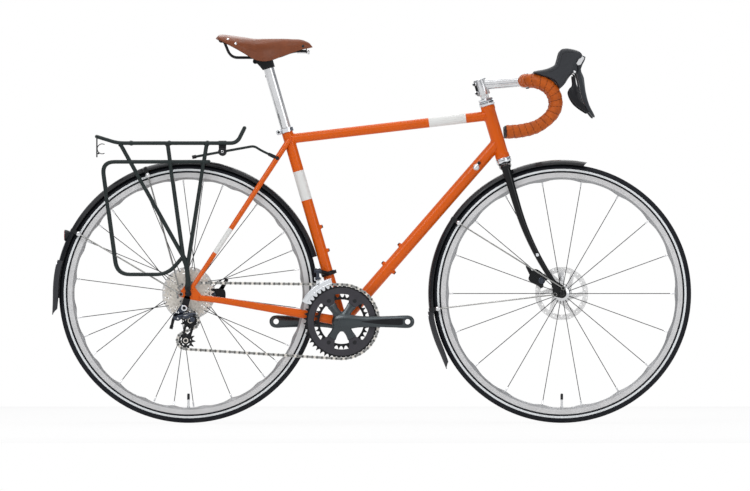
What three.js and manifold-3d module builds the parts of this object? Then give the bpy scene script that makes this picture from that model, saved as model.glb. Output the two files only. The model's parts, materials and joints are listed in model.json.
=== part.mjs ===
// A drop-bar touring bicycle with mudguards, a rear rack and disc brakes.
// Millimetres. X runs forward from the rear axle, Y towards the rider's left, Z up from the ground.
import * as THREE from 'three';
import { mergeVertices } from 'three/addons/utils/BufferGeometryUtils.js';
import Module from 'manifold-3d';

const wasm = await Module();
wasm.setup();

// Clearances and facet counts
const gap = 0.3;
const slideGap = 0.2;
const overrun = 30;
const weldTolerance = 0.0001;
const wheelSegmentCount = 28;
const tubeSideCount = 12;
const smallSideCount = 8;
const rodSideCount = 6;
const wireSideCount = 4;
const spokeSideCount = 3;

// Wheels
const rim = {
  radius: 317, width: 24, wellWidth: 18, wellDepth: 6.6, wallDrop: 13.5, depth: 22, innerWidth: 12,
};
const tyre = { width: 28, height: 22, flankRise: 9, shoulderDrop: 3.5, shoulderWidth: 19 };
const tyreRadius = rim.radius + tyre.height;

// Layout of the whole machine
const tyreSpacing = 300;
const wheelbase = 2 * tyreRadius + tyreSpacing;
const tyreRoom = 62.6;
const bottomBracketAhead = tyreRadius + tyreRoom;
const bottomBracketDrop = 73.6;
const headAngleDegrees = 73.4;
const seatAngleDegrees = 73.9;
const forkOffset = 46.5;
const crownRoom = 45.3;
const forkLength = tyreRadius + crownRoom;

// Frame tubes
const headTube = { length: 142.2, radius: 17.5, boreRadius: 15.4 };
const topTube = { radius: 12.7, headDrop: 26, seatDrop: 30 };
const downTube = { radius: 15.9, headRise: 43.5 };
const seatTube = { length: 528, radius: 14.7, boreDepth: 250 };
const shell = { radius: 20, width: 68, boreRadius: 17.4 };
const seatClamp = { height: 12, wall: 3.4, earLength: 12, earWidth: 14, boltRadius: 3, boltLength: 20 };
const boss = { radius: 5, height: 5.5 };
const bottleBossSpacing = 64;
const bottleBossDownShare = 0.3;
const bottleBossSeatShare = 0.36;
const stopBoss = { radius: 6.5, height: 4.5, alongShare: 0.86 };

// Rear triangle
const rearDropoutWidth = 135;
const dropout = { thickness: 6, radius: 14, slotRadius: 5.2, lugRadius: 8 };
const chainStay = { rearHalfWidth: 6.5, rearHalfHeight: 7.5, frontHalfWidth: 8, frontHalfHeight: 12.5 };
const chainStayEnd = { ahead: 29.6, below: 11.6 };
const chainStayShares = [0.048, 0.167, 0.274, 0.543, 0.839, 1];
const chainStayRiseShares = [0.065, 0.194, 0.323, 0.597, 0.887, 1];
const chainStaySpreadShares = [0.34, 0.383, 0.447, 0.652, 0.936, 1];
const seatStay = { topRadius: 7.3, endRadius: 5.6, topDrop: 32 };
const seatStaySpreadShares = [0.2, 0.34, 0.468, 0.88, 1.01, 1.01];
const seatStayAlongShares = [0, 0.11, 0.26, 0.86, 0.94, 0.965];
const bridge = { radius: 7, alongShare: 0.2 };
const hanger = { back: 10.5, down: 38, radius: 9 };
const rackEyelet = { back: 5, up: 16 };
const guardEyelet = { back: 19, down: 2 };

// Rear and front axles
const axle = {
  radius: 4.9, coneRadius: 8.4, coneLength: 5, coneShoulder: 2.6, nutRadius: 8.5, nutLength: 11,
};
const frontDropoutWidth = 100;
const release = {
  camRadius: 9, camLength: 4, hingeRadius: 4.5, hingeHalf: 6, leverLength: 56, leverHalfWidth: 6,
  leverThickness: 5,
};

// Spokes, hubs and rotors
const spoke = { radius: 1.3, seat: 3, crossing: 1.4 };
const frontHub = {
  endRadius: 9, barrelRadius: 11, flangeRadius: 19, flangeWidth: 3, rightFlange: 33, leftFlange: 22,
  rotorSeatRadius: 22, rotorSeatStart: 30,
};
const rearHub = {
  endRadius: 9.5, barrelRadius: 14, flangeRadius: 28, flangeWidth: 3, rightFlange: 18, leftFlange: 34,
  rightLength: 22, rotorSeatRadius: 22, rotorSeatStart: 42,
};
const frontSpokeCount = 18;
const rearSpokeCount = 24;
const rearSpokeStartDegrees = 7.5;
const crossedSpokeOffset = 25;
const rotor = { radius: 70, trackWidth: 14, boreRadius: 16, thickness: 1.8, armWidth: 9, windowCount: 6 };
const rotorInsetFront = 10.5;
const rotorInsetRear = 15.4;
const rotorRimCount = 24;

// Transmission
const chainPitch = 12.7;
const largeRing = { teeth: 48, thickness: 1.9, offset: 47.5, innerRadius: 72.8 };
const smallRing = { teeth: 34, thickness: 1.9, offset: 40.5, innerRadius: 57 };
const ringInnerCount = 24;
const cassetteTeeth = [11, 12, 14, 16, 18, 21, 24, 28, 32];
const cassette = { spacing: 4.35, thickness: 1.6, coreRadius: 16.4, firstInset: 4.3, pocketRadius: 9.2 };
const chainSprocket = 2;
const toothRoot = 5.4;
const toothTip = 3.3;
const chain = { innerHalf: 1.55, outerHalf: 2.6, plateHalfHeight: 4.1, pinDepth: 3.4 };
const crank = {
  length: 172.5, bossRadius: 20, eyeRadius: 16, eyeBore: 7.1, waistHalf: 13.5, thickness: 12,
  innerFace: 52, eyeOut: 9, spindleRadius: 12,
};
const armWidthShare = 0.58;
const armOutShares = { boss: 0.15, eye: 0.85 };
const eyeTaperShare = 0.9;
const crankBossInset = 8;
const spider = { hubRadius: 27, armHalf: 9.5, tipHalf: 12, tipReach: 72, innerFace: 42.2, outerFace: 46.2 };
const spiderAngleDegrees = 58;
const spiderRearAngleDegrees = 122;
const cup = { radius: 22, width: 7, sleeveRadius: 17.1 };

// Rear derailleur
const guideCentre = { ahead: 5, below: 71 };
const tensionReach = 53.2;
const tensionAngleDegrees = 253;
const pulley = { teeth: 11, thickness: 2.2, hubRadius: 5, boreRadius: 2.7, boltRadius: 2.4 };
const cage = { thickness: 1.2, clearHalf: 5, tipRadius: 11, pivotRadius: 9 };
const cagePivot = { ahead: 6, above: 3 };
const bodyKnuckle = { back: 16.5, down: 22, radius: 8.5, linkRadius: 11.5, thickness: 12 };
const swingLink = { length: 44, radius: 5.2, halfThickness: 3.2 };
const linkRestDegrees = -12;
const linkOutDegrees = 17;
const linkInDegrees = 50;
const linkSpareDegrees = 4;
const swingTiltShares = { across: 0.68, up: 0.73 };
const cageKnuckle = { radius: 9, linkRadius: 11.5, innerOffset: 6.5, outerOver: 7 };
const adjuster = { radius: 3.6, length: 15 };

// Front derailleur
const mechBand = { height: 11, wall: 3, rise: 131, blockDepth: 11, blockHalf: 5.5 };
const mechLink = {
  length: 20, barrelRadius: 3.2, barrelHalf: 7, webHalf: 5.5, webThickness: 2.4, lateral: 43, ahead: 62.5,
  rise: 133,
};
const mechEar = { width: 2.2, half: 3.8 };
const mechCage = {
  innerRadius: 101.5, outerRadius: 117, innerPlateRadius: 92, plateThickness: 1, halfGap: 7.2,
  frontDegrees: 104, rearDegrees: 153, tabWidth: 9, tabThickness: 2, tailInset: 3, tailRadius: 2.4,
};
const mechArcCount = 5;

// Fork and headset
const fork = {
  steererRadius: 12.7, steererBore: 11.3, crownDrop: 13.3, crownHeight: 18, steererRise: 18.5,
  bladeDrop: 24.3, bladeHalfWidth: 7.5, bladeHalfDepth: 11.5, tipHalf: 6, crownSpread: 34.5,
  dropoutThickness: 6, dropoutRadius: 12, eyeletRadius: 5.5,
};
const bladeStepCount = 5;
const crownTop = forkLength - fork.crownDrop;
const crownBottom = crownTop - fork.crownHeight;
const rakeStartShare = 0.3;
const headset = {
  cupRadius: 20.5, lowerHeight: 6, skirt: 12, raceHeight: 5.8, upperHeight: 5.5,
  nutRadius: 19, nutHeight: 13.5, bearingGap: 0.3,
};

// Stem and handlebar
const stem = {
  length: 114.5, postRadius: 11.1, postDepth: 56.5, clampRise: 29.5, clampHeight: 44, clampRadius: 16.5,
  axisRise: 58.5, rearRadius: 13.5, frontRadius: 12.5, barClampRadius: 18.5, barClampWidth: 42,
  boltHeadRadius: 5.1, boltLength: 26,
};
const stemRiseDegrees = 4.65;
const bar = { radius: 12, reachLength: 81, drop: 133.6, halfWidth: 210, topHalf: 130, tapeStart: 38 };
const barShares = [
  [0.04, -0.79, 0], [0.15, -0.92, 0], [0.36, -0.99, -0.004], [0.66, -1, -0.069], [0.89, -1, -0.196],
  [1, -1, -0.39], [0.95, -1.005, -0.58], [0.74, -1.01, -0.745], [0.36, -1.018, -0.9],
  [-0.146, -1.025, -0.98], [-0.6, -1.03, -1],
];
const tape = { thickness: 4.4 };
const barPlug = { radius: 14.5, length: 5 };

// Brake and shift levers
const hood = { halfWidth: 17, edge: 5, pivotAhead: 138, pivotAbove: 60 };
const hoodOutlineShares = [
  [0.14, 0.34], [0.4, 0.5], [0.56, 0.68], [0.61, 0.92], [0.655, 1.28], [0.73, 1.38], [0.86, 1.37],
  [1.03, 1.25], [1.08, 1.02], [0.97, 0.8], [0.93, 0.42], [0.82, 0.1], [0.74, -0.18], [0.64, -0.34],
  [0.53, 0],
];
const lever = { length: 152, halfWidth: 6.5 };
const leverOutlineShares = [
  [0.13, 0.01], [0.05, -0.2], [0.1, -0.35], [0.13, -0.58], [0.19, -0.81], [0.285, -1],
  [0.255, -1.025], [0.155, -0.9], [0.075, -0.73], [0.03, -0.55], [0, -0.38], [-0.05, -0.2], [-0.045, 0.01],
];
const paddleOutlineShares = [
  [0, -0.4], [0.0265, -0.55], [0.069, -0.72], [0.05, -0.76], [-0.03, -0.755], [-0.1, -0.67],
  [-0.115, -0.56], [-0.07, -0.42],
];
const paddle = { halfWidth: 2.2 };

// Saddle and seatpost
const saddle = {
  length: 253, width: 164, noseWidth: 38, topRise: 741.6, tailBack: 329.6, thickness: 5,
  skirtDepth: 60, noseDrop: 21, tailRise: 9,
};
const saddleStationShares = [0, 0.05, 0.14, 0.28, 0.42, 0.56, 0.7, 0.84, 0.94, 0.985];
const saddleWidthShares = [0.72, 0.92, 1, 0.93, 0.68, 0.42, 0.29, 0.24, 0.21, 0.13];
const saddleHeightShares = [0.1, 0.35, 0.1, 0, 0, 0, 0, -0.06, -0.35, -0.8];
const saddleSkirtShares = [0.18, 0.3, 0.42, 0.72, 0.98, 0.99, 0.82, 0.56, 0.46, 0.4];
const saddleArcCount = 8;
const rail = { radius: 3.5, cradleY: 18, drop: 50, rearHalf: 36, noseHalf: 5 };
const cantle = { thickness: 3, depth: 9, noseDepth: 22, noseDrop: 33 };
const saddleClamp = {
  length: 50, width: 46, below: 17, above: 5, collarRadius: 17, collarLength: 22, cover: 7, setback: 10,
};
const seatpost = { radius: 13.6, bottomShare: 0.62 };

// Mudguards
const guardRoom = 11.4;
const guard = { radius: tyreRadius + guardRoom, thickness: 1.6, halfWidth: 21, sideRise: 11 };
const guardStepDegrees = 11;
const guardCrownShare = 0.12;
const guardSectionShares = [[-1, 1], [-0.55, guardCrownShare], [0.55, guardCrownShare], [1, 1]];
const frontGuard = { frontDegrees: 79, rearDegrees: 189 };
const rearGuard = { frontDegrees: 16.2, rearDegrees: 182 };
const flap = { length: 62, halfWidth: 27, thickness: 2, curl: 7 };
const frontEyelet = { ahead: 3, up: 14, back: 18, down: 3 };
const guardStay = {
  radius: 1.7, clampRadius: 6, clampInset: 4, boltRadius: 4, headLength: 2, kneeRadius: 120,
};
const frontStayDegrees = [145.6, 187];
const rearStayDegrees = [109, 151.5];
const reflector = { radius: 13, depth: 9, stepCount: 2.5 };

// Rear rack
const rack = {
  rodRadius: 4.8, deckRoom: 43.6, deckHalf: 55, sideHalf: 73, deckRear: 185, deckFront: 127,
  hookLength: 18, hookRise: 40, tailLength: 55, tailRise: 17, railDrop: 49, railFront: 51,
  railRear: 193, loopRise: 50, loopRear: 187, loopInner: 54, cornerRadius: 34,
  jointBack: 14, jointRise: 93, footRadius: 5.5, footThickness: 4,
};
const rackStrutShares = [0.016, 0.4167, 0.7468];
const rackCrossShares = [0.112, 0.4327, 0.7532];
const rackCornerCount = 2;
const rackSideCount = 5;
const lampBracket = { length: 50, halfWidth: 25, thickness: 3 };
const rackStay = { radius: 3.2, half: 40, kneeAhead: 150, kneeDrop: 11, alongShare: 0.12 };

// Disc brakes
const caliper = {
  inner: 49, outer: 97, halfWidth: 19, inboard: 8.6, outboard: 9, slotHalf: 2.1, corner: 6,
  armLength: 38, armThickness: 3, pivotRadius: 8, tipRadius: 4.5, pivotReach: 80, pivotShift: 8,
};
const frontCaliperDegrees = 147;
const rearCaliperDegrees = -4;
const rearCaliperOutboard = 6.4;

// Colours
const orange = { color: 0xd1540a, roughness: 0.3, metalness: 0.1 };
const blackPaint = { color: 0x14161a, roughness: 0.3, metalness: 0.2 };
const blackPlastic = { color: 0x1c1d20, roughness: 0.5, metalness: 0 };
const rubber = { color: 0x17181c, roughness: 0.85, metalness: 0 };
const chrome = { color: 0xd8dadd, roughness: 0.15, metalness: 1 };
const silver = { color: 0xbfc2c6, roughness: 0.35, metalness: 1 };
const darkMetal = { color: 0x55585c, roughness: 0.4, metalness: 0.8 };
const rackPaint = { color: 0x303a3a, roughness: 0.5, metalness: 0.3 };
const leather = { color: 0x6a3a1f, roughness: 0.6, metalness: 0 };
const tapeBrown = { color: 0x9c4a1c, roughness: 0.6, metalness: 0 };

// A faceted bore's radius that keeps its flats clear of the shaft within it.
const boreFor = (radius, sides) => (radius + gap) / Math.cos(Math.PI / sides);
const radians = (degrees) => degrees * Math.PI / 180;
const point = (x, y, z) => new THREE.Vector3(x, y, z);
const sideways = point(0, 1, 0);

// Turns a geometry into welded positions and triangles that face outwards.
function weld(geometry) {
  const bare = geometry.clone();
  bare.deleteAttribute('normal');
  bare.deleteAttribute('uv');
  const merged = mergeVertices(bare, weldTolerance);
  const place = merged.attributes.position.array;
  const index = merged.index.array;
  const triangles = [];
  let volume = 0;
  const at = (i) => point(place[3 * i], place[3 * i + 1], place[3 * i + 2]);
  for (let k = 0; k < index.length; k += 3) {
    const [a, b, c] = [index[k], index[k + 1], index[k + 2]];
    if (a === b || b === c || a === c) continue;
    triangles.push([a, b, c]);
    volume += at(a).dot(at(b).cross(at(c)));
  }
  const facing = volume < 0 ? triangles.map(([a, b, c]) => [a, c, b]) : triangles;
  return { vertProperties: new Float32Array(place), triVerts: new Uint32Array(facing.flat()) };
}

function asSolid(shape) {
  return new wasm.Manifold(new wasm.Mesh({ numProp: 3, ...weld(shape) }));
}

function asGeometry(solid) {
  const { vertProperties, triVerts } = solid.getMesh();
  const geometry = new THREE.BufferGeometry();
  geometry.setAttribute('position', new THREE.BufferAttribute(vertProperties, 3));
  geometry.setIndex(new THREE.BufferAttribute(triVerts, 1));
  return geometry;
}

function join(...shapes) {
  return asGeometry(shapes.map(asSolid).reduce((whole, piece) => whole.add(piece)));
}

function cut(shape, ...tools) {
  return asGeometry(tools.map(asSolid).reduce((whole, tool) => whole.subtract(tool), asSolid(shape)));
}

function mirror(shape) {
  return shape.clone().applyMatrix4(new THREE.Matrix4().makeScale(1, -1, 1));
}

// A straight round bar from one point to another.
function rod(from, to, radius, sides = tubeSideCount, endRadius = radius) {
  const span = to.clone().sub(from);
  const geometry = new THREE.CylinderGeometry(endRadius, radius, span.length(), sides);
  geometry.translate(0, span.length() / 2, 0);
  geometry.applyQuaternion(new THREE.Quaternion().setFromUnitVectors(sideways, span.normalize()));
  return geometry.translate(from.x, from.y, from.z);
}

// A bar across the machine, from one lateral place to another.
function crossRod(x, z, yFrom, yTo, radius, sides = tubeSideCount) {
  return rod(point(x, Math.min(yFrom, yTo), z), point(x, Math.max(yFrom, yTo), z), radius, sides);
}

// A solid of revolution about the lateral axis, from pairs of radius and lateral place.
function turned(profile, segments) {
  const closed = [...profile, profile[0]];
  return new THREE.LatheGeometry(closed.map(([radius, y]) => new THREE.Vector2(radius, y)), segments);
}

// The same about the steering axis, with heights up it from its foot.
function turnedOnSteering(profile) {
  const geometry = turned(profile, tubeSideCount);
  geometry.applyQuaternion(new THREE.Quaternion().setFromUnitVectors(sideways, headUp));
  return geometry.translate(steeringFoot.x, steeringFoot.y, steeringFoot.z);
}

function arc(x, z, radius, fromDegrees, toDegrees, count) {
  return Array.from({ length: count + 1 }, (_, k) => {
    const angle = radians(fromDegrees + (toDegrees - fromDegrees) * k / count);
    return new THREE.Vector2(x + radius * Math.cos(angle), z + radius * Math.sin(angle));
  });
}

const circle = (x, z, radius, count) => arc(x, z, radius, 0, 360, count).slice(1);

// A box between two opposite corners.
function boxBetween(a, b) {
  const size = b.clone().sub(a);
  const middle = a.clone().add(b).divideScalar(2);
  const geometry = new THREE.BoxGeometry(Math.abs(size.x), Math.abs(size.y), Math.abs(size.z));
  return geometry.translate(middle.x, middle.y, middle.z);
}

// The outline of two discs and the straight flanks that join them.
function strap(ax, az, aRadius, bx, bz, bRadius, count = 3) {
  const turn = THREE.MathUtils.radToDeg(Math.atan2(bz - az, bx - ax));
  const tangent = THREE.MathUtils.radToDeg(Math.acos((aRadius - bRadius) / Math.hypot(bx - ax, bz - az)));
  return [
    ...arc(ax, az, aRadius, turn + tangent, turn + 360 - tangent, count),
    ...arc(bx, bz, bRadius, turn - tangent, turn + tangent, count),
  ];
}

// The outline of a taut string round several discs, each given as its place and radius.
function wrapped(discs) {
  const turn = (a, b, c) => (b.x - a.x) * (c.y - a.y) - (b.y - a.y) * (c.x - a.x);
  const places = discs.flatMap(([x, z, radius]) => circle(x, z, radius, smallSideCount));
  places.sort((a, b) => a.x - b.x || a.y - b.y);
  const chainOf = (list) => list.reduce((kept, place) => {
    while (kept.length > 1 && turn(kept[kept.length - 2], kept[kept.length - 1], place) <= 0) kept.pop();
    return [...kept, place];
  }, []).slice(0, -1);
  return [...chainOf(places), ...chainOf([...places].reverse())];
}

// A flat plate with an outline in the side view, between two lateral places.
function plate(outline, yLow, yHigh, holes = []) {
  const shape = new THREE.Shape(outline);
  shape.holes = holes.map((hole) => new THREE.Path(hole));
  const geometry = new THREE.ExtrudeGeometry(shape, { depth: yHigh - yLow, bevelEnabled: false });
  return geometry.rotateX(Math.PI / 2).translate(0, yHigh, 0);
}

// A closed ring of points on an ellipse about a centre.
function ring(centre, across, up, halfAcross, halfUp, sides) {
  return Array.from({ length: sides }, (_, k) => {
    const angle = 2 * Math.PI * (k + 0.5) / sides;
    return centre.clone()
      .addScaledVector(across, halfAcross * Math.cos(angle))
      .addScaledVector(up, halfUp * Math.sin(angle));
  });
}

// Skins a row of point rings into one closed body. A hollow section lists its outer row, then its
// inner row backwards, and its ends are closed by a strip between the two. An endless row of rings
// joins its last ring to its first one.
function loft(rings, ends = 'fan') {
  const size = rings[0].length;
  const count = rings.length;
  const index = [];
  for (let i = 0; i < (ends === 'none' ? count : count - 1); i += 1) {
    for (let j = 0; j < size; j += 1) {
      const [a, b] = [i * size + j, i * size + (j + 1) % size];
      const [c, d] = [a, b].map((k) => (k + size) % (count * size));
      index.push(a, b, d, a, d, c);
    }
  }
  const strip = Array.from({ length: size / 2 - 1 }, (_, j) => [
    [j, size - 1 - j, j + 1], [j + 1, size - 1 - j, size - 2 - j],
  ]).flat();
  const fan = Array.from({ length: size - 2 }, (_, j) => [0, j + 2, j + 1]);
  const last = (count - 1) * size;
  const cap = { none: [], strip, fan }[ends];
  for (const [a, b, c] of cap) index.push(a, b, c, last + a, last + c, last + b);
  const geometry = new THREE.BufferGeometry();
  geometry.setFromPoints(rings.flat());
  return geometry.setIndex(index);
}

// A route that visits each of its points at even steps, so that a sweep has a ring at each one.
class Route extends THREE.Curve {
  constructor(points) {
    super();
    this.points = points;
  }

  getPoint(t) {
    const place = t * (this.points.length - 1);
    const k = Math.min(Math.floor(place + weldTolerance), this.points.length - 2);
    return this.points[k].clone().lerp(this.points[k + 1], place - k);
  }

  getPointAt(t) {
    return this.getPoint(t);
  }

  getTangent(t) {
    const k = Math.round(t * (this.points.length - 1));
    const before = this.points[Math.max(k - 1, 0)];
    const here = this.points[k];
    const after = this.points[Math.min(k + 1, this.points.length - 1)];
    const tangent = point(0, 0, 0);
    if (k > 0) tangent.add(here.clone().sub(before).normalize());
    if (k < this.points.length - 1) tangent.add(after.clone().sub(here).normalize());
    return tangent.normalize();
  }

  getTangentAt(t) {
    return this.getTangent(t);
  }
}

// Rings across a route, turned so that they don't twist along it.
function routeRings(points, radius, sides) {
  const { normals, binormals } = new Route(points).computeFrenetFrames(points.length - 1, false);
  return points.map((place, k) => ring(place, normals[k], binormals[k], radius, radius, sides));
}

const sweptRod = (points, radius, sides = rodSideCount) => loft(routeRings(points, radius, sides));

// Rounds the inner corners of a route of straight stretches.
function roundedRoute(points, radius, count = rackCornerCount) {
  const route = [points[0]];
  for (let k = 1; k < points.length - 1; k += 1) {
    const back = points[k - 1].clone().sub(points[k]);
    const ahead = points[k + 1].clone().sub(points[k]);
    const reach = Math.min(radius, back.length() / 2, ahead.length() / 2);
    const start = points[k].clone().addScaledVector(back.normalize(), reach);
    const end = points[k].clone().addScaledVector(ahead.normalize(), reach);
    const bend = new THREE.QuadraticBezierCurve3(start, points[k], end);
    route.push(...bend.getPoints(count));
  }
  return [...route, points[points.length - 1]];
}

function mesh(name, geometry, finish) {
  const welded = weld(geometry);
  const body = new THREE.BufferGeometry();
  body.setAttribute('position', new THREE.BufferAttribute(welded.vertProperties, 3));
  body.setIndex(new THREE.BufferAttribute(welded.triVerts, 1));
  body.computeVertexNormals();
  const piece = new THREE.Mesh(body, new THREE.MeshStandardMaterial(finish));
  piece.name = name;
  return piece;
}

function group(place, ...pieces) {
  const holder = new THREE.Group();
  holder.position.copy(place);
  holder.add(...pieces);
  return holder;
}

// Places that the layout fixes
const origin = point(0, 0, 0);
const rearAxle = point(0, 0, tyreRadius);
const frontAxle = point(wheelbase, 0, tyreRadius);
const bottomBracket = point(bottomBracketAhead, 0, tyreRadius - bottomBracketDrop);
const headUp = point(-Math.cos(radians(headAngleDegrees)), 0, Math.sin(radians(headAngleDegrees)));
const headAhead = point(headUp.z, 0, -headUp.x);
const steeringFoot = frontAxle.clone().addScaledVector(headAhead, -forkOffset);
const onSteering = (height) => steeringFoot.clone().addScaledVector(headUp, height);
const headBottom = forkLength;
const headTop = forkLength + headTube.length;
const seatUp = point(-Math.cos(radians(seatAngleDegrees)), 0, Math.sin(radians(seatAngleDegrees)));
const seatAhead = point(seatUp.z, 0, -seatUp.x);
const onSeatTube = (height) => bottomBracket.clone().addScaledVector(seatUp, height);
const topTubeFront = onSteering(headTop - topTube.headDrop);
const topTubeRear = onSeatTube(seatTube.length - topTube.seatDrop);
const downTubeFront = onSteering(headBottom + downTube.headRise);
const rearInner = rearDropoutWidth / 2 + gap;
const rearOuter = rearInner + dropout.thickness;
const frontInner = frontDropoutWidth / 2 + gap;
const frontOuter = frontInner + fork.dropoutThickness;
const rackFoot = point(-rackEyelet.back, 0, rearAxle.z + rackEyelet.up);
const rotorYFront = frontDropoutWidth / 2 - rotorInsetFront;
const rotorYRear = rearDropoutWidth / 2 - rotorInsetRear;

// Frame tubes
const headTubeSkin = rod(
  onSteering(headBottom - overrun), onSteering(headTop + overrun), headTube.radius + gap,
);
const seatTubeSkin = rod(
  onSeatTube(-shell.radius), onSeatTube(seatTube.length + overrun), seatTube.radius + gap,
);
const shellSkin = crossRod(bottomBracket.x, bottomBracket.z, -shell.width, shell.width, shell.radius + gap);

function makeHeadTube() {
  const t = headTube;
  return turnedOnSteering([
    [t.boreRadius, headBottom], [t.radius, headBottom], [t.radius, headTop], [t.boreRadius, headTop],
  ]);
}

function makeTopTube() {
  return cut(rod(topTubeRear, topTubeFront, topTube.radius), headTubeSkin, seatTubeSkin);
}

// A threaded boss that stands on a tube's skin.
function tubeBoss(axisPoint, outward, tubeRadius, size = boss) {
  const root = axisPoint.clone().addScaledVector(outward, tubeRadius - size.height / 2);
  const face = axisPoint.clone().addScaledVector(outward, tubeRadius + size.height);
  return rod(root, face, size.radius, rodSideCount);
}

function makeDownTube() {
  const along = downTubeFront.clone().sub(bottomBracket).normalize();
  const above = point(-along.z, 0, along.x);
  const length = downTubeFront.distanceTo(bottomBracket);
  const onTube = (distance) => bottomBracket.clone().addScaledVector(along, distance);
  const lowBoss = length * bottleBossDownShare;
  const tube = rod(bottomBracket, downTubeFront, downTube.radius);
  const bosses = [lowBoss, lowBoss + bottleBossSpacing].map((distance) => (
    tubeBoss(onTube(distance), above, downTube.radius)));
  const under = tubeBoss(onTube(lowBoss), above.clone().negate(), downTube.radius);
  const stops = [-1, 1].map((side) => (
    tubeBoss(onTube(length * stopBoss.alongShare), point(0, side, 0), downTube.radius, stopBoss)));
  return cut(join(tube, ...bosses, under, ...stops), headTubeSkin, seatTubeSkin, shellSkin);
}

function makeSeatTube() {
  const top = onSeatTube(seatTube.length);
  const tube = rod(bottomBracket, top, seatTube.radius);
  const barrel = crossRod(
    bottomBracket.x, bottomBracket.z, -shell.width / 2, shell.width / 2, shell.radius);
  const lowBoss = seatTube.length * bottleBossSeatShare;
  const bosses = [lowBoss, lowBoss + bottleBossSpacing].map((height) => (
    tubeBoss(onSeatTube(height), seatAhead, seatTube.radius)));
  const bore = rod(
    onSeatTube(seatTube.length - seatTube.boreDepth), onSeatTube(seatTube.length + overrun),
    seatpost.radius + slideGap,
  );
  const shellBore = crossRod(
    bottomBracket.x, bottomBracket.z, -shell.width, shell.width, shell.boreRadius);
  return cut(join(tube, barrel, ...bosses), bore, shellBore);
}

function makeSeatClamp() {
  const low = seatTube.length - seatClamp.height;
  const outer = seatTube.radius + gap + seatClamp.wall;
  const collar = rod(onSeatTube(low), onSeatTube(seatTube.length), outer);
  const ear = rod(
    onSeatTube(low + seatClamp.height / 2),
    onSeatTube(low + seatClamp.height / 2).addScaledVector(seatAhead, -outer - seatClamp.earLength / 2),
    seatClamp.height / 2 - gap, smallSideCount,
  );
  const boltPlace = onSeatTube(low + seatClamp.height / 2).addScaledVector(seatAhead, -outer - gap);
  const bolt = crossRod(
    boltPlace.x, boltPlace.z, -seatClamp.boltLength / 2, seatClamp.boltLength / 2,
    seatClamp.boltRadius, smallSideCount);
  return cut(join(collar, ear, bolt), seatTubeSkin);
}

// Rear stays of one side, brazed into their dropout. The outer side is -1 on the right.
const stayHalf = (rearDropoutWidth + dropout.thickness) / 2;
const chainStayTip = rearAxle.clone().add(point(chainStayEnd.ahead, 0, -chainStayEnd.below));

function chainStayRings(side, spare = 0) {
  const back = bottomBracket.clone().sub(rearAxle);
  back.y = 0;
  const slope = point(back.x, 0, back.z).normalize();
  const up = point(-slope.z, 0, slope.x);
  return chainStayShares.map((share, k) => {
    const centre = point(
      THREE.MathUtils.lerp(bottomBracket.x, chainStayTip.x, share),
      side * stayHalf * chainStaySpreadShares[k],
      THREE.MathUtils.lerp(bottomBracket.z, chainStayTip.z, chainStayRiseShares[k]));
    const halfWidth = THREE.MathUtils.lerp(chainStay.frontHalfWidth, chainStay.rearHalfWidth, share);
    const halfHeight = THREE.MathUtils.lerp(chainStay.frontHalfHeight, chainStay.rearHalfHeight, share);
    return ring(centre, sideways, up, halfWidth + spare, halfHeight + spare, smallSideCount);
  });
}

const seatStayTop = onSeatTube(seatTube.length - seatStay.topDrop);

function onSeatStay(share, side) {
  const spread = stayHalf * piecewise(seatStayAlongShares, seatStaySpreadShares, share);
  const place = seatStayTop.clone().lerp(rearAxle, share);
  return point(place.x, side * spread, place.z);
}

function piecewise(places, values, at) {
  const k = Math.max(1, places.findIndex((place) => place >= at));
  const share = (at - places[k - 1]) / (places[k] - places[k - 1]);
  return THREE.MathUtils.lerp(values[k - 1], values[k], share);
}

function makeStays(side) {
  const chainStayBody = loft(chainStayRings(side));
  const seatStayBody = seatStaySkin(side, 0);
  const [inner, outer] = side < 0 ? [-rearOuter, -rearInner] : [rearInner, rearOuter];
  const seatStayEnd = onSeatStay(seatStayAlongShares[seatStayAlongShares.length - 1], side);
  const lug = dropout.lugRadius;
  const plates = [plate(wrapped([
    [0, rearAxle.z, dropout.radius], [rackFoot.x, rackFoot.z, boss.radius],
    [chainStayTip.x, chainStayTip.z, lug],
    [-guardEyelet.back, rearAxle.z - guardEyelet.down, boss.radius], [seatStayEnd.x, seatStayEnd.z, lug],
  ]), inner, outer)];
  if (side < 0) {
    const hangerPlate = strap(
      0, rearAxle.z, dropout.radius, -hanger.back, rearAxle.z - hanger.down, hanger.radius);
    plates.push(plate(hangerPlate, inner, outer));
    const bridgePlace = onSeatStay(bridge.alongShare, side);
    plates.push(crossRod(
      bridgePlace.x, bridgePlace.z, bridgePlace.y, -bridgePlace.y, bridge.radius, smallSideCount));
    const middle = point(bridgePlace.x, 0, bridgePlace.z);
    const inward = rearAxle.clone().sub(middle);
    const reach = inward.length() - guard.radius - gap;
    const guardFoot = middle.clone().addScaledVector(inward.normalize(), reach);
    plates.push(rod(middle, guardFoot, boss.radius, rodSideCount));
  }
  const whole = join(chainStayBody, seatStayBody, ...plates);
  const slot = crossRod(0, rearAxle.z, -rearDropoutWidth, rearDropoutWidth, dropout.slotRadius);
  const tools = [seatTubeSkin, shellSkin, slot];
  if (side < 0) tools.push(seatStaySkin(1));
  return cut(whole, ...tools);
}

// A seat stay, or with some spare room round it the space that it takes.
function seatStaySkin(side, spare = gap) {
  const fall = rearAxle.clone().sub(seatStayTop).normalize();
  const normal = point(-fall.z, 0, fall.x);
  return loft(seatStayAlongShares.map((share) => {
    const radius = THREE.MathUtils.lerp(seatStay.topRadius, seatStay.endRadius, share) + spare;
    return ring(onSeatStay(share, side), sideways, normal, radius, radius, smallSideCount);
  }));
}

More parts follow.
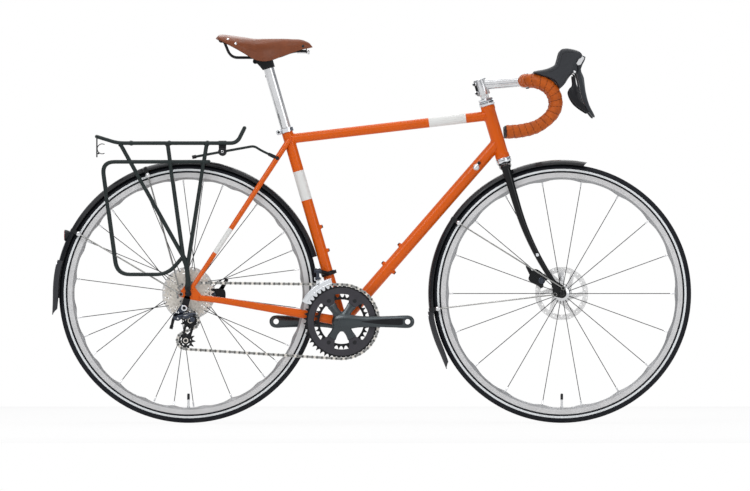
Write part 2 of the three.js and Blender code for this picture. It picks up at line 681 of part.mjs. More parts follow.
// Headset cups, pressed into the head tube
function makeHeadsetCup(end, outward, height) {
  const skirtRadius = headTube.boreRadius - gap;
  const bore = fork.steererRadius + 2 * gap;
  const face = end + outward * gap;
  return turnedOnSteering([
    [bore, end - outward * headset.skirt], [skirtRadius, end - outward * headset.skirt], [skirtRadius, face],
    [headset.cupRadius, face], [headset.cupRadius, face + outward * height], [bore, face + outward * height],
  ]);
}

function makeBottomBracketCups() {
  const bore = boreFor(crank.spindleRadius, tubeSideCount);
  const face = shell.width / 2 + gap;
  const end = face + cup.width;
  const sleeve = Math.min(cup.sleeveRadius, shell.boreRadius - gap);
  return turned([
    [bore, -end], [cup.radius, -end], [cup.radius, -face], [sleeve, -face],
    [sleeve, face], [cup.radius, face], [cup.radius, end], [bore, end],
  ], tubeSideCount);
}

// Wheels, each made about its own axle
function makeTyre() {
  const half = [
    [rim.radius - rim.wellDepth + gap, rim.wellWidth / 2 - gap],
    [rim.radius + tyre.flankRise, tyre.width / 2], [tyreRadius - tyre.shoulderDrop, tyre.shoulderWidth / 2],
  ];
  const other = half.map(([radius, y]) => [radius, -y]).reverse();
  return turned([...half, [tyreRadius, 0], ...other], wheelSegmentCount);
}

function makeRim() {
  const half = [
    [rim.radius - rim.wellDepth, rim.wellWidth / 2], [rim.radius, rim.width / 2],
    [rim.radius - rim.wallDrop, rim.width / 2], [rim.radius - rim.depth, rim.innerWidth / 2],
  ];
  const other = half.map(([radius, y]) => [radius, -y]).reverse();
  return turned([...half, ...other], wheelSegmentCount);
}

function wheelSpoke(angleDegrees, offset, flangeRadius, flangeY) {
  const angle = radians(angleDegrees);
  const along = point(Math.cos(angle), 0, Math.sin(angle));
  const across = point(-along.z, 0, along.x);
  const start = origin.clone().addScaledVector(across, offset);
  if (offset === 0) start.addScaledVector(along, flangeRadius - spoke.seat);
  start.y = flangeY;
  const reach = (rim.radius - rim.depth) * Math.cos(Math.PI / wheelSegmentCount) - gap;
  const run = Math.sqrt(reach * reach - offset * offset);
  const end = origin.clone().addScaledVector(across, offset).addScaledVector(along, run);
  return rod(start, end, spoke.radius, spokeSideCount);
}

function makeRotor(y) {
  const trackRadius = rotor.radius - rotor.trackWidth;
  const pitch = 360 / rotor.windowCount;
  const windows = Array.from({ length: rotor.windowCount }, (_, k) => {
    const inner = frontHub.rotorSeatRadius;
    const half = THREE.MathUtils.radToDeg(rotor.armWidth / 2 / trackRadius);
    const innerHalf = THREE.MathUtils.radToDeg(rotor.armWidth / 2 / inner);
    const from = k * pitch;
    return [
      ...arc(0, 0, trackRadius, from + half, from + pitch - half, 2),
      ...arc(0, 0, inner, from + pitch - innerHalf, from + innerHalf, 1),
    ];
  });
  const outline = circle(0, 0, rotor.radius, rotorRimCount);
  const bore = circle(0, 0, rotor.boreRadius, smallSideCount);
  return plate(outline, y - rotor.thickness / 2, y + rotor.thickness / 2, [bore, ...windows]);
}

// A hub ends short of the cone that carries it.
const hubEnd = (dropoutWidth) => dropoutWidth / 2 - gap - axle.coneLength - gap;

function makeFrontHub() {
  const h = frontHub;
  const bore = boreFor(axle.radius, smallSideCount);
  const end = hubEnd(frontDropoutWidth);
  const body = turned([
    [bore, -end], [h.endRadius, -end], [h.barrelRadius, -h.rightFlange - h.flangeWidth],
    [h.flangeRadius, -h.rightFlange - h.flangeWidth / 2],
    [h.flangeRadius, -h.rightFlange + h.flangeWidth / 2],
    [h.barrelRadius, -h.rightFlange + 2 * h.flangeWidth], [h.barrelRadius, h.leftFlange - 2 * h.flangeWidth],
    [h.flangeRadius, h.leftFlange - h.flangeWidth / 2], [h.flangeRadius, h.leftFlange + h.flangeWidth / 2],
    [h.rotorSeatRadius, h.rotorSeatStart], [h.rotorSeatRadius, rotorYFront + h.flangeWidth],
    [h.endRadius, end], [bore, end],
  ], smallSideCount);
  const spokes = Array.from({ length: frontSpokeCount }, (_, k) => (
    wheelSpoke(360 * k / frontSpokeCount, 0, h.flangeRadius, k % 2 ? h.leftFlange : -h.rightFlange)));
  return join(body, makeRotor(rotorYFront), ...spokes);
}

function makeRearHub() {
  const h = rearHub;
  const bore = boreFor(axle.radius, smallSideCount);
  const end = hubEnd(rearDropoutWidth);
  const body = turned([
    [bore, -h.rightLength], [h.barrelRadius, -h.rightLength],
    [h.flangeRadius, -h.rightFlange - h.flangeWidth / 2],
    [h.flangeRadius, -h.rightFlange + h.flangeWidth / 2],
    [h.barrelRadius, -h.rightFlange + 2 * h.flangeWidth], [h.barrelRadius, h.leftFlange - 2 * h.flangeWidth],
    [h.flangeRadius, h.leftFlange - h.flangeWidth / 2], [h.flangeRadius, h.leftFlange + h.flangeWidth / 2],
    [h.rotorSeatRadius, h.rotorSeatStart], [h.rotorSeatRadius, rotorYRear + h.flangeWidth],
    [h.endRadius, end], [bore, end],
  ], smallSideCount);
  const spokes = Array.from({ length: rearSpokeCount }, (_, k) => {
    const degrees = rearSpokeStartDegrees + 360 * k / rearSpokeCount;
    const crossed = k % 2 === 0;
    const lean = k % 4 === 0 ? 1 : -1;
    if (!crossed) return wheelSpoke(degrees, 0, h.flangeRadius, h.leftFlange);
    const y = lean * spoke.crossing - h.rightFlange;
    return wheelSpoke(degrees, crossedSpokeOffset * lean, h.flangeRadius, y);
  });
  return join(body, makeRotor(rotorYRear), ...spokes);
}

// An axle with its cones, the nut of the quick release on the right and its cam housing on the left.
function makeAxle(inner, outer) {
  const cone = inner - gap - axle.coneLength;
  const nut = outer + gap;
  return turned([
    [0, -nut - axle.nutLength], [axle.nutRadius * nutTipShare, -nut - axle.nutLength],
    [axle.nutRadius, -nut - axle.nutLength / 2], [axle.nutRadius, -nut],
    [axle.radius, -nut], [axle.radius, -inner + gap], [axle.coneRadius, -inner + gap],
    [axle.coneRadius, -inner + gap + axle.coneShoulder], [axle.radius, -cone],
    [axle.radius, cone], [axle.coneRadius, inner - gap - axle.coneShoulder], [axle.coneRadius, inner - gap],
    [axle.radius, inner - gap], [axle.radius, nut], [release.camRadius, nut],
    [release.camRadius, nut + release.camLength], [0, nut + release.camLength],
  ], smallSideCount);
}

// The closed quick-release lever stands up beside its cam housing.
function makeReleaseLever(outer) {
  const y = releaseHinge(outer);
  const root = rod(
    point(-release.hingeHalf, y, 0), point(release.hingeHalf, y, 0), release.hingeRadius, smallSideCount);
  const blade = plate(
    strap(0, release.hingeRadius, release.leverHalfWidth, 0, release.leverLength, release.leverHalfWidth),
    y - release.leverThickness / 2, y + release.leverThickness / 2);
  return join(root, blade);
}

const releaseHinge = (outer) => outer + gap + release.camLength + gap + release.hingeRadius;
const nutTipShare = 0.7;

// Chain wheels. The valley at zero degrees turns to the given phase.
function toothedOutline(teeth, phaseDegrees) {
  const middle = pitchRadius(teeth);
  const step = 360 / teeth;
  return Array.from({ length: 2 * teeth }, (_, k) => {
    const angle = radians(phaseDegrees + k * step / 2);
    const radius = k % 2 ? middle + toothTip : middle - toothRoot;
    return new THREE.Vector2(radius * Math.cos(angle), radius * Math.sin(angle));
  });
}

const pitchRadius = (teeth) => chainPitch / (2 * Math.sin(Math.PI / teeth));

// The chain's route in the side view: round four toothed wheels, in the order that the chain runs
// from the top of the large ring. A turn of 1 goes anticlockwise in the drive-side view.
const cassetteY = (k) => -(rearDropoutWidth / 2 - cassette.firstInset - k * cassette.spacing);
const chainRearY = cassetteY(chainSprocket);
const guidePulley = point(guideCentre.ahead, chainRearY, rearAxle.z - guideCentre.below);

function tensionPulleyAt(degrees) {
  const angle = radians(degrees);
  return guidePulley.clone().add(point(
    tensionReach * Math.cos(angle), 0, tensionReach * Math.sin(angle)));
}

function chainWheels(tensionDegrees) {
  const wheels = [
    [bottomBracket, largeRing.teeth, 1, -largeRing.offset],
    [rearAxle, cassetteTeeth[chainSprocket], 1, chainRearY],
    [guidePulley, pulley.teeth, -1, chainRearY],
    [tensionPulleyAt(tensionDegrees), pulley.teeth, 1, chainRearY],
  ];
  return wheels.map(([centre, teeth, turn, y]) => ({ centre, teeth, turn, y, radius: pitchRadius(teeth) }));
}

// Straight runs between the wheels, as start and end points with the direction of travel.
function chainRuns(wheels) {
  return wheels.map((from, k) => {
    const to = wheels[(k + 1) % wheels.length];
    const dx = to.centre.x - from.centre.x;
    const dz = to.centre.z - from.centre.z;
    const lean = Math.asin((to.turn * to.radius - from.turn * from.radius) / Math.hypot(dx, dz));
    const heading = Math.atan2(dz, dx) - lean;
    const left = [-Math.sin(heading), Math.cos(heading)];
    const touch = (wheel) => point(
      wheel.centre.x - wheel.turn * wheel.radius * left[0], wheel.y,
      wheel.centre.z - wheel.turn * wheel.radius * left[1]);
    const [start, end] = [touch(from), touch(to)];
    return { start, end, heading, links: Math.hypot(end.x - start.x, end.z - start.z) / chainPitch };
  });
}

// How far the chain turns on each wheel, counted in links.
function wrapLinks(wheel, arriving, leaving) {
  const turn = wheel.turn * (leaving - arriving);
  const full = 2 * Math.PI;
  return ((turn % full) + full) % full * wheel.teeth / full;
}

function chainLayout(tensionDegrees) {
  const wheels = chainWheels(tensionDegrees);
  const runs = chainRuns(wheels);
  const wraps = wheels.map((wheel, k) => (
    wrapLinks(wheel, runs[(k + wheels.length - 1) % wheels.length].heading, runs[k].heading)));
  const total = runs.reduce((sum, run, k) => sum + run.links + wraps[k], 0);
  return { wheels, runs, wraps, total };
}

// The cage turns until the chain closes on a whole, even number of links.
function closedChain() {
  const wanted = 2 * Math.round(chainLayout(tensionAngleDegrees).total / 2);
  let [low, high] = [tensionAngleDegrees - cageSearchDegrees, tensionAngleDegrees + cageSearchDegrees];
  for (let k = 0; k < cageSearchCount; k += 1) {
    const middle = (low + high) / 2;
    const rising = chainLayout(high).total > chainLayout(low).total;
    if (chainLayout(middle).total < wanted === rising) low = middle;
    else high = middle;
  }
  return { ...chainLayout((low + high) / 2), count: wanted, degrees: (low + high) / 2 };
}

const cageSearchDegrees = 28;
const cageSearchCount = 40;
const chainLine = closedChain();
const tensionPulley = tensionPulleyAt(chainLine.degrees);

// The place and heading of a pin, counted in links from the top of the large ring.
function chainPin(count) {
  const { wheels, runs, wraps } = chainLine;
  let left = count;
  for (let k = 0; k < runs.length; k += 1) {
    const run = runs[k];
    if (left <= run.links) {
      return { place: run.start.clone().lerp(run.end, left / run.links), heading: run.heading };
    }
    left -= run.links;
    const next = (k + 1) % wheels.length;
    if (left <= wraps[next]) {
      const wheel = wheels[next];
      const turned = wheel.turn * left * 2 * Math.PI / wheel.teeth;
      const arm = run.end.clone().sub(wheel.centre);
      const angle = Math.atan2(arm.z, arm.x) + turned;
      const place = point(
        wheel.centre.x + wheel.radius * Math.cos(angle), wheel.y,
        wheel.centre.z + wheel.radius * Math.sin(angle));
      return { place, heading: run.heading + turned };
    }
    left -= wraps[next];
  }
  return { place: runs[0].start.clone(), heading: runs[0].heading };
}

// The angle of the first pin on a wheel of the route, which sets that wheel's teeth.
function wheelPhase(wheelIndex) {
  const { wheels, runs, wraps, count } = chainLine;
  for (let k = 0; k < count; k += 1) {
    let before = 0;
    for (let j = 0; j < wheels.length; j += 1) {
      before += runs[j].links;
      const next = (j + 1) % wheels.length;
      if (next === wheelIndex && k >= before && k <= before + wraps[next]) {
        const arm = chainPin(k).place.sub(wheels[next].centre);
        return THREE.MathUtils.radToDeg(Math.atan2(arm.z, arm.x));
      }
      before += wraps[next];
    }
  }
  return 0;
}

// Two rows of plates with a pin between them at each joint, built as one closed ladder. Each pin
// adds five points on each side: its plate's top and bottom edges, inside and outside, and the
// front corner of the pin itself.
function makeChain() {
  const places = [];
  const index = [];
  const perSide = 5;
  for (let k = 0; k < chainLine.count; k += 1) {
    const pin = chainPin(k);
    const along = point(Math.cos(pin.heading), 0, Math.sin(pin.heading));
    const up = point(-along.z, 0, along.x);
    const add = (ahead, above, y) => places.push(
      pin.place.clone().addScaledVector(along, ahead).addScaledVector(up, above).add(point(0, y, 0)));
    for (const side of [-1, 1]) {
      add(0, chain.plateHalfHeight, side * chain.innerHalf);
      add(0, -chain.plateHalfHeight, side * chain.innerHalf);
      add(0, chain.plateHalfHeight, side * chain.outerHalf);
      add(0, -chain.plateHalfHeight, side * chain.outerHalf);
      add(chain.pinDepth, 0, side * chain.innerHalf);
    }
  }
  const face = (...corners) => {
    for (let n = 1; n < corners.length - 1; n += 1) index.push(corners[0], corners[n], corners[n + 1]);
  };
  for (let k = 0; k < chainLine.count; k += 1) {
    const here = k * 2 * perSide;
    const next = ((k + 1) % chainLine.count) * 2 * perSide;
    for (const side of [0, 1]) {
      const [t0, b0, topOut0, bottomOut0, pin] = [0, 1, 2, 3, 4].map((n) => here + side * perSide + n);
      const [t1, b1, topOut1, bottomOut1] = [0, 1, 2, 3].map((n) => next + side * perSide + n);
      const facing = (first, ...others) => face(first, ...(side ? others.reverse() : others));
      facing(topOut0, bottomOut0, bottomOut1, topOut1);
      facing(t0, topOut0, topOut1, t1);
      facing(bottomOut0, b0, b1, bottomOut1);
      facing(pin, t0, t1, b1, b0);
    }
    const [rightTop, rightBottom, , , rightPin] = [0, 1, 2, 3, 4].map((n) => here + n);
    const [leftTop, leftBottom, , , leftPin] = [0, 1, 2, 3, 4].map((n) => here + perSide + n);
    face(rightTop, rightPin, leftPin, leftTop);
    face(rightPin, rightBottom, leftBottom, leftPin);
    face(rightBottom, rightTop, leftTop, leftBottom);
  }
  const geometry = new THREE.BufferGeometry().setFromPoints(places);
  return geometry.setIndex(index);
}

function makeChainring(size, phase) {
  const outline = toothedOutline(size.teeth, phase);
  const hole = circle(0, 0, size.innerRadius, ringInnerCount);
  return plate(outline, -size.offset - size.thickness / 2, -size.offset + size.thickness / 2, [hole]);
}

function makeCassette() {
  const bore = boreFor(axle.radius, smallSideCount);
  const start = cassetteY(0) - cassette.thickness / 2 - gap;
  const end = -rearHub.rightLength - gap;
  const pocketEnd = -hubEnd(rearDropoutWidth);
  const core = crossRod(0, 0, start, end, cassette.coreRadius, smallSideCount);
  const phase = wheelPhase(1);
  const sprockets = cassetteTeeth.map((teeth, k) => plate(
    toothedOutline(teeth, k === chainSprocket ? phase : 0),
    cassetteY(k) - cassette.thickness / 2, cassetteY(k) + cassette.thickness / 2));
  const through = crossRod(0, 0, start - overrun, end + overrun, bore, smallSideCount);
  const pocket = crossRod(0, 0, start - overrun, pocketEnd, cassette.pocketRadius, smallSideCount);
  return cut(join(core, ...sprockets), join(through, pocket));
}

// A crank arm along +X on the left of the machine, with its pedal eye.
function makeArm() {
  const c = crank;
  const middle = c.innerFace + c.thickness / 2;
  const stations = [
    [-c.bossRadius, c.bossRadius / 2, 0], [-c.bossRadius / 2, c.bossRadius, 0],
    [c.bossRadius / 2, c.bossRadius, 0], [c.bossRadius * 2, c.waistHalf, armOutShares.boss],
    [c.length - c.eyeRadius * 2, c.waistHalf, armOutShares.eye], [c.length - c.eyeRadius / 2, c.eyeRadius, 1],
    [c.length + c.eyeRadius / 2, c.eyeRadius * eyeTaperShare, 1],
    [c.length + c.eyeRadius, c.eyeRadius / 2, 1],
  ];
  const up = point(0, 0, 1);
  const halfWidth = c.thickness * armWidthShare;
  return loft(stations.map(([x, half, outShare]) => (
    ring(point(x, middle + c.eyeOut * outShare, 0), sideways, up, halfWidth, half, smallSideCount))));
}

function makeRightCrank() {
  const s = spider;
  const arms = [1, -1].flatMap((sign) => [spiderAngleDegrees, spiderRearAngleDegrees].map((degrees) => {
    const angle = radians(sign * degrees);
    const outline = strap(
      0, 0, s.armHalf, s.tipReach * Math.cos(angle), s.tipReach * Math.sin(angle), s.tipHalf, 2);
    return plate(outline, -s.outerFace, -s.innerFace);
  }));
  const middle = -crank.innerFace - crank.thickness / 2;
  const hub = plate(circle(0, 0, s.hubRadius, tubeSideCount), middle, -s.innerFace);
  const arm = mirror(makeArm());
  const spindle = crossRod(
    0, 0, middle, crank.innerFace + crank.thickness - gap, crank.spindleRadius);
  const eye = crossRod(crank.length, 0, -rearDropoutWidth, 0, crank.eyeBore);
  return cut(join(arm, ...arms, hub, spindle), eye);
}

function makeLeftCrank() {
  const boss = crossRod(
    0, 0, crank.innerFace - crankBossInset, crank.innerFace + crank.thickness, crank.bossRadius);
  const bore = crossRod(0, 0, 0, rearDropoutWidth, crank.spindleRadius + gap);
  const eye = crossRod(crank.length, 0, 0, rearDropoutWidth, crank.eyeBore);
  const arm = cut(join(makeArm(), boss), bore, eye);
  return arm.rotateY(Math.PI);
}

// Rear derailleur, in the machine's own frame
const hangerBolt = point(-hanger.back, -rearOuter, rearAxle.z - hanger.down);
const linkStart = hangerBolt.clone().add(point(
  -bodyKnuckle.back, -gap - bodyKnuckle.thickness / 2, -bodyKnuckle.down));
const swingAxis = point(0, swingTiltShares.across, swingTiltShares.up).normalize();
const swingAcross = point(0, swingAxis.z, -swingAxis.y);
const linkEnd = linkStart.clone()
  .addScaledVector(point(1, 0, 0), swingLink.length * Math.cos(radians(linkRestDegrees)))
  .addScaledVector(swingAcross, swingLink.length * Math.sin(radians(linkRestDegrees)));
const cagePivotPlace = guidePulley.clone().add(point(cagePivot.ahead, 0, cagePivot.above));

function makeDerailleurBody() {
  const [inner, outer] = [hangerBolt.y - gap, hangerBolt.y - gap - bodyKnuckle.thickness];
  const outline = strap(
    hangerBolt.x, hangerBolt.z, bodyKnuckle.radius, linkStart.x, linkStart.z, bodyKnuckle.linkRadius);
  const knuckle = plate(outline, outer, inner);
  const screwRoot = linkStart.clone().add(point(-bodyKnuckle.linkRadius / 2, 0, 0));
  const screw = rod(
    screwRoot, screwRoot.clone().add(point(-adjuster.length, 0, -adjuster.length / 2)), adjuster.radius,
    rodSideCount);
  return cut(join(knuckle, screw), linkRoom(linkStart, 0));
}

// The room that a link sweeps from one of its ends, between the cheeks of its knuckle.
function linkRoom(place, turnDegrees) {
  const half = swingLink.radius + 2 * gap;
  const low = turnDegrees + linkRestDegrees - linkOutDegrees - linkSpareDegrees;
  const high = turnDegrees + linkRestDegrees + linkInDegrees + linkSpareDegrees;
  const far = (degrees, beside) => {
    const [angle, normal] = [radians(degrees), radians(degrees + beside)];
    return new THREE.Vector2(
      swingLink.length * Math.cos(angle) + half * Math.cos(normal),
      swingLink.length * Math.sin(angle) + half * Math.sin(normal));
  };
  const outline = [...arc(0, 0, half, high + 90, low + 270, 4), far(low, -90), far(high, 90)];
  const depth = 2 * (swingLink.halfThickness + gap);
  const geometry = new THREE.ExtrudeGeometry(new THREE.Shape(outline), { depth, bevelEnabled: false });
  geometry.translate(0, 0, -depth / 2);
  geometry.applyMatrix4(new THREE.Matrix4().makeBasis(point(1, 0, 0), swingAcross, swingAxis));
  return geometry.translate(place.x, place.y, place.z);
}

const linkTipShare = 0.7;

function makeDerailleurLink() {
  const along = linkEnd.clone().sub(linkStart).normalize();
  const across = swingAxis.clone().cross(along);
  const section = (place, half) => ring(
    place, across, swingAxis, half, swingLink.halfThickness, smallSideCount);
  const beyond = swingLink.radius * linkTipShare;
  return loft([
    section(linkStart.clone().addScaledVector(along, -beyond), beyond),
    section(linkStart, swingLink.radius), section(linkEnd, swingLink.radius),
    section(linkEnd.clone().addScaledVector(along, beyond), beyond),
  ]);
}

function makeDerailleurKnuckle() {
  const inner = chainRearY - cageKnuckle.innerOffset;
  const outer = linkEnd.y - cageKnuckle.outerOver;
  const barrel = crossRod(
    cagePivotPlace.x, cagePivotPlace.z, outer, inner, cageKnuckle.radius, smallSideCount);
  const outline = strap(
    cagePivotPlace.x, cagePivotPlace.z, cageKnuckle.radius, linkEnd.x, linkEnd.z, cageKnuckle.linkRadius);
  const cheek = plate(outline, outer, linkEnd.y + cageKnuckle.outerOver);
  return cut(join(barrel, cheek), linkRoom(linkEnd, 180));
}

function makeDerailleurCage() {
  const outerLow = chainRearY - cage.clearHalf - cage.thickness;
  const outerHigh = chainRearY - cage.clearHalf;
  const innerLow = chainRearY + cage.clearHalf;
  const innerHigh = chainRearY + cage.clearHalf + cage.thickness;
  const legs = strap(
    guidePulley.x, guidePulley.z, cage.tipRadius, tensionPulley.x, tensionPulley.z, cage.tipRadius);
  const head = strap(
    guidePulley.x, guidePulley.z, cage.tipRadius, cagePivotPlace.x, cagePivotPlace.z, cage.pivotRadius);
  const bolts = [guidePulley, tensionPulley].map((place) => (
    crossRod(place.x, place.z, outerLow, innerHigh, pulley.boltRadius, smallSideCount)));
  return join(
    plate(legs, outerLow, outerHigh), plate(head, outerLow, outerHigh), plate(legs, innerLow, innerHigh),
    ...bolts);
}

function makePulley(wheelIndex) {
  const bore = circle(0, 0, pulley.boreRadius, smallSideCount);
  const outline = toothedOutline(pulley.teeth, wheelPhase(wheelIndex));
  const disc = plate(outline, -pulley.thickness / 2, pulley.thickness / 2, [bore]);
  const side = cage.clearHalf - gap;
  const hub = plate(circle(0, 0, pulley.hubRadius, smallSideCount), -side, side, [bore]);
  return join(disc, hub);
}

// Front derailleur
const mechPivot = bottomBracket.clone().add(point(-mechLink.ahead, -mechLink.lateral, mechLink.rise));
const mechCagePivot = mechPivot.clone().add(point(0, 0, -mechLink.length));

// A pair of ears on each side of a barrel, between two heights and two lateral places.
function mechEars(pivot, yFrom, yTo, zFrom, zTo) {
  const inner = mechLink.barrelHalf + gap;
  return [-1, 1].map((side) => boxBetween(
    point(pivot.x + side * inner, yFrom, zFrom), point(pivot.x + side * (inner + mechEar.width), yTo, zTo)));
}

function makeMechBand() {
  const low = mechBand.rise - mechBand.height / 2;
  const radius = seatTube.radius + gap + mechBand.wall;
  const band = rod(onSeatTube(low), onSeatTube(low + mechBand.height), radius);
  const near = mechPivot.y + mechLink.barrelRadius + gap;
  const half = mechLink.barrelHalf + gap + mechEar.width;
  const block = boxBetween(
    point(mechPivot.x - half, near, mechPivot.z - mechBand.blockHalf),
    point(mechPivot.x + half, near + mechBand.blockDepth, mechPivot.z + mechBand.blockHalf));
  const arm = rod(
    onSeatTube(mechBand.rise).add(point(0, -seatTube.radius, 0)),
    point(mechPivot.x, near + mechBand.blockHalf, mechPivot.z), mechBand.blockHalf, smallSideCount);
  const ears = mechEars(
    mechPivot, mechPivot.y - mechEar.half, near + mechEar.width, mechPivot.z - mechEar.half,
    mechPivot.z + mechEar.half);
  return cut(join(band, arm, block, ...ears), seatTubeSkin);
}

function makeMechLink() {
  const barrel = (place) => rod(
    place.clone().add(point(-mechLink.barrelHalf, 0, 0)), place.clone().add(point(mechLink.barrelHalf, 0, 0)),
    mechLink.barrelRadius, smallSideCount);
  const web = boxBetween(
    mechPivot.clone().add(point(-mechLink.webHalf, -mechLink.webThickness / 2, 0)),
    mechCagePivot.clone().add(point(mechLink.webHalf, mechLink.webThickness / 2, 0)));
  return join(barrel(mechPivot), barrel(mechCagePivot), web);
}

function makeMechCage() {
  const c = mechCage;
  const centre = bottomBracket;
  const blade = (inner, outer, low) => plate([
    ...arc(centre.x, centre.z, inner, c.frontDegrees, c.rearDegrees, mechArcCount),
    ...arc(centre.x, centre.z, outer, c.rearDegrees, c.frontDegrees, mechArcCount),
  ], low, low + c.plateThickness);
  const outerLow = -largeRing.offset - c.halfGap - c.plateThickness;
  const innerLow = -largeRing.offset + c.halfGap;
  const tailAngle = radians(c.rearDegrees - mechTailDegrees);
  const tailRadius = c.outerRadius - c.tailInset;
  const tail = crossRod(
    centre.x + tailRadius * Math.cos(tailAngle), centre.z + tailRadius * Math.sin(tailAngle),
    outerLow + c.plateThickness / 2, innerLow + c.plateThickness / 2, c.tailRadius, rodSideCount);
  const hangTop = mechCagePivot.z - mechLink.barrelRadius - gap;
  const half = mechLink.barrelHalf + gap + mechEar.width;
  const tab = boxBetween(
    point(mechCagePivot.x - half, outerLow, hangTop - c.tabThickness),
    point(mechCagePivot.x + half, innerLow + c.plateThickness, hangTop));
  const hang = (low) => boxBetween(
    point(mechCagePivot.x - c.tabWidth / 2, low, bottomBracket.z + mechHangRise),
    point(mechCagePivot.x + c.tabWidth / 2, low + c.plateThickness, hangTop));
  const ears = mechEars(
    mechCagePivot, mechCagePivot.y - mechEar.half, mechCagePivot.y + mechEar.half,
    hangTop - c.tabThickness / 2, mechCagePivot.z + mechEar.half);
  return join(
    blade(c.innerRadius, c.outerRadius, outerLow), blade(c.innerPlateRadius, c.outerRadius, innerLow),
    tail, tab, hang(outerLow), hang(innerLow), ...ears);
}

const mechTailDegrees = 3;
const mechHangRise = 95;

// Fork, in the machine's own frame
function bladeCentre(share, side) {
  const height = (forkLength - fork.bladeDrop) * (1 - share);
  const bend = Math.max(0, (share - rakeStartShare) / (1 - rakeStartShare));
  const place = onSteering(height).addScaledVector(headAhead, forkOffset * bend * bend);
  const spread = THREE.MathUtils.lerp(fork.crownSpread, frontInner + fork.dropoutThickness / 2, share);
  return point(place.x, side * spread, place.z);
}

function makeBlade(side, spare = 0) {
  const rings = Array.from({ length: bladeStepCount + 1 }, (_, k) => {
    const share = k / bladeStepCount * bladeEndShare;
    const here = bladeCentre(share, side);
    const ahead = bladeCentre(share + shareStep, side).sub(here).normalize();
    const normal = sideways.clone().cross(ahead).normalize();
    const halfDepth = THREE.MathUtils.lerp(fork.bladeHalfDepth, fork.tipHalf, share) + spare;
    const halfWidth = THREE.MathUtils.lerp(fork.bladeHalfWidth, fork.tipHalf, share) + spare;
    return ring(here, sideways, normal, halfWidth, halfDepth, smallSideCount);
  });
  return loft(rings);
}

const bladeEndShare = 0.965;
const shareStep = 0.001;
const crownStationShares = [-1, -0.72, 0, 0.72, 1];
const crownSlimShare = 0.25;
const crownTaperShare = 0.3;
const crownDropStartShare = 0.5;
const bladeTipBackShare = 0.06;

function makeFork() {
  const steerer = rod(onSteering(crownBottom), onSteering(headTop + fork.steererRise), fork.steererRadius);
  const half = fork.crownSpread + fork.bladeHalfWidth;
  const crown = loft(crownStationShares.map((share) => {
    const drop = Math.abs(share) > crownDropStartShare ? crownShoulder * Math.abs(share) : 0;
    const middle = onSteering((crownTop + crownBottom) / 2 - drop);
    middle.y = share * half;
    const halfHeight = (crownTop - crownBottom) / 2 * (1 - crownSlimShare * Math.abs(share));
    const halfDepth = crownHalfDepth * (1 - crownTaperShare * share * share);
    return ring(middle, headAhead, headUp, halfDepth, halfHeight, smallSideCount);
  }));
  const race = rod(
    onSteering(crownTop - overlap), onSteering(headBottom - gap - headset.lowerHeight - gap),
    headset.cupRadius - gap);
  const blades = [-1, 1].map((side) => makeBlade(side));
  const ends = [-1, 1].map((side) => {
    const [low, high] = side < 0 ? [-frontOuter, -frontInner] : [frontInner, frontOuter];
    const tip = bladeCentre(bladeEndShare - bladeTipBackShare, side);
    return plate(wrapped([
      [frontAxle.x, frontAxle.z, fork.dropoutRadius], [tip.x, tip.z, fork.tipHalf],
      [frontAxle.x + frontEyelet.ahead, frontAxle.z + frontEyelet.up, fork.eyeletRadius],
      [frontAxle.x - frontEyelet.back, frontAxle.z - frontEyelet.down, fork.eyeletRadius],
    ]), low, high);
  });
  const midEyelets = [-1, 1].map((side) => {
    const place = bladeCentre(midEyeletShare, side);
    const end = place.y + side * midEyeletReach;
    return crossRod(place.x, place.z, place.y, end, fork.eyeletRadius, rodSideCount);
  });
  const guardBolt = rod(
    onSteering(crownBottom + overlap), onSteering(guardCrossing() + 2 * gap), boss.radius, rodSideCount);
  const bore = rod(
    onSteering(headTop - stem.postDepth - overrun), onSteering(headTop + fork.steererRise + overrun),
    fork.steererBore);
  const slot = crossRod(frontAxle.x, frontAxle.z, -rearDropoutWidth, rearDropoutWidth, dropout.slotRadius);
  return cut(join(steerer, crown, race, guardBolt, ...blades, ...ends, ...midEyelets), bore, slot);
}

// How far up the steering axis the front mudguard crosses it.
const guardCrossing = () => Math.sqrt(guard.radius * guard.radius - forkOffset * forkOffset);
const crownShoulder = 6;
const crownHalfDepth = 15;
const overlap = 2;
const midEyeletShare = 0.68;
const midEyeletReach = 9;

function makeLocknut() {
  const low = headTop + gap + headset.upperHeight + headset.bearingGap;
  const shoulder = low + headset.nutHeight * nutShoulderShare;
  const bore = fork.steererRadius + gap;
  const coneRadius = headset.cupRadius - gap;
  return turnedOnSteering([
    [bore, low], [coneRadius, low], [coneRadius, shoulder], [headset.nutRadius, shoulder],
    [headset.nutRadius, low + headset.nutHeight], [bore, low + headset.nutHeight],
  ]);
}

const nutShoulderShare = 0.45;

// Stem: a clamp on a quill post, and the extension to the bar
const stemStart = onSteering(headTop + stem.axisRise);
const stemRise = radians(stemRiseDegrees);
const clampBottom = headTop + stem.clampRise;
const clampTop = clampBottom + stem.clampHeight;
const barCentre = stemStart.clone().add(point(
  stem.length * Math.cos(stemRise), 0, stem.length * Math.sin(stemRise)));

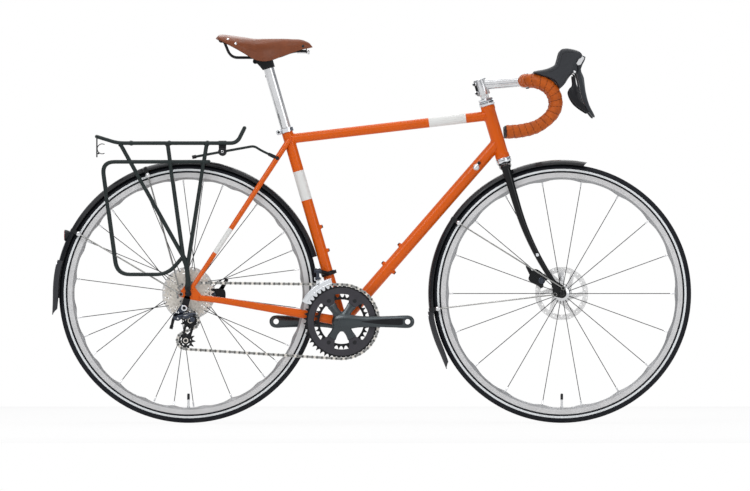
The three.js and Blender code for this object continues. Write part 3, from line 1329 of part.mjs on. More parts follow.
function makeStem() {
  const post = rod(onSteering(headTop - stem.postDepth), onSteering(clampTop - overlap), stem.postRadius);
  const clamp = rod(onSteering(clampBottom), onSteering(clampTop), stem.clampRadius);
  const extension = rod(stemStart, barCentre, stem.rearRadius, tubeSideCount, stem.frontRadius);
  const barClamp = crossRod(
    barCentre.x, barCentre.z, -stem.barClampWidth / 2, stem.barClampWidth / 2, stem.barClampRadius);
  const bolts = [stemBoltShare, 1 - stemBoltShare].map((share) => {
    const place = onSteering(THREE.MathUtils.lerp(clampBottom, clampTop, share))
      .addScaledVector(headAhead, -stem.clampRadius);
    const half = stem.boltLength / 2;
    return crossRod(place.x, place.z, -half, half, stem.boltHeadRadius, smallSideCount);
  });
  const [middleRing] = barRings(bar.radius + gap);
  const bore = loft([mirrorRing(middleRing), middleRing]);
  return cut(join(post, clamp, extension, barClamp, ...bolts), bore);
}

const stemBoltShare = 0.22;

// Handlebar: half of its route, on the right of the machine, from the middle outwards
const barHalf = [
  barCentre.clone().add(point(0, -bar.tapeStart, 0)), barCentre.clone().add(point(0, -bar.topHalf, 0)),
  ...barShares.map(([x, y, z]) => (
    barCentre.clone().add(point(x * bar.reachLength, y * bar.halfWidth, z * bar.drop)))),
];
const barRings = (radius) => routeRings(barHalf, radius, smallSideCount);
const mirrorRing = (places) => places.map((place) => point(place.x, -place.y, place.z));

function makeHandlebar() {
  const half = barRings(bar.radius);
  const end = barHalf[barHalf.length - 1];
  const out = end.clone().sub(barHalf[barHalf.length - 2]).normalize();
  const beyond = (distance, radius) => half[half.length - 1].map((place) => (
    place.clone().sub(end).multiplyScalar(radius / bar.radius).add(end).addScaledVector(out, distance)));
  half.push(
    beyond(gap, bar.radius), beyond(gap, barPlug.radius), beyond(gap + barPlug.length, barPlug.radius));
  return loft([...half.map(mirrorRing).reverse(), ...half]);
}

function makeTape() {
  const inner = barRings(bar.radius + gap);
  const outer = barRings(bar.radius + gap + tape.thickness);
  return loft([...outer, ...inner.reverse()], 'none');
}

// Right-hand lever set, about the lever pivot
const leverY = -bar.halfWidth;
const leverPivot = barCentre.clone().add(point(hood.pivotAhead, leverY, hood.pivotAbove));

function leverOutline(shares) {
  return shares.map(([x, z]) => (
    new THREE.Vector2(leverPivot.x + x * lever.length, leverPivot.z + z * lever.length)));
}

function makeHood() {
  const outline = hoodOutlineShares.map(([x, z]) => new THREE.Vector2(
    barCentre.x + x * hood.pivotAhead, barCentre.z + z * hood.pivotAbove));
  const core = plate(outline, leverY - hood.halfWidth + hood.edge, leverY + hood.halfWidth - hood.edge);
  const middle = new THREE.Vector2(
    barCentre.x + hoodCentreShare * hood.pivotAhead, barCentre.z + hoodMidShare * hood.pivotAbove);
  const slim = outline.map((place) => place.clone().lerp(middle, hoodSlimShare));
  const wide = plate(slim, leverY - hood.halfWidth, leverY + hood.halfWidth);
  const room = loft(barRings(bar.radius + tape.thickness + 2 * gap));
  const slot = plate([
    ...arc(leverPivot.x, leverPivot.z, leverRoomRadius, 0, 360, tubeSideCount).slice(1),
  ], leverY - lever.halfWidth - gap, leverY + lever.halfWidth + gap);
  const sweep = leverSweep();
  return cut(join(core, wide), room, slot, sweep);
}

// The room that the lever's root sweeps inside the hood.
function leverSweep() {
  const reach = lever.length * leverRootShare;
  const outline = [
    new THREE.Vector2(leverPivot.x, leverPivot.z),
    ...arc(leverPivot.x, leverPivot.z, reach, leverSweepStartDegrees, leverSweepEndDegrees, mechArcCount),
  ];
  return plate(outline, leverY - lever.halfWidth - gap, leverY + lever.halfWidth + gap);
}

const hoodCentreShare = 0.8;
const hoodMidShare = 0.85;
const hoodSlimShare = 0.16;
const leverRoomRadius = 22;
const leverRootShare = 0.4;
const leverSweepStartDegrees = 225;
const leverSweepEndDegrees = 360;

function makeLever() {
  return plate(leverOutline(leverOutlineShares), leverY - lever.halfWidth, leverY + lever.halfWidth);
}

function makePaddle() {
  return plate(leverOutline(paddleOutlineShares), leverY - paddle.halfWidth, leverY + paddle.halfWidth);
}

// Saddle: a leather shell on its rails
const saddleHeight = bottomBracket.z + saddle.topRise;
const saddleTail = bottomBracket.x - saddle.tailBack;
const railHeight = saddleHeight - rail.drop;
const roundShares = { side: 0.8, crown: 0.75 };

function saddleRow(share, inset) {
  const at = (values) => piecewise(saddleStationShares, values, share);
  const half = saddle.width / 2 * at(saddleWidthShares) - inset;
  const lift = Math.max(at(saddleHeightShares), 0) * saddle.tailRise
    + Math.min(at(saddleHeightShares), 0) * saddle.noseDrop;
  const top = saddleHeight + lift - inset;
  const bottom = saddleHeight + lift - saddle.skirtDepth * at(saddleSkirtShares);
  const x = saddleTail + saddle.length * share;
  return Array.from({ length: saddleArcCount + 1 }, (_, k) => {
    const angle = Math.PI * (k / saddleArcCount - 0.5);
    const wide = Math.sign(Math.sin(angle)) * Math.abs(Math.sin(angle)) ** roundShares.side;
    const high = Math.max(0, Math.cos(angle)) ** roundShares.crown;
    const pull = 1 - saddleDrawShare * (1 - high) ** 2;
    return point(x, half * wide * pull, bottom + (top - bottom) * high);
  });
}

const saddleDrawShare = 0.07;

function makeSaddleTop() {
  return loft(saddleStationShares.map((station) => [
    ...saddleRow(station, 0), ...saddleRow(station, saddle.thickness).reverse(),
  ]), 'strip');
}

function makeSaddleFrame() {
  const rear = saddleTail + saddle.length * cantleShare;
  const nose = saddleTail + saddle.length * noseShare;
  const cantleTop = Math.max(...saddleRow(cantleShare, saddle.thickness).map((place) => place.z));
  const straight = saddleClamp.length / 2 + railBend;
  const railRoute = (side) => roundedRoute([
    point(rear + cantle.thickness / 2, side * rail.rearHalf, cantleTop - cantle.depth * railSeatShare),
    point(rear + railDropAhead, side * rail.rearHalf, railHeight),
    point(saddleMiddle - straight, side * rail.cradleY, railHeight),
    point(saddleMiddle + straight, side * rail.cradleY, railHeight),
    point(saddleTail + saddle.length * railNoseShare, side * rail.noseHalf, noseHeight),
    point(nose + cantle.thickness / 2, side * rail.noseHalf, noseHeight),
  ], railBend, 1);
  return join(
    saddlePlate(cantleShare, cantle.depth), saddlePlate(noseShare, cantle.noseDepth),
    ...[-1, 1].map((side) => sweptRod(railRoute(side), rail.radius)));
}

// A plate across the saddle that follows the underside of its leather.
function saddlePlate(share, depth) {
  return loft([0, cantle.thickness].map((x) => {
    const row = saddleRow(share + x / saddle.length, saddle.thickness + gap);
    const upper = row.slice(cantleSkipCount, row.length - cantleSkipCount);
    const lower = upper.map((place) => point(place.x, place.y, place.z - depth)).reverse();
    return [...upper, ...lower];
  }), 'strip');
}

const cantleShare = 0.067;
const noseShare = 0.93;
const cantleSkipCount = 2;
const railSeatShare = 0.6;
const railDropAhead = 22;
const railNoseShare = 0.8;
const railBend = 12;
const noseHeight = saddleHeight - cantle.noseDrop;
const postTopHeight = (railHeight - saddleClamp.cover - bottomBracket.z) / seatUp.z;
const saddleMiddle = onSeatTube(postTopHeight).x - saddleClamp.setback;

function makeSaddleClamp() {
  const c = saddleClamp;
  const block = new THREE.BoxGeometry(c.length, c.width, c.below + c.above);
  block.translate(saddleMiddle, 0, railHeight + (c.above - c.below) / 2);
  const collar = rod(onSeatTube(postTopHeight - c.collarLength), onSeatTube(postTopHeight), c.collarRadius);
  const rails = [-1, 1].map((side) => sweptRod([
    point(saddleMiddle - c.length, side * rail.cradleY, railHeight),
    point(saddleMiddle + c.length, side * rail.cradleY, railHeight)], boreFor(rail.radius, rodSideCount)));
  const post = rod(
    onSeatTube(postTopHeight - overrun), onSeatTube(postTopHeight + gap), seatpost.radius + gap);
  return cut(join(block, collar), post, ...rails);
}

function makeSeatpost() {
  const bottom = seatTube.length * seatpost.bottomShare;
  return rod(onSeatTube(bottom), onSeatTube(postTopHeight), seatpost.radius);
}

// Mudguards, about their wheel's axle
function guardRing(degrees) {
  const angle = radians(degrees);
  const out = point(Math.cos(angle), 0, Math.sin(angle));
  const row = (inset) => guardSectionShares.map(([y, fall]) => (
    point(0, y * (guard.halfWidth - inset), 0)
      .addScaledVector(out, guard.radius - inset - guard.sideRise * fall)));
  return [...row(0), ...row(guard.thickness).reverse()];
}

const guardSteps = (ends) => Math.round((ends.rearDegrees - ends.frontDegrees) / guardStepDegrees);

function makeGuard(ends, stays) {
  const count = guardSteps(ends);
  const angles = Array.from({ length: count + 1 }, (_, k) => (
    ends.frontDegrees + (ends.rearDegrees - ends.frontDegrees) * k / count));
  const blade = loft(angles.map((degrees) => guardRing(degrees)), 'strip');
  const end = radians(ends.rearDegrees);
  const out = point(Math.cos(end), 0, Math.sin(end));
  const down = point(-out.z, 0, out.x);
  const flapRing = (share) => {
    const base = out.clone().multiplyScalar(guard.radius - guard.thickness)
      .addScaledVector(down, flap.length * share)
      .addScaledVector(out, flap.curl * Math.max(0, share));
    const half = THREE.MathUtils.lerp(guard.halfWidth * flapRootShare, flap.halfWidth, Math.max(share, 0));
    return ring(base, sideways, out, half, flap.thickness, smallSideCount);
  };
  return join(blade, loft(flapShares.map(flapRing)), ...stays);
}

const flapRootShare = 0.8;
const flapShares = [-0.25, 0.5, 1];

// One stay: a wire on each side from its bolt on the dropout to a clamp at the guard's edge. A knee
// keeps it clear of what stands beside the hub.
function guardStayPieces(degrees, eyelet, boltFace, kneeRadius) {
  const angle = radians(degrees);
  const edge = point(Math.cos(angle), 0, Math.sin(angle)).multiplyScalar(guard.radius - guard.sideRise);
  const wireY = boltFace + gap + guardStay.headLength + guardStay.radius;
  return [-1, 1].flatMap((side) => {
    const foot = point(eyelet.x, side * wireY, eyelet.z);
    const high = edge.clone().add(point(0, side * guard.halfWidth, 0));
    const knee = foot.clone().lerp(point(edge.x, foot.y, edge.z), kneeRadius / guard.radius);
    const wire = kneeRadius > 0 ? [foot, knee, high] : [foot, high];
    const bolt = crossRod(
      eyelet.x, eyelet.z, side * (boltFace + gap), side * (wireY + guardStay.radius), guardStay.boltRadius,
      rodSideCount);
    const clamp = crossRod(
      edge.x, edge.z, side * (guard.halfWidth - guardStay.clampInset),
      side * (guard.halfWidth + guardStay.clampInset), guardStay.clampRadius, rodSideCount);
    return [sweptRod(wire, guardStay.radius, wireSideCount), bolt, clamp];
  });
}

function makeFrontGuard() {
  const eyelets = [
    point(frontEyelet.ahead, 0, frontEyelet.up), point(-frontEyelet.back, 0, -frontEyelet.down),
  ];
  return makeGuard(frontGuard, frontStayDegrees.flatMap((degrees, k) => (
    guardStayPieces(degrees, eyelets[k], frontOuter, guardStay.kneeRadius))));
}

function makeRearGuard() {
  const eyelet = point(-guardEyelet.back, 0, -guardEyelet.down);
  const whole = makeGuard(rearGuard, rearStayDegrees.flatMap((degrees) => (
    guardStayPieces(degrees, eyelet, rearOuter, 0))));
  return cut(whole, seatTubeSkin.clone().translate(-rearAxle.x, 0, -rearAxle.z));
}

// The reflector sits flat on the middle of one facet of the rear mudguard's crown.
function makeReflector() {
  const step = radians((rearGuard.rearDegrees - rearGuard.frontDegrees) / guardSteps(rearGuard));
  const angle = radians(rearGuard.rearDegrees) - reflector.stepCount * step;
  const out = point(Math.cos(angle), 0, Math.sin(angle));
  const crown = (guard.radius - guard.sideRise * guardCrownShare) * Math.cos(step / 2);
  const start = out.clone().multiplyScalar(crown + gap);
  return rod(start, start.clone().addScaledVector(out, reflector.depth), reflector.radius, tubeSideCount);
}

// Rear rack, in the machine's own frame. Its side frames lean outwards from the deck to the feet.
const deckHeight = rearAxle.z + guard.radius + rack.deckRoom;
const rackRailHeight = deckHeight - rack.railDrop;
const rackJointHeight = rearAxle.z + rack.jointRise;

function rackSide(height) {
  const share = (deckHeight - height) / (deckHeight - rackJointHeight);
  return THREE.MathUtils.lerp(rack.deckHalf, rack.sideHalf, Math.max(share, 0));
}

function rackDeck(at) {
  const tail = -rack.deckRear - rack.tailLength;
  const hook = rack.deckFront + rack.hookLength;
  const [tailHeight, hookHeight] = [deckHeight + rack.tailRise, deckHeight + rack.hookRise];
  const route = roundedRoute([
    point(tail, 0, tailHeight), at(tail, tailHeight), at(-rack.deckRear, deckHeight),
    at(rack.deckFront, deckHeight), at(hook, hookHeight), point(hook, 0, hookHeight),
  ], rack.cornerRadius / 2);
  return sweptRod(route, rack.rodRadius, rackSideCount);
}

function rackLoop(at, joint) {
  const low = rearAxle.z + rack.loopRise;
  const route = roundedRoute([
    at(rack.railFront, rackRailHeight), at(-rack.railRear - rack.cornerRadius, rackRailHeight),
    at(-rack.loopRear, low), at(-rack.loopInner, low), joint,
  ], rack.cornerRadius);
  return sweptRod(route, rack.rodRadius, rackSideCount);
}

function rackSidePieces(side) {
  const at = (x, z) => point(x, side * rackSide(z), z);
  const joint = at(-rack.jointBack, rackJointHeight);
  const struts = rackStrutShares.map((share) => (
    rod(at(alongDeck(share), deckHeight), joint, rack.rodRadius, rackSideCount)));
  const foot = strap(joint.x, joint.z, rack.footRadius, rackFoot.x, rackFoot.z, rack.footRadius);
  const [low, high] = side < 0 ? [-rackFootOuter, -rackFootInner] : [rackFootInner, rackFootOuter];
  const stay = [
    at(rack.railFront - rack.cornerRadius / 2, rackRailHeight),
    point(rackStay.kneeAhead, side * rackStay.half, deckHeight - rackStay.kneeDrop), rackStayTip(side),
  ];
  return [
    rackDeck(at), rackLoop(at, joint), ...struts, plate(foot, low, high),
    sweptRod(stay, rackStay.radius, wireSideCount),
  ];
}

const alongDeck = (share) => THREE.MathUtils.lerp(-rack.deckRear, rack.deckFront, share);

function makeRack() {
  const pieces = [-1, 1].flatMap(rackSidePieces);
  for (const share of rackCrossShares) {
    pieces.push(crossRod(
      alongDeck(share), deckHeight, -rack.deckHalf, rack.deckHalf, rack.rodRadius, rackSideCount));
  }
  const bracket = new THREE.BoxGeometry(lampBracket.thickness, 2 * lampBracket.halfWidth, lampBracket.length);
  bracket.translate(
    -rack.deckRear - rack.tailLength, 0, deckHeight + rack.tailRise - lampBracket.length / 2);
  return cut(join(...pieces, bracket), ...[-1, 1].map((side) => seatStaySkin(side)));
}

// The rack's upper stay runs into the side of the seat stay and stops at its skin.
const rackStayTip = (side) => onSeatStay(rackStay.alongShare, side);
const rackFootInner = rearOuter + gap;
const rackFootOuter = rackFootInner + rack.footThickness;

// Disc brakes, about the wheel's axle, with the caliper pointing along an angle
function makeCaliper(degrees, y, outboard, skin) {
  const angle = radians(degrees);
  const out = point(Math.cos(angle), 0, Math.sin(angle));
  const along = point(-out.z, 0, out.x);
  const corner = (radial, tangential) => {
    const place = origin.clone().addScaledVector(out, radial).addScaledVector(along, tangential);
    return new THREE.Vector2(place.x, place.z);
  };
  const c = caliper;
  const outline = [
    corner(c.inner, -c.halfWidth), corner(c.outer - c.corner, -c.halfWidth),
    corner(c.outer, -c.halfWidth + c.corner), corner(c.outer, c.halfWidth - c.corner),
    corner(c.outer - c.corner, c.halfWidth), corner(c.inner, c.halfWidth),
  ];
  const body = plate(outline, y - c.inboard, y + outboard);
  const slot = plate(circle(0, 0, rotor.radius + c.slotHalf, rotorRimCount), y - c.slotHalf, y + c.slotHalf);
  return cut(body, slot, skin);
}

function makeCaliperArm(degrees, y, outboard, armDegrees) {
  const pivot = caliperPivot(degrees);
  const tip = radians(armDegrees);
  const low = y + outboard + gap;
  return plate(strap(
    pivot.x, pivot.z, caliper.pivotRadius, pivot.x + caliper.armLength * Math.cos(tip),
    pivot.z + caliper.armLength * Math.sin(tip), caliper.tipRadius), low, low + caliper.armThickness);
}

function caliperPivot(degrees) {
  const angle = radians(degrees);
  const out = point(Math.cos(angle), 0, Math.sin(angle));
  const along = point(-out.z, 0, out.x);
  return out.clone().multiplyScalar(caliper.pivotReach).addScaledVector(along, caliper.pivotShift);
}

const frontArmDegrees = 118;
const rearArmDegrees = 60;

function frontEnd() {
  const wheel = group(
    frontAxle,
    mesh('front_tyre', makeTyre(), rubber), mesh('front_rim', makeRim(), silver),
    mesh('front_hub', makeFrontHub(), silver),
    mesh('front_axle', makeAxle(frontDropoutWidth / 2, frontOuter), darkMetal),
    mesh('front_quick_release', makeReleaseLever(frontOuter), silver),
    mesh('front_mudguard', makeFrontGuard(), blackPlastic),
    mesh('front_caliper', makeCaliper(
      frontCaliperDegrees, rotorYFront, caliper.outboard,
      makeBlade(1, gap).translate(-frontAxle.x, 0, -frontAxle.z)), blackPaint),
    mesh('front_caliper_arm',
      makeCaliperArm(frontCaliperDegrees, rotorYFront, caliper.outboard, frontArmDegrees), darkMetal),
  );
  const levers = [['right', (shape) => shape], ['left', mirror]].flatMap(([side, place]) => [
    mesh(`bar_tape_${side}`, place(makeTape()), tapeBrown),
    mesh(`lever_hood_${side}`, place(makeHood()), rubber),
    mesh(`brake_lever_${side}`, place(makeLever()), darkMetal),
    mesh(`shift_lever_${side}`, place(makePaddle()), darkMetal),
  ]);
  return group(
    origin,
    wheel, mesh('fork', makeFork(), blackPaint), mesh('headset_locknut', makeLocknut(), chrome),
    mesh('stem', makeStem(), silver), mesh('handlebar', makeHandlebar(), silver), ...levers);
}

function rearEnd() {
  return group(
    rearAxle,
    mesh('rear_tyre', makeTyre(), rubber), mesh('rear_rim', makeRim(), silver),
    mesh('rear_hub', makeRearHub(), silver), mesh('cassette', makeCassette(), silver),
    mesh('rear_axle', makeAxle(rearDropoutWidth / 2, rearOuter), darkMetal),
    mesh('rear_quick_release', makeReleaseLever(rearOuter), silver),
    mesh('rear_mudguard', makeRearGuard(), blackPlastic),
    mesh('rear_reflector', makeReflector(), blackPlastic),
    mesh('rear_caliper', makeCaliper(
      rearCaliperDegrees, rotorYRear, rearCaliperOutboard,
      loft(chainStayRings(1, gap)).translate(-rearAxle.x, 0, -rearAxle.z)), blackPaint),
    mesh('rear_caliper_arm',
      makeCaliperArm(rearCaliperDegrees, rotorYRear, rearCaliperOutboard, rearArmDegrees), darkMetal),
  );
}

function cranks() {
  return group(
    bottomBracket,
    mesh('right_crank', makeRightCrank(), darkMetal), mesh('left_crank', makeLeftCrank(), darkMetal),
    mesh('large_chainring', makeChainring(largeRing, wheelPhase(0)), darkMetal),
    mesh('small_chainring', makeChainring(smallRing, 0), darkMetal),
    mesh('bottom_bracket', makeBottomBracketCups(), blackPaint));
}

function derailleurs() {
  return group(
    origin,
    mesh('rear_derailleur_body', makeDerailleurBody(), blackPaint),
    mesh('rear_derailleur_link', makeDerailleurLink(), darkMetal),
    mesh('rear_derailleur_knuckle', makeDerailleurKnuckle(), blackPaint),
    mesh('rear_derailleur_cage', makeDerailleurCage(), darkMetal),
    group(guidePulley, mesh('guide_pulley', makePulley(2), blackPlastic)),
    group(tensionPulley, mesh('tension_pulley', makePulley(3), blackPlastic)),
    mesh('front_derailleur_band', makeMechBand(), blackPaint),
    mesh('front_derailleur_link', makeMechLink(), silver),
    mesh('front_derailleur_cage', makeMechCage(), silver),
    mesh('chain', makeChain(), silver));
}

function frame() {
  return group(
    origin,
    mesh('head_tube', makeHeadTube(), orange), mesh('top_tube', makeTopTube(), orange),
    mesh('down_tube', makeDownTube(), orange), mesh('seat_tube', makeSeatTube(), orange),
    mesh('stays_right', makeStays(-1), orange), mesh('stays_left', makeStays(1), orange),
    mesh('seat_clamp', makeSeatClamp(), chrome),
    mesh('headset_upper_cup', makeHeadsetCup(headTop, 1, headset.upperHeight), chrome),
    mesh('headset_lower_cup', makeHeadsetCup(headBottom, -1, headset.lowerHeight), chrome),
    mesh('rack', makeRack(), rackPaint));
}

function seat() {
  return group(
    origin,
    mesh('seatpost', makeSeatpost(), chrome), mesh('saddle_clamp', makeSaddleClamp(), blackPaint),
    mesh('saddle_frame', makeSaddleFrame(), blackPaint), mesh('saddle_top', makeSaddleTop(), leather));
}

const bicycle = group(origin, frame(), seat(), rearEnd(), cranks(), derailleurs(), frontEnd());
bicycle.position.x = -new THREE.Box3().setFromObject(bicycle, true).getCenter(point(0, 0, 0)).x;

export default bicycle;
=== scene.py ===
"""Looks of a drop-bar touring bicycle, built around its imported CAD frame.

Pieces are made in millimetres, with X from the rear axle, Y to the rider's left and Z from the
ground, as the part's source has them. A right-hand piece has a negative Y.
"""
import json
import math

import bmesh
import bpy
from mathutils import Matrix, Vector
from mathutils.geometry import tessellate_polygon


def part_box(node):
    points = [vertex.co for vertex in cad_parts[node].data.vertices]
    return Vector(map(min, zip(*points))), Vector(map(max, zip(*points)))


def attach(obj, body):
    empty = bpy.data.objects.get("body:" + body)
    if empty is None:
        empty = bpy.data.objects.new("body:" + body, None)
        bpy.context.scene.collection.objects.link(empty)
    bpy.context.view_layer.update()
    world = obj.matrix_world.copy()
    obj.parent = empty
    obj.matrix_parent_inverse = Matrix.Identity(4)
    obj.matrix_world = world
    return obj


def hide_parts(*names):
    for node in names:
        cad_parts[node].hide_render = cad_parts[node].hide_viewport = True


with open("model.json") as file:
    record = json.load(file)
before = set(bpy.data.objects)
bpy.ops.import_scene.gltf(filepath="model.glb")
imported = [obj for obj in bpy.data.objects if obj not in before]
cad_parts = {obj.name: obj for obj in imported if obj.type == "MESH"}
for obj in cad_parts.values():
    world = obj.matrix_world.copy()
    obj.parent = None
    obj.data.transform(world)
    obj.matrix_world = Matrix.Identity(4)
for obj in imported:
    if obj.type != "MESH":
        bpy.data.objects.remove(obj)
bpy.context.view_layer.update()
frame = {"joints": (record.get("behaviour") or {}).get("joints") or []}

MM = 0.001
ACROSS = Vector((0, 1, 0))
UP = Vector((0, 0, 1))
AHEAD = Vector((1, 0, 0))
SIDES = (-1, 1)

joints = {joint["name"]: joint for joint in frame["joints"]}
SHIFT = Vector((joints["rear_wheel_spin"]["pos_m"][0] / MM, 0, 0))


def lerp(a, b, share):
    return a + (b - a) * share


def at(x, y, z):
    return Vector((x, y, z))


def joint_place(name):
    """A joint's place in the machine's own millimetres."""
    return Vector(joints[name]["pos_m"]) / MM - SHIFT


# Shapes in the side view, as (x, z) pairs


def arc(x, z, radius, start, end, count):
    """Points on an arc about (x, z), in degrees."""
    angles = [math.radians(lerp(start, end, k / count)) for k in range(count + 1)]
    return [(x + radius * math.cos(a), z + radius * math.sin(a)) for a in angles]


def circle(x, z, radius, count=24):
    return arc(x, z, radius, 0, 360, count)[1:]


def polar(radius, degrees):
    return (radius * math.cos(math.radians(degrees)), radius * math.sin(math.radians(degrees)))


def full_turn(count, shift=0.0):
    """Angles spread evenly round a circle."""
    return [2 * math.pi * (k + shift) / count for k in range(count)]


def depths(side, near, far):
    """Two depths on one side of the machine, the lower first."""
    return sorted((side * near, side * far))


def beside(place, y):
    """The same place in the side view, at another depth."""
    return at(place.x, y, place.z)


def disc(place, radius):
    return place.x, place.z, radius


def through(middle, axis, *reaches):
    """Both ends of a pin, or the rows of one whose ends are softened."""
    return [middle - axis * r for r in reaches] + [middle + axis * r for r in reaches[::-1]]


def drum(radius, low, high):
    return [(0, low), (radius, low), (radius, high), (0, high)]


def strap(ax, az, a_radius, bx, bz, b_radius, count=10):
    """The outline of two discs and the straight flanks that join them."""
    turn = math.degrees(math.atan2(bz - az, bx - ax))
    lean = math.degrees(math.acos((a_radius - b_radius) / math.hypot(bx - ax, bz - az)))
    return (arc(ax, az, a_radius, turn + lean, turn + 360 - lean, count)
            + arc(bx, bz, b_radius, turn - lean, turn + lean, count))


def wrapped(discs, count=28):
    """The outline of a taut string round several discs."""
    places = sorted(p for x, z, radius in discs for p in circle(x, z, radius, count))

    def chain(row):
        kept = []
        for p in row:
            while len(kept) > 1:
                (ax, az), (bx, bz) = kept[-2:]
                if (bx - ax) * (p[1] - az) - (bz - az) * (p[0] - ax) > 0:
                    break
                kept.pop()
            kept.append(p)
        return kept[:-1]

    return chain(places) + chain(places[::-1])


def smooth(points, steps=6, closed=False):
    """A curve through the points, with a few steps between each pair."""
    count = len(points)

    def pick(k):
        return Vector(points[k % count] if closed else points[min(max(k, 0), count - 1)])

    route = []
    for k in range(count if closed else count - 1):
        a, b, c, d = (pick(k + n) for n in (-1, 0, 1, 2))
        for step in range(steps):
            t = step / steps
            bend = a * 2 - b * 5 + c * 4 - d + (b * 3 - c * 3 + d - a) * t
            route.append(b + ((c - a) + bend * t) * (t / 2))
    return route if closed else route + [pick(count - 1)]


def loop_through(points, steps=5):
    return [tuple(p) for p in smooth(points, steps, closed=True)]


def steps_from(place, *steps):
    """Points in the side view, each a step from a place."""
    return [(place.x + x, place.z + z) for x, z in steps]


def rounded(points, radius, steps=8):
    """A route of straight stretches with its inner corners rounded."""
    route = [points[0]]
    for before, here, after in zip(points, points[1:], points[2:]):
        reach = min(radius, (before - here).length / 2, (after - here).length / 2)
        start = here + (before - here).normalized() * reach
        end = here + (after - here).normalized() * reach
        for k in range(steps + 1):
            t = k / steps
            route.append(start * (1 - t) ** 2 + here * (2 * t * (1 - t)) + end * t ** 2)
    return route + [points[-1]]


def piecewise(places, values, x):
    k = next((n for n in range(1, len(places) - 1) if places[n] >= x), len(places) - 1)
    share = (x - places[k - 1]) / (places[k] - places[k - 1])
    return lerp(values[k - 1], values[k], min(max(share, 0), 1))


def eased(share):
    share = min(max(share, 0), 1)
    return share * share * (3 - 2 * share)


def meet(place, heading, foot, axis, radius):
    """Where a line that comes from outside first meets a round tube."""
    flat = heading - axis * heading.dot(axis)
    off = (place - foot) - axis * (place - foot).dot(axis)
    a, b, c = flat.dot(flat), 2 * off.dot(flat), off.dot(off) - radius ** 2
    spread = max(b * b - 4 * a * c, 0)
    return place + heading * ((-b - math.sqrt(spread)) / (2 * a))


def pitch_radius(teeth):
    return CHAIN_PITCH / (2 * math.sin(math.pi / teeth))


def toothed(teeth, phase=0, root=5.2, tip=3.3):
    """The outline of a chain wheel, with its valleys on the pitch circle's pins."""
    pitch = pitch_radius(teeth)
    shape = ((-0.22, -3.6), (0, -root), (0.22, -3.6), (0.36, 0.4), (0.45, tip), (0.55, tip), (0.64, 0.4))
    return [
        ((pitch + rise) * math.cos(a), (pitch + rise) * math.sin(a))
        for k in range(teeth) for share, rise in shape
        for a in [math.radians(phase) + 2 * math.pi * (k + share) / teeth]]


# Pieces


def side_view(u, v, depth):
    return Vector((u, depth, v))


def about(foot, u_axis, v_axis, depth_axis):
    """Puts an outline in a plane of its own."""
    return lambda u, v, depth: foot + u_axis * u + v_axis * v + depth_axis * depth


def placed(name, data):
    """A new object in the scene."""
    thing = bpy.data.objects.new(name, data)
    bpy.context.scene.collection.objects.link(thing)
    return thing


def cleaned(mesh):
    """Joins the points that meet and turns the faces outwards."""
    work = bmesh.new()
    work.from_mesh(mesh)
    bmesh.ops.remove_doubles(work, verts=work.verts, dist=1e-7)
    bmesh.ops.recalc_face_normals(work, faces=work.faces)
    work.to_mesh(mesh)
    work.free()


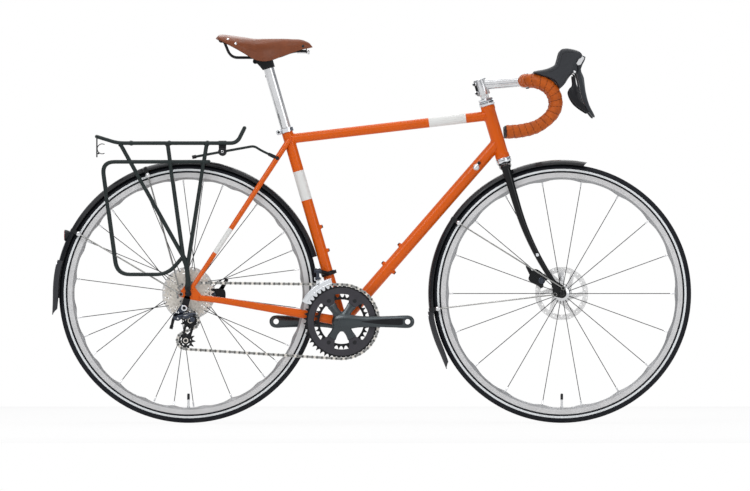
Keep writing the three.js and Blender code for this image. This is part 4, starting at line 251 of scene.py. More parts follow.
class Piece:
    """Skins of points in millimetres that become one object."""

    def __init__(self, name, *finishes, centre=(0, 0, 0)):
        self.name = name
        self.finishes = finishes
        self.centre = Vector(centre)
        self.places, self.faces, self.marks = [], [], []

    def skin(self, rings, mark=0, endless=False, caps=True):
        """Joins rings of points in a row. A list of marks gives each step its own finish."""
        base, size, count = len(self.places), len(rings[0]), len(rings)
        steps = count if endless else count - 1
        marks = mark if isinstance(mark, list) else [mark] * steps
        self.places += [Vector(p) for ring in rings for p in ring]
        for i in range(steps):
            here, there = base + i * size, base + (i + 1) % count * size
            for j in range(size):
                near = (j + 1) % size
                self.faces.append((here + j, here + near, there + near, there + j))
                self.marks.append(marks[i])
        if caps and not endless:
            self.faces += [tuple(range(base, base + size)),
                           tuple(range(base + (count - 1) * size, base + count * size))]
            self.marks += [marks[0], marks[-1]]
        return self

    def lathe(self, foot, axis, profile, steps=48, mark=0, loop=False):
        """Turns pairs of radius and height about an axis."""
        axis = Vector(axis).normalized()
        u = axis.orthogonal().normalized()
        v = axis.cross(u)
        rings = [[Vector(foot) + axis * height + (u * math.cos(a) + v * math.sin(a)) * radius
                  for a in full_turn(steps, 0.5)] for radius, height in profile]
        return self.skin(rings, mark, endless=loop)

    def tube(self, route, radius, sides=24, mark=0, closed=False, up=None, ends=(None, None)):
        """Sweeps a round or oval section. Radii may be one number, a list, or a list of pairs."""
        route = [Vector(p) for p in route]
        count = len(route)
        normal = Vector(up) if up else None
        rings = []
        for k, place in enumerate(route):
            before = route[(k - 1) % count if closed else max(k - 1, 0)]
            after = route[(k + 1) % count if closed else min(k + 1, count - 1)]
            heading = (after - before).normalized()
            normal = normal or heading.orthogonal()
            normal = (normal - heading * normal.dot(heading)).normalized()
            other = heading.cross(normal)
            size = radius[k] if isinstance(radius, (list, tuple)) else radius
            a, b = size if isinstance(size, (list, tuple)) else (size, size)
            rings.append([place + normal * a * math.cos(t) + other * b * math.sin(t)
                          for t in full_turn(sides, 0.5)])
        for place, end in ((0, ends[0]), (-1, ends[1])):
            if end:
                rings[place] = end(rings[place])
        return self.skin(rings, mark, endless=closed)

    def plate(self, outline, low, high, holes=(), mark=0, put=side_view):
        """A flat plate between two depths, with holes."""
        loops = [list(outline), *map(list, holes)]
        base = len(self.places)
        for depth in (low, high):
            self.places += [put(u, v, depth) for loop in loops for u, v in loop]
        total = sum(map(len, loops))
        if holes:
            flat = [[Vector((u, v, 0)) for u, v in loop] for loop in loops]
            faces = [tuple(t) for t in tessellate_polygon(flat)]
        else:
            faces = [tuple(range(total))]
        for depth in (0, total):
            self.faces += [tuple(base + depth + k for k in face) for face in faces]
        start = base
        for loop in loops:
            size = len(loop)
            for k in range(size):
                a, b = start + k, start + (k + 1) % size
                self.faces.append((a, b, b + total, a + total))
            start += size
        self.marks += [mark] * (len(self.faces) - len(self.marks))
        return self

    def washer(self, outer, inner, low, high, round_off=0.0, mark=0, put=side_view):
        """A ring between two outlines with as many points each."""
        rings = []
        for loop, sign in ((outer, 1), (inner, -1)):
            trimmed = [Vector(p) * (1 - sign * round_off / max(Vector(p).length, 1)) for p in loop]
            rows = [(trimmed, low), (loop, low + round_off), (loop, high - round_off), (trimmed, high)]
            rings += [[put(*p, depth) for p in row] for row, depth in rows[::sign]]
        return self.skin(rings, mark, endless=True)

    def bolt(self, place, axis, radius=4.0, height=3.0, mark=0, socket=0.5):
        """A round head with a round socket sunk in it, seated on a face."""
        axis = Vector(axis).normalized()
        self.lathe(place, axis, [
            (0, -0.3), (radius, -0.3), (radius, height * 0.55), (radius * 0.93, height * 0.85),
            (radius * 0.8, height), (radius * socket, height), (radius * socket * 0.95, height * 0.9),
            (radius * socket * 0.95, height * 0.35), (0, height * 0.35)], 24, mark)
        return self

    def block(self, middle, size, mark=0, axes=(AHEAD, ACROSS, UP)):
        half = [axis * length / 2 for axis, length in zip(axes, size)]
        corners = ((-1, -1), (1, -1), (1, 1), (-1, 1))
        rings = [[middle + half[0] * a + half[1] * b + half[2] * c for a, b in corners] for c in SIDES]
        return self.skin(rings, mark)

    def mirrored(self):
        """Adds the same again on the other side of the machine."""
        base = len(self.places)
        self.places += [Vector((p.x, -p.y, p.z)) for p in self.places]
        self.faces += [tuple(base + k for k in face[::-1]) for face in self.faces]
        self.marks += self.marks
        return self

    def done(self, body, slot, *nodes, sharp=35, bevel=0, fuse=0, melt=6, subdivide=0):
        """Makes the object, which rides on a body and stands for CAD nodes."""
        mesh = bpy.data.meshes.new(self.name)
        mesh.from_pydata([(p - self.centre) * MM for p in self.places], [], self.faces)
        mesh.polygons.foreach_set("material_index", self.marks)
        mesh.polygons.foreach_set("use_smooth", [True] * len(self.faces))
        cleaned(mesh)
        for finish in self.finishes:
            mesh.materials.append(FINISH[finish])
        thing = placed(self.name, mesh)
        thing.location = (self.centre + SHIFT) * MM
        if fuse:
            skin = thing.modifiers.new("fuse", "REMESH")
            skin.mode, skin.voxel_size, skin.use_smooth_shade = "VOXEL", fuse * MM, True
            soft = thing.modifiers.new("soften", "SMOOTH")
            soft.factor, soft.iterations = 0.5, melt
        else:
            mesh.set_sharp_from_angle(angle=math.radians(sharp))
        if bevel:
            edge = thing.modifiers.new("edges", "BEVEL")
            edge.width, edge.segments, edge.limit_method = bevel * MM, 2, "ANGLE"
            edge.angle_limit, edge.harden_normals = math.radians(35), True
        if subdivide:
            fine = thing.modifiers.new("fine", "SUBSURF")
            fine.levels = fine.render_levels = subdivide
        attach(thing, body)
        if nodes:
            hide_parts(*nodes)
        return thing


# Finishes


def linear(*rgb):
    def channel(value):
        value /= 255
        return value / 12.92 if value <= 0.04045 else ((value + 0.055) / 1.055) ** 2.4
    return (*map(channel, rgb), 1.0)


class Wires:
    """Short calls for wiring a tree of shader nodes."""

    def __init__(self, tree):
        self.tree = tree

    def link(self, source, target):
        self.tree.links.new(source, target)

    def feed(self, socket, value):
        """Links an output to an input, or gives the input a value of its own."""
        if isinstance(value, bpy.types.NodeSocket):
            self.link(value, socket)
        else:
            socket.default_value = value

    def add(self, kind, **settings):
        """A new node. Settings that are named like its inputs are fed to them."""
        node = self.tree.nodes.new(kind)
        for key, value in settings.items():
            name = key.replace("_", " ")
            if name in node.inputs:
                self.feed(node.inputs[name], value)
            else:
                setattr(node, key, value)
        return node

    def calc(self, operation, first, second=0.0):
        node = self.add("ShaderNodeMath", operation=operation)
        for socket, value in zip(node.inputs, (first, second)):
            self.feed(socket, value)
        return node.outputs["Value"]

    def fit(self, value, low, high, start=0.3, end=0.7, kind="LINEAR"):
        return self.add("ShaderNodeMapRange", interpolation_type=kind, From_Min=start, From_Max=end,
                        To_Min=low, To_Max=high, Value=value).outputs["Result"]

    def mix(self, share, first, second):
        mix = self.add("ShaderNodeMix", data_type="RGBA", Factor=share, A=first, B=second)
        return next(socket for socket in mix.outputs if socket.type == "RGBA")

    def blend(self, share, first, second):
        """A mix of two surfaces or backgrounds."""
        node = self.add("ShaderNodeMixShader", Fac=share)
        for k, source in ((1, first), (2, second)):
            self.link(source.outputs[0], node.inputs[k])
        return node.outputs["Shader"]


class Nodes(Wires):
    """One material and its patterns."""

    def __init__(self, name):
        self.material = bpy.data.materials.new(name)
        self.material.use_nodes = True
        super().__init__(self.material.node_tree)
        self.shader = self.tree.nodes["Principled BSDF"]
        self.place = self.add("ShaderNodeTexCoord").outputs["Object"]

    def dress(self, **settings):
        """Feeds inputs of the surface's shader."""
        for key, value in settings.items():
            self.feed(self.shader.inputs[key.replace("_", " ")], value)

    def noise(self, scale, detail=3.0):
        return self.add("ShaderNodeTexNoise", Scale=scale, Detail=detail, Vector=self.place).outputs["Fac"]

    def cells(self, scale, feature="F1"):
        return self.add("ShaderNodeTexVoronoi", feature=feature, Scale=scale,
                        Vector=self.place).outputs["Distance"]

    def turned_lines(self, scale, distortion):
        return self.add("ShaderNodeTexWave", wave_type="RINGS", rings_direction="Y", Scale=scale,
                        Distortion=distortion, Vector=self.place).outputs["Fac"]

    def bump(self, height, depth, strength=1.0, under=None):
        bump = self.add("ShaderNodeBump", Strength=strength, Distance=depth * MM, Height=height)
        if under:
            self.link(under, bump.inputs["Normal"])
        return bump.outputs["Normal"]


def shade(colour, factor):
    return (*(min(channel * factor, 1.0) for channel in colour[:3]), 1.0)


def finish(name, rgb, rough, metal=0.0, coat=0.0, patch=(25, 0.12), grain=(1500, 0.02),
           pattern=None, specular=0.5):
    """A finish whose colour and gloss vary in patches, over a fine grain."""
    nodes = Nodes(name)
    colour = linear(*rgb)
    patches = nodes.noise(patch[0], 4)
    tone = nodes.mix(nodes.fit(patches, 0, 1), shade(colour, 1 - patch[1]), shade(colour, 1 + patch[1]))
    normal = nodes.bump(nodes.noise(grain[0], 3), grain[1])
    if pattern:
        tone, normal = pattern(nodes, tone, normal, colour)
    nodes.dress(Metallic=metal, Coat_Weight=coat, Coat_Roughness=0.08, Specular_IOR_Level=specular,
                Base_Color=tone, Roughness=nodes.fit(patches, rough * 0.82, rough * 1.2), Normal=normal)
    FINISH[name] = nodes.material


def brushed_rings(nodes, tone, normal, colour):
    """Fine turned lines about the wheel's axle."""
    lines = nodes.turned_lines(420, 1.5)
    tone = nodes.mix(nodes.fit(lines, 0, 0.35), tone, shade(colour, 0.8))
    return tone, nodes.bump(lines, 0.05, 0.6, normal)


def leather_grain_and_shade(nodes, tone, normal, colour):
    """Small pebbled cells and darker creases, with painted shade mixed in by height: the leather darkens
    lower down.
    """
    pebbles = nodes.cells(900, "SMOOTH_F1")
    creases = nodes.noise(55, 8)
    tone = nodes.mix(nodes.fit(creases, 0, 0.4, 0.45, 0.62), tone, shade(colour, 0.62))
    # Painted shade: the tone is mixed darker as the height falls, standing in for shade on the lower flanks.
    height = nodes.add("ShaderNodeSeparateXYZ", Vector=nodes.place).outputs["Z"]
    tone = nodes.mix(nodes.fit(height, 0.0, 0.55, 0.99, 0.94), tone, shade(colour, 0.55))
    return tone, nodes.bump(pebbles, 0.12, 0.7, nodes.bump(creases, 0.25, 0.5, normal))


def tape_grain(nodes, tone, normal, colour):
    """Soft faux leather with small dimples and scuffs."""
    dimples = nodes.cells(520, "SMOOTH_F1")
    scuffs = nodes.noise(140, 6)
    tone = nodes.mix(nodes.fit(scuffs, 0, 0.45, 0.5, 0.68), tone, shade(colour, 1.35))
    return tone, nodes.bump(dimples, 0.2, 0.7, normal)


def rubber_grain(nodes, tone, normal, colour):
    """Moulded rubber with a dusty bloom."""
    bloom = nodes.noise(90, 8)
    tone = nodes.mix(nodes.fit(bloom, 0, 0.5, 0.5, 0.75), tone, shade(colour, 1.7))
    return tone, nodes.bump(nodes.cells(1600), 0.06, 0.6, normal)


def stippled_with_dimple_shade(nodes, tone, normal, colour):
    """The fine dimples of a lever hood, with painted shade at the bottom of each dimple."""
    dots = nodes.cells(1100)
    # Painted shade: the tone darkens towards each cell's centre, where the bump sinks lowest.
    tone = nodes.mix(nodes.fit(dots, 0.25, 0, 0.1, 0.5), tone, shade(colour, 0.7))
    return tone, nodes.bump(dots, 0.15, 0.5, normal)


FINISH = {}
finish("orange_paint", (214, 90, 0), 0.3, coat=0.14, patch=(9, 0.05), grain=(900, 0.012), specular=0.2)
finish("white_paint", (224, 225, 223), 0.3, coat=0.16, patch=(9, 0.03), grain=(900, 0.012), specular=0.2)
finish("black_gloss", (11, 12, 15), 0.2, coat=0.16, patch=(14, 0.15), grain=(900, 0.012), specular=0.15)
finish("rack_coat", (36, 44, 44), 0.44, patch=(40, 0.12), grain=(2600, 0.05), specular=0.2)
finish("rubber", (20, 22, 28), 0.7, pattern=rubber_grain, specular=0.2)
finish("stripe", (224, 228, 230), 0.4, patch=(40, 0.05), grain=(3000, 0.03))
finish("rim_alloy", (172, 173, 175), 0.4, metal=0.6, patch=(30, 0.08), pattern=brushed_rings)
finish("rim_track", (208, 208, 209), 0.36, metal=0.5, patch=(30, 0.06), pattern=brushed_rings)
finish("spoke_steel", (30, 31, 34), 0.34, metal=0.35, patch=(60, 0.15), specular=0.3)
finish("alloy", (214, 215, 217), 0.22, metal=0.9, patch=(35, 0.07), grain=(1800, 0.02))
finish("chrome", (214, 217, 221), 0.09, metal=1.0, patch=(25, 0.04), grain=(700, 0.004))
finish("steel", (150, 150, 148), 0.3, metal=0.9, patch=(70, 0.18), grain=(2200, 0.03))
finish("cog_steel", (226, 221, 213), 0.36, metal=0.5, patch=(60, 0.14), grain=(2200, 0.03),
       pattern=brushed_rings)
finish("crank_alloy", (62, 68, 71), 0.3, metal=0.7, coat=0.15, patch=(18, 0.16), grain=(1600, 0.02))
finish("ring_alloy", (62, 61, 66), 0.42, metal=0.65, patch=(22, 0.12), grain=(1800, 0.03))
finish("dark_steel", (38, 39, 42), 0.38, metal=0.7, patch=(40, 0.2), grain=(1800, 0.03))
finish("mech_alloy", (52, 58, 70), 0.3, metal=0.7, coat=0.3, patch=(40, 0.18), grain=(1800, 0.03))
finish("black_metal", (24, 25, 28), 0.36, metal=0.25, specular=0.25, patch=(40, 0.15), grain=(1800, 0.03))
finish("black_plastic", (26, 27, 30), 0.42, specular=0.25, patch=(40, 0.12), grain=(2400, 0.04))
finish("guard_plastic", (26, 27, 31), 0.26, coat=0.3, specular=0.25, patch=(12, 0.12), grain=(1400, 0.015))
finish("flap_rubber", (48, 49, 53), 0.6, patch=(30, 0.12), grain=(1500, 0.06), specular=0.35)
finish("hood_rubber", (50, 52, 56), 0.55, patch=(40, 0.1), pattern=stippled_with_dimple_shade, specular=0.25)
finish("lever_alloy", (38, 42, 47), 0.32, metal=0.55, coat=0.2, patch=(30, 0.15))
finish("leather", (138, 74, 42), 0.42, coat=0.05, specular=0.3, patch=(22, 0.16), pattern=leather_grain_and_shade)
finish("leather_edge", (92, 48, 28), 0.6, patch=(80, 0.2), grain=(1500, 0.1))
finish("tape", (176, 82, 20), 0.46, patch=(45, 0.14), pattern=tape_grain, specular=0.22)
# Painted shade for the groove where one turn of tape steps onto the next.
finish("tape_seam_shade", (112, 50, 14), 0.6, patch=(45, 0.14), grain=(1500, 0.05), specular=0.2)
finish("red_lens", (150, 14, 12), 0.12, coat=0.8, patch=(40, 0.1))
finish("rotor_steel", (232, 232, 232), 0.3, metal=0.6, patch=(60, 0.05), grain=(2200, 0.02),
       pattern=brushed_rings)

# The machine's layout

CHAIN_PITCH = 12.7
TYRE_RADIUS = 339
rear_axle = joint_place("rear_wheel_spin")
front_axle = joint_place("front_wheel_spin")
bracket = joint_place("crank_spin")
head_foot = joint_place("steer")
head_up = Vector(joints["steer"]["axis"]).normalized()
head_ahead = at(head_up.z, 0, -head_up.x)
seat_up = Vector(joints["seat_height"]["axis"]).normalized()
seat_ahead = at(seat_up.z, 0, -seat_up.x)
HEAD_LOW, HEAD_HIGH, HEAD_RADIUS = 384.3, 526.5, 17.5
SEAT_TUBE_LENGTH, SEAT_RADIUS = 528, 14.7
SHELL_RADIUS, SHELL_HALF = 20, 34
REAR_INNER, REAR_OUTER = 67.8, 73.8
FRONT_INNER, FRONT_OUTER = 50.3, 56.3


def on_head(height, ahead=0.0, y=0.0):
    return head_foot + head_up * height + head_ahead * ahead + ACROSS * y


def on_seat(height, ahead=0.0, y=0.0):
    return bracket + seat_up * height + seat_ahead * ahead + ACROSS * y


# Frame tubes

TOP_TUBE_BAND = (630, 727)
SEAT_TUBE_BAND = (584, 660)
SEAT_STAY_BAND = (508, 445)
DOWN_RADIUS = 15.9
BOSS_SPACING = 64


def spar(name, start, end, radius, stops, bands=()):
    """A round tube between two others, welded to both. Bands are places along it, as shares."""
    heading = (end - start).normalized()
    shares = [0, *bands, 1]
    route = [start.lerp(end, share) for share in shares]
    piece = Piece(name, "orange_paint", "white_paint")
    rims = []

    def trimmed(forward, stop):
        def trim(row):
            middle = start.lerp(end, 0.5)
            flat = [p + heading * (middle - p).dot(heading) for p in row]
            rim = [meet(p, heading if forward else -heading, *stop) for p in flat]
            rims.append(rim)
            return rim
        return trim

    marks = [1 if 0 < k < len(shares) - 2 else 0 for k in range(len(shares) - 1)]
    piece.tube(route, radius, 48, marks, ends=(trimmed(False, stops[0]), trimmed(True, stops[1])))
    for rim in rims:
        piece.tube(rim, [1.9 + 0.25 * math.sin(2.7 * k) for k in range(len(rim))], 8, closed=True)
    return piece


def boss_with_bolt(piece, place, outward, radius=5.2, height=4.5, bolt=4.2, metal=2):
    piece.lathe(place, outward, [
        (radius + 1.6, -3), (radius + 1.4, 0.4), (radius + 0.2, 1.2), (radius, 2), (radius, height - 0.4),
        (radius - 0.4, height)], 28)
    piece.bolt(place + outward * height, outward, bolt, 2.6, metal)


head_stop = (head_foot, head_up, HEAD_RADIUS)
seat_stop = (bracket, seat_up, SEAT_RADIUS)
shell_stop = (bracket, ACROSS, SHELL_RADIUS)
head_tube = Piece("head_tube_skin", "orange_paint")
head_tube.lathe(head_foot, head_up, [
    (15.6, HEAD_LOW), (18.4, HEAD_LOW), (18.8, HEAD_LOW + 1), (18.8, HEAD_LOW + 9), (18.2, HEAD_LOW + 11),
    (17.5, HEAD_LOW + 13), (17.5, HEAD_HIGH - 13), (18.2, HEAD_HIGH - 11), (18.8, HEAD_HIGH - 9),
    (18.8, HEAD_HIGH - 1), (18.4, HEAD_HIGH), (15.6, HEAD_HIGH)], 64, loop=True)
head_tube.done("frame", "frame_paint", "head_tube")

top_start, top_end = on_seat(SEAT_TUBE_LENGTH - 30), on_head(HEAD_HIGH - 26)
top_bands = [(x - top_start.x) / (top_end.x - top_start.x) for x in TOP_TUBE_BAND]
top_tube = spar("top_tube_skin", top_start, top_end, 12.7, (seat_stop, head_stop), top_bands)
top_tube.done("frame", "frame_paint", "top_tube")

down_end = on_head(HEAD_LOW + 43.5)
down_along = (down_end - bracket).normalized()
down_above = at(-down_along.z, 0, down_along.x)
down_length = (down_end - bracket).length
down_tube = spar("down_tube_skin", bracket, down_end, DOWN_RADIUS, (shell_stop, head_stop))
down_tube.finishes = ("orange_paint", "white_paint", "dark_steel", "alloy", "black_plastic")
low_boss = down_length * 0.3
for distance in (low_boss, low_boss + BOSS_SPACING):
    boss_with_bolt(down_tube, bracket + down_along * distance + down_above * DOWN_RADIUS, down_above)
boss_with_bolt(down_tube, bracket + down_along * low_boss - down_above * DOWN_RADIUS, -down_above)
for side in SIDES:
    spot = bracket + down_along * down_length * 0.86 + ACROSS * side * 15.2
    down_tube.lathe(spot, ACROSS * side, [
        (8.4, -2), (8.2, 1.5), (7.2, 2.2), (7.2, 3.6), (6.4, 4.6), (2.2, 4.8), (2.2, 4.2), (0, 4.2)], 32, 3)
    stop = spot + ACROSS * side * 2.2
    for start, end, radius, sides, mark in ((-4, 9, 3.3, 20, 3), (9, 17, 3.9, 12, 4)):
        down_tube.tube([stop + down_along * reach + down_above * 2 for reach in (start, end)],
                       radius, sides, mark)
down_tube.done("frame", "frame_paint", "down_tube")

seat_tube = Piece("seat_tube_skin", "orange_paint", "white_paint", "dark_steel")
seat_band = [(z - bracket.z) / seat_up.z / SEAT_TUBE_LENGTH for z in SEAT_TUBE_BAND]
seat_rows = [on_seat(14), *(on_seat(share * SEAT_TUBE_LENGTH) for share in seat_band),
             on_seat(SEAT_TUBE_LENGTH)]
seat_tube.tube(seat_rows, SEAT_RADIUS, 48, [0, 1, 0])
seat_tube.lathe(bracket, ACROSS, [
    (17.6, -SHELL_HALF), (19.6, -SHELL_HALF), (20, -SHELL_HALF + 0.5), (20, SHELL_HALF - 0.5),
    (19.6, SHELL_HALF), (17.6, SHELL_HALF)], 64, loop=True)
weld_ring = [meet(on_seat(60) + (seat_ahead * math.cos(a) + ACROSS * math.sin(a)) * SEAT_RADIUS,
                  -seat_up, *shell_stop) for a in full_turn(48)]
seat_tube.tube(weld_ring, 1.9, 8, closed=True)
for height in (SEAT_TUBE_LENGTH * 0.36, SEAT_TUBE_LENGTH * 0.36 + BOSS_SPACING):
    boss_with_bolt(seat_tube, on_seat(height, SEAT_RADIUS), seat_ahead)
seat_tube.done("frame", "frame_paint", "seat_tube")

# Rear triangle

CHAIN_STAY_REACH = (18, 62, 102, 202, 312, 372)
CHAIN_STAY_SPREAD = (24, 27, 31.5, 46, 66, 70.5)
CHAIN_STAY_RISE = (4, 12, 20, 37, 55, 62)
SEAT_STAY_SHARES = (0, 0.11, 0.26, 0.86, 0.94, 0.965)
SEAT_STAY_SPREAD = (14, 24, 33, 62, 71.2, 71.2)
SEAT_STAY_END = SEAT_STAY_SHARES[-1]
BRIDGE_RADIUS = 351
stay_top = on_seat(SEAT_TUBE_LENGTH - 32)


def on_seat_stay(share, side):
    place = stay_top.lerp(rear_axle, share)
    return at(place.x, side * piecewise(SEAT_STAY_SHARES, SEAT_STAY_SPREAD, share), place.z)


def stay_band(z):
    return (stay_top.z - z) / (stay_top.z - rear_axle.z)


for side, name in ((-1, "right"), (1, "left")):
    stays = Piece(f"stays_{name}_skin", "orange_paint", "white_paint", "chrome", "black_metal")
    knots = [(bracket.x - reach, side * apart, bracket.z + rise,
              lerp(8, 6.5, reach / CHAIN_STAY_REACH[-1]), lerp(12.5, 7.5, reach / CHAIN_STAY_REACH[-1]))
             for reach, apart, rise in zip(CHAIN_STAY_REACH, CHAIN_STAY_SPREAD, CHAIN_STAY_RISE)]
    route = smooth(knots, 8)
    stays.tube([k[:3] for k in route], [(k[3], k[4]) for k in route], 32, up=ACROSS)
    bands = [stay_band(z) for z in SEAT_STAY_BAND]
    shares = sorted({*(k / 60 for k in range(59)), *bands, SEAT_STAY_END})
    marks = [1 if bands[0] <= (a + b) / 2 <= bands[1] else 0 for a, b in zip(shares, shares[1:])]
    stays.tube([on_seat_stay(share, side) for share in shares],
               [lerp(7.3, 5.6, share) for share in shares], 28, marks)
    end_x, end_z = bracket.x - CHAIN_STAY_REACH[-1], bracket.z + CHAIN_STAY_RISE[-1]
    tip = on_seat_stay(SEAT_STAY_END, side)
    low, high = depths(side, REAR_INNER, REAR_OUTER)
    stays.plate(wrapped([(0, rear_axle.z, 14), (-5, rear_axle.z + 16, 6), (end_x, end_z, 8),
                         (-19, rear_axle.z - 2, 6), disc(tip, 8)]), low, high,
                [circle(0, rear_axle.z, 5.2)])
    if side < 0:
        stays.plate(strap(-3, rear_axle.z - 12, 8.6, -10.5, rear_axle.z - 38, 9.5), low, high, mark=3)
        middle = on_seat_stay(0.2, side)
        stays.tube([middle, beside(middle, -middle.y)], 7, 28)
        centre = beside(middle, 0)
        inward = (rear_axle - centre).normalized()
        reach = (rear_axle - centre).length - BRIDGE_RADIUS
        stays.tube([centre, centre + inward * reach], 5.2, 20)
    stays.bolt(at(-10.5 if side < 0 else -19, side * REAR_OUTER, rear_axle.z - (38 if side < 0 else 2)),
               ACROSS * side, 4.4, 2.2, 2)
    stays.done("frame", "frame_paint", f"stays_{name}", bevel=0.7)

# Wheels

WHEEL_STEPS = 180
NIPPLE_RADIUS = 297
VALVE_FOOT, VALVE_TIP = 300, 262
RUBBER, STRIPE = 0, 1


def around(centre, degrees, radius, y=0.0):
    angle = math.radians(degrees)
    return centre + at(radius * math.cos(angle), y, radius * math.sin(angle))


def turned_axes(degrees):
    """Outwards and forwards along the rim at a place on a wheel."""
    angle = math.radians(degrees)
    return at(math.cos(angle), 0, math.sin(angle)), at(-math.sin(angle), 0, math.cos(angle))


def wheel_piece(name, axle, *finishes):
    return Piece(name, *finishes, centre=axle)


def tyre_section():
    """Half of the tyre's outside as radius and depth, then the other half mirrored."""
    def crown(y):
        return TYRE_RADIUS - 0.043 * y * y

    flank = [(316.4, 11.3), (318.4, 13.4), (321.4, 14.0), (321.8, 14.2), (326.2, 14.0), (326.6, 13.7),
             (330.2, 13.2), (333.9, 10.9)]
    tread = []
    for groove in (8.1, 5.4, 2.7):
        tread += [(crown(groove + 0.55), groove + 0.55), (crown(groove) - 0.6, groove + 0.35),
                  (crown(groove) - 0.6, groove - 0.35), (crown(groove - 0.55), groove - 0.55)]
    half = flank + tread + [(crown(1), 1)]
    return half + [(radius, -y) for radius, y in half[::-1]]


def make_tyre(name, axle, body, node):
    section = tyre_section()
    marks = [STRIPE if 321.5 < (a[0] + b[0]) / 2 < 326.5 else RUBBER
             for a, b in zip(section, section[1:] + section[:1])]
    tyre = wheel_piece(name, axle, "rubber", "stripe")
    tyre.lathe(axle, ACROSS, section, WHEEL_STEPS, marks, loop=True)
    tyre.done(body, "tyre", node, sharp=50)


def make_rim(name, axle, body, node, spokes, start):
    """A rim whose inner edge swells at each nipple, with a machined track on each flank."""
    half = [(317, 11.2, 0), (316.6, 12, 0), (304.2, 12, 0), (303.6, 11.4, 0), (301.4, 9.4, 0),
            (299.2, 6.9, 2.2), (298.6, 5, 3.4)]
    section = half + [(radius, -y, wave) for radius, y, wave in half[::-1]]
    section += [(310.4, -9, 0), (310.4, 9, 0)]
    marks = [1 if abs(a[1]) == 12 and a[1] == b[1] else 0
             for a, b in zip(section, section[1:] + section[:1])]
    steps = spokes * 10
    rings = [[around(axle, 360 * k / steps, radius - wave * swell(360 * k / steps, spokes, start), y)
              for k in range(steps)] for radius, y, wave in section]
    rim = wheel_piece(name, axle, "rim_alloy", "rim_track", "black_plastic", "alloy")
    rim.skin(rings, marks, endless=True)
    stem, tip = around(axle, 270, VALVE_FOOT), around(axle, 270, VALVE_TIP)
    rim.tube([stem, *(stem.lerp(tip, share) for share in (0.12, 0.13, 0.6))], [4.2, 4.2, 3, 3], 16, 3)
    rim.tube([stem.lerp(tip, 0.58), stem.lerp(tip, 0.94), tip], [3.6, 3.5, 2.2], 12, 2)
    rim.done(body, "rim", node)


def swell(degrees, count, start):
    return (0.5 + 0.5 * math.cos(math.radians(count * (degrees - start)))) ** 3


def spoke_line(axle, degrees, y, offset, root):
    """From the hub's flange to the rim, square to the rim or past the hub at an offset."""
    angle = math.radians(degrees)
    along = at(math.cos(angle), 0, math.sin(angle))
    foot = axle + at(-along.z, 0, along.x) * offset + ACROSS * y
    start = foot if offset else foot + along * root
    nipple_end = foot + along * math.sqrt(NIPPLE_RADIUS ** 2 - offset ** 2)
    nipple_end.y = 0.12 * y
    return start, nipple_end


def add_spokes(piece, lines, dark=0, bright=1):
    for start, end in lines:
        nipple = end + (start - end).normalized() * 13
        piece.tube([start, end], 1.05, 8, dark)
        piece.tube([end, end.lerp(nipple, 0.15), end.lerp(nipple, 0.9), nipple],
                   [2.6, 2.1, 2.0, 1.3], 12, bright)
        piece.lathe(start, end - start, [(0, -1.4), (1.7, -1.4), (2.0, -0.6), (1.5, 0.6), (0, 0.6)],
                    12, bright)


def add_rotor(piece, axle, y, mark=0, bolt_mark=1):
    """A brake disc with swept arms and rows of vents in its track."""
    outer = [(radius * math.cos(a), radius * math.sin(a)) for a in full_turn(120)
             for radius in [70 - 0.9 * (0.5 + 0.5 * math.cos(12 * a))]]
    windows = []
    for k in range(6):
        start = 60 * k
        windows.append(arc(0, 0, 55.5, start + 6, start + 54, 8) + arc(0, 0, 27, start + 22, start - 6, 4))
    vents = [circle(*polar(60 + 3 * (k % 3 - 1) * 1.2 + 2, 10 * k), 2.1, 8) for k in range(36)]
    piece.plate(outer, y - 0.9, y + 0.9, [circle(0, 0, 16), *windows, *vents], mark,
                put=about(axle, AHEAD, UP, ACROSS))
    for k in range(6):
        piece.bolt(around(axle, 60 * k + 12, 22, y + 0.9), ACROSS, 3.4, 2.4, bolt_mark)


def make_hub(name, axle, body, node, profile, rotor_y, lines):
    spokes = wheel_piece(name.replace("hub", "spokes"), axle, "spoke_steel", "alloy")
    add_spokes(spokes, lines)
    spokes.done(body, "hub", node)
    shell = wheel_piece(name, axle, "alloy")
    shell.lathe(axle, ACROSS, profile, 64, loop=True)
    shell.done(body, "hub", node)
    rotor = wheel_piece(name.replace("hub", "rotor"), axle, "rotor_steel", "dark_steel")
    add_rotor(rotor, axle, rotor_y)
    rotor.done(body, "hub", node)


FRONT_SPOKES, REAR_SPOKES, REAR_START = 18, 24, 7.5
front_lines = [spoke_line(front_axle, 360 / FRONT_SPOKES * k, 22 if k % 2 else -33, 0, 17)
               for k in range(FRONT_SPOKES)]
front_hub_profile = [
    (5.4, -44.2), (8.6, -44.2), (9.2, -43.4), (9.6, -40), (11.5, -37.6), (14, -36.4), (19, -34.8),
    (19.4, -34), (19.4, -32), (19, -31.3), (14, -30.2), (12, -28), (11, -24), (10.6, -10), (10.6, 8),
    (11.2, 14), (13, 18.6), (19, 20.4), (19.4, 21.2), (19.4, 22.8), (19, 23.6), (21, 27), (22, 30),
    (22, 38.6), (19, 38.8), (19, 42), (12, 43), (9, 43.6), (9, 44.2), (5.4, 44.2)]
rear_hub_profile = [
    (5.4, -22), (13.4, -22), (14.4, -21.4), (16, -20.4), (28, -19.3), (28.5, -18.5), (28.5, -16.6),
    (28, -15.8), (18, -14.6), (15, -12), (14, -8), (13.6, 8), (13.6, 22), (14.5, 27), (17, 30.6),
    (28, 32.2), (28.5, 33), (28.5, 34.9), (28, 35.7), (24, 38.5), (22, 42), (22, 51.2), (19, 51.4),
    (19, 54.8), (12, 56), (9.6, 58), (9.6, 61.6), (5.4, 61.6)]


def rear_line(k):
    """Radial spokes on the left, and pairs that pass the hub on the right."""
    degrees = REAR_START + 360 / REAR_SPOKES * k
    if k % 2:
        return spoke_line(rear_axle, degrees, 34, 0, 26)
    lean = 1 if k % 4 == 0 else -1
    return spoke_line(rear_axle, degrees, 1.4 * lean - 18, 25 * lean, 26)


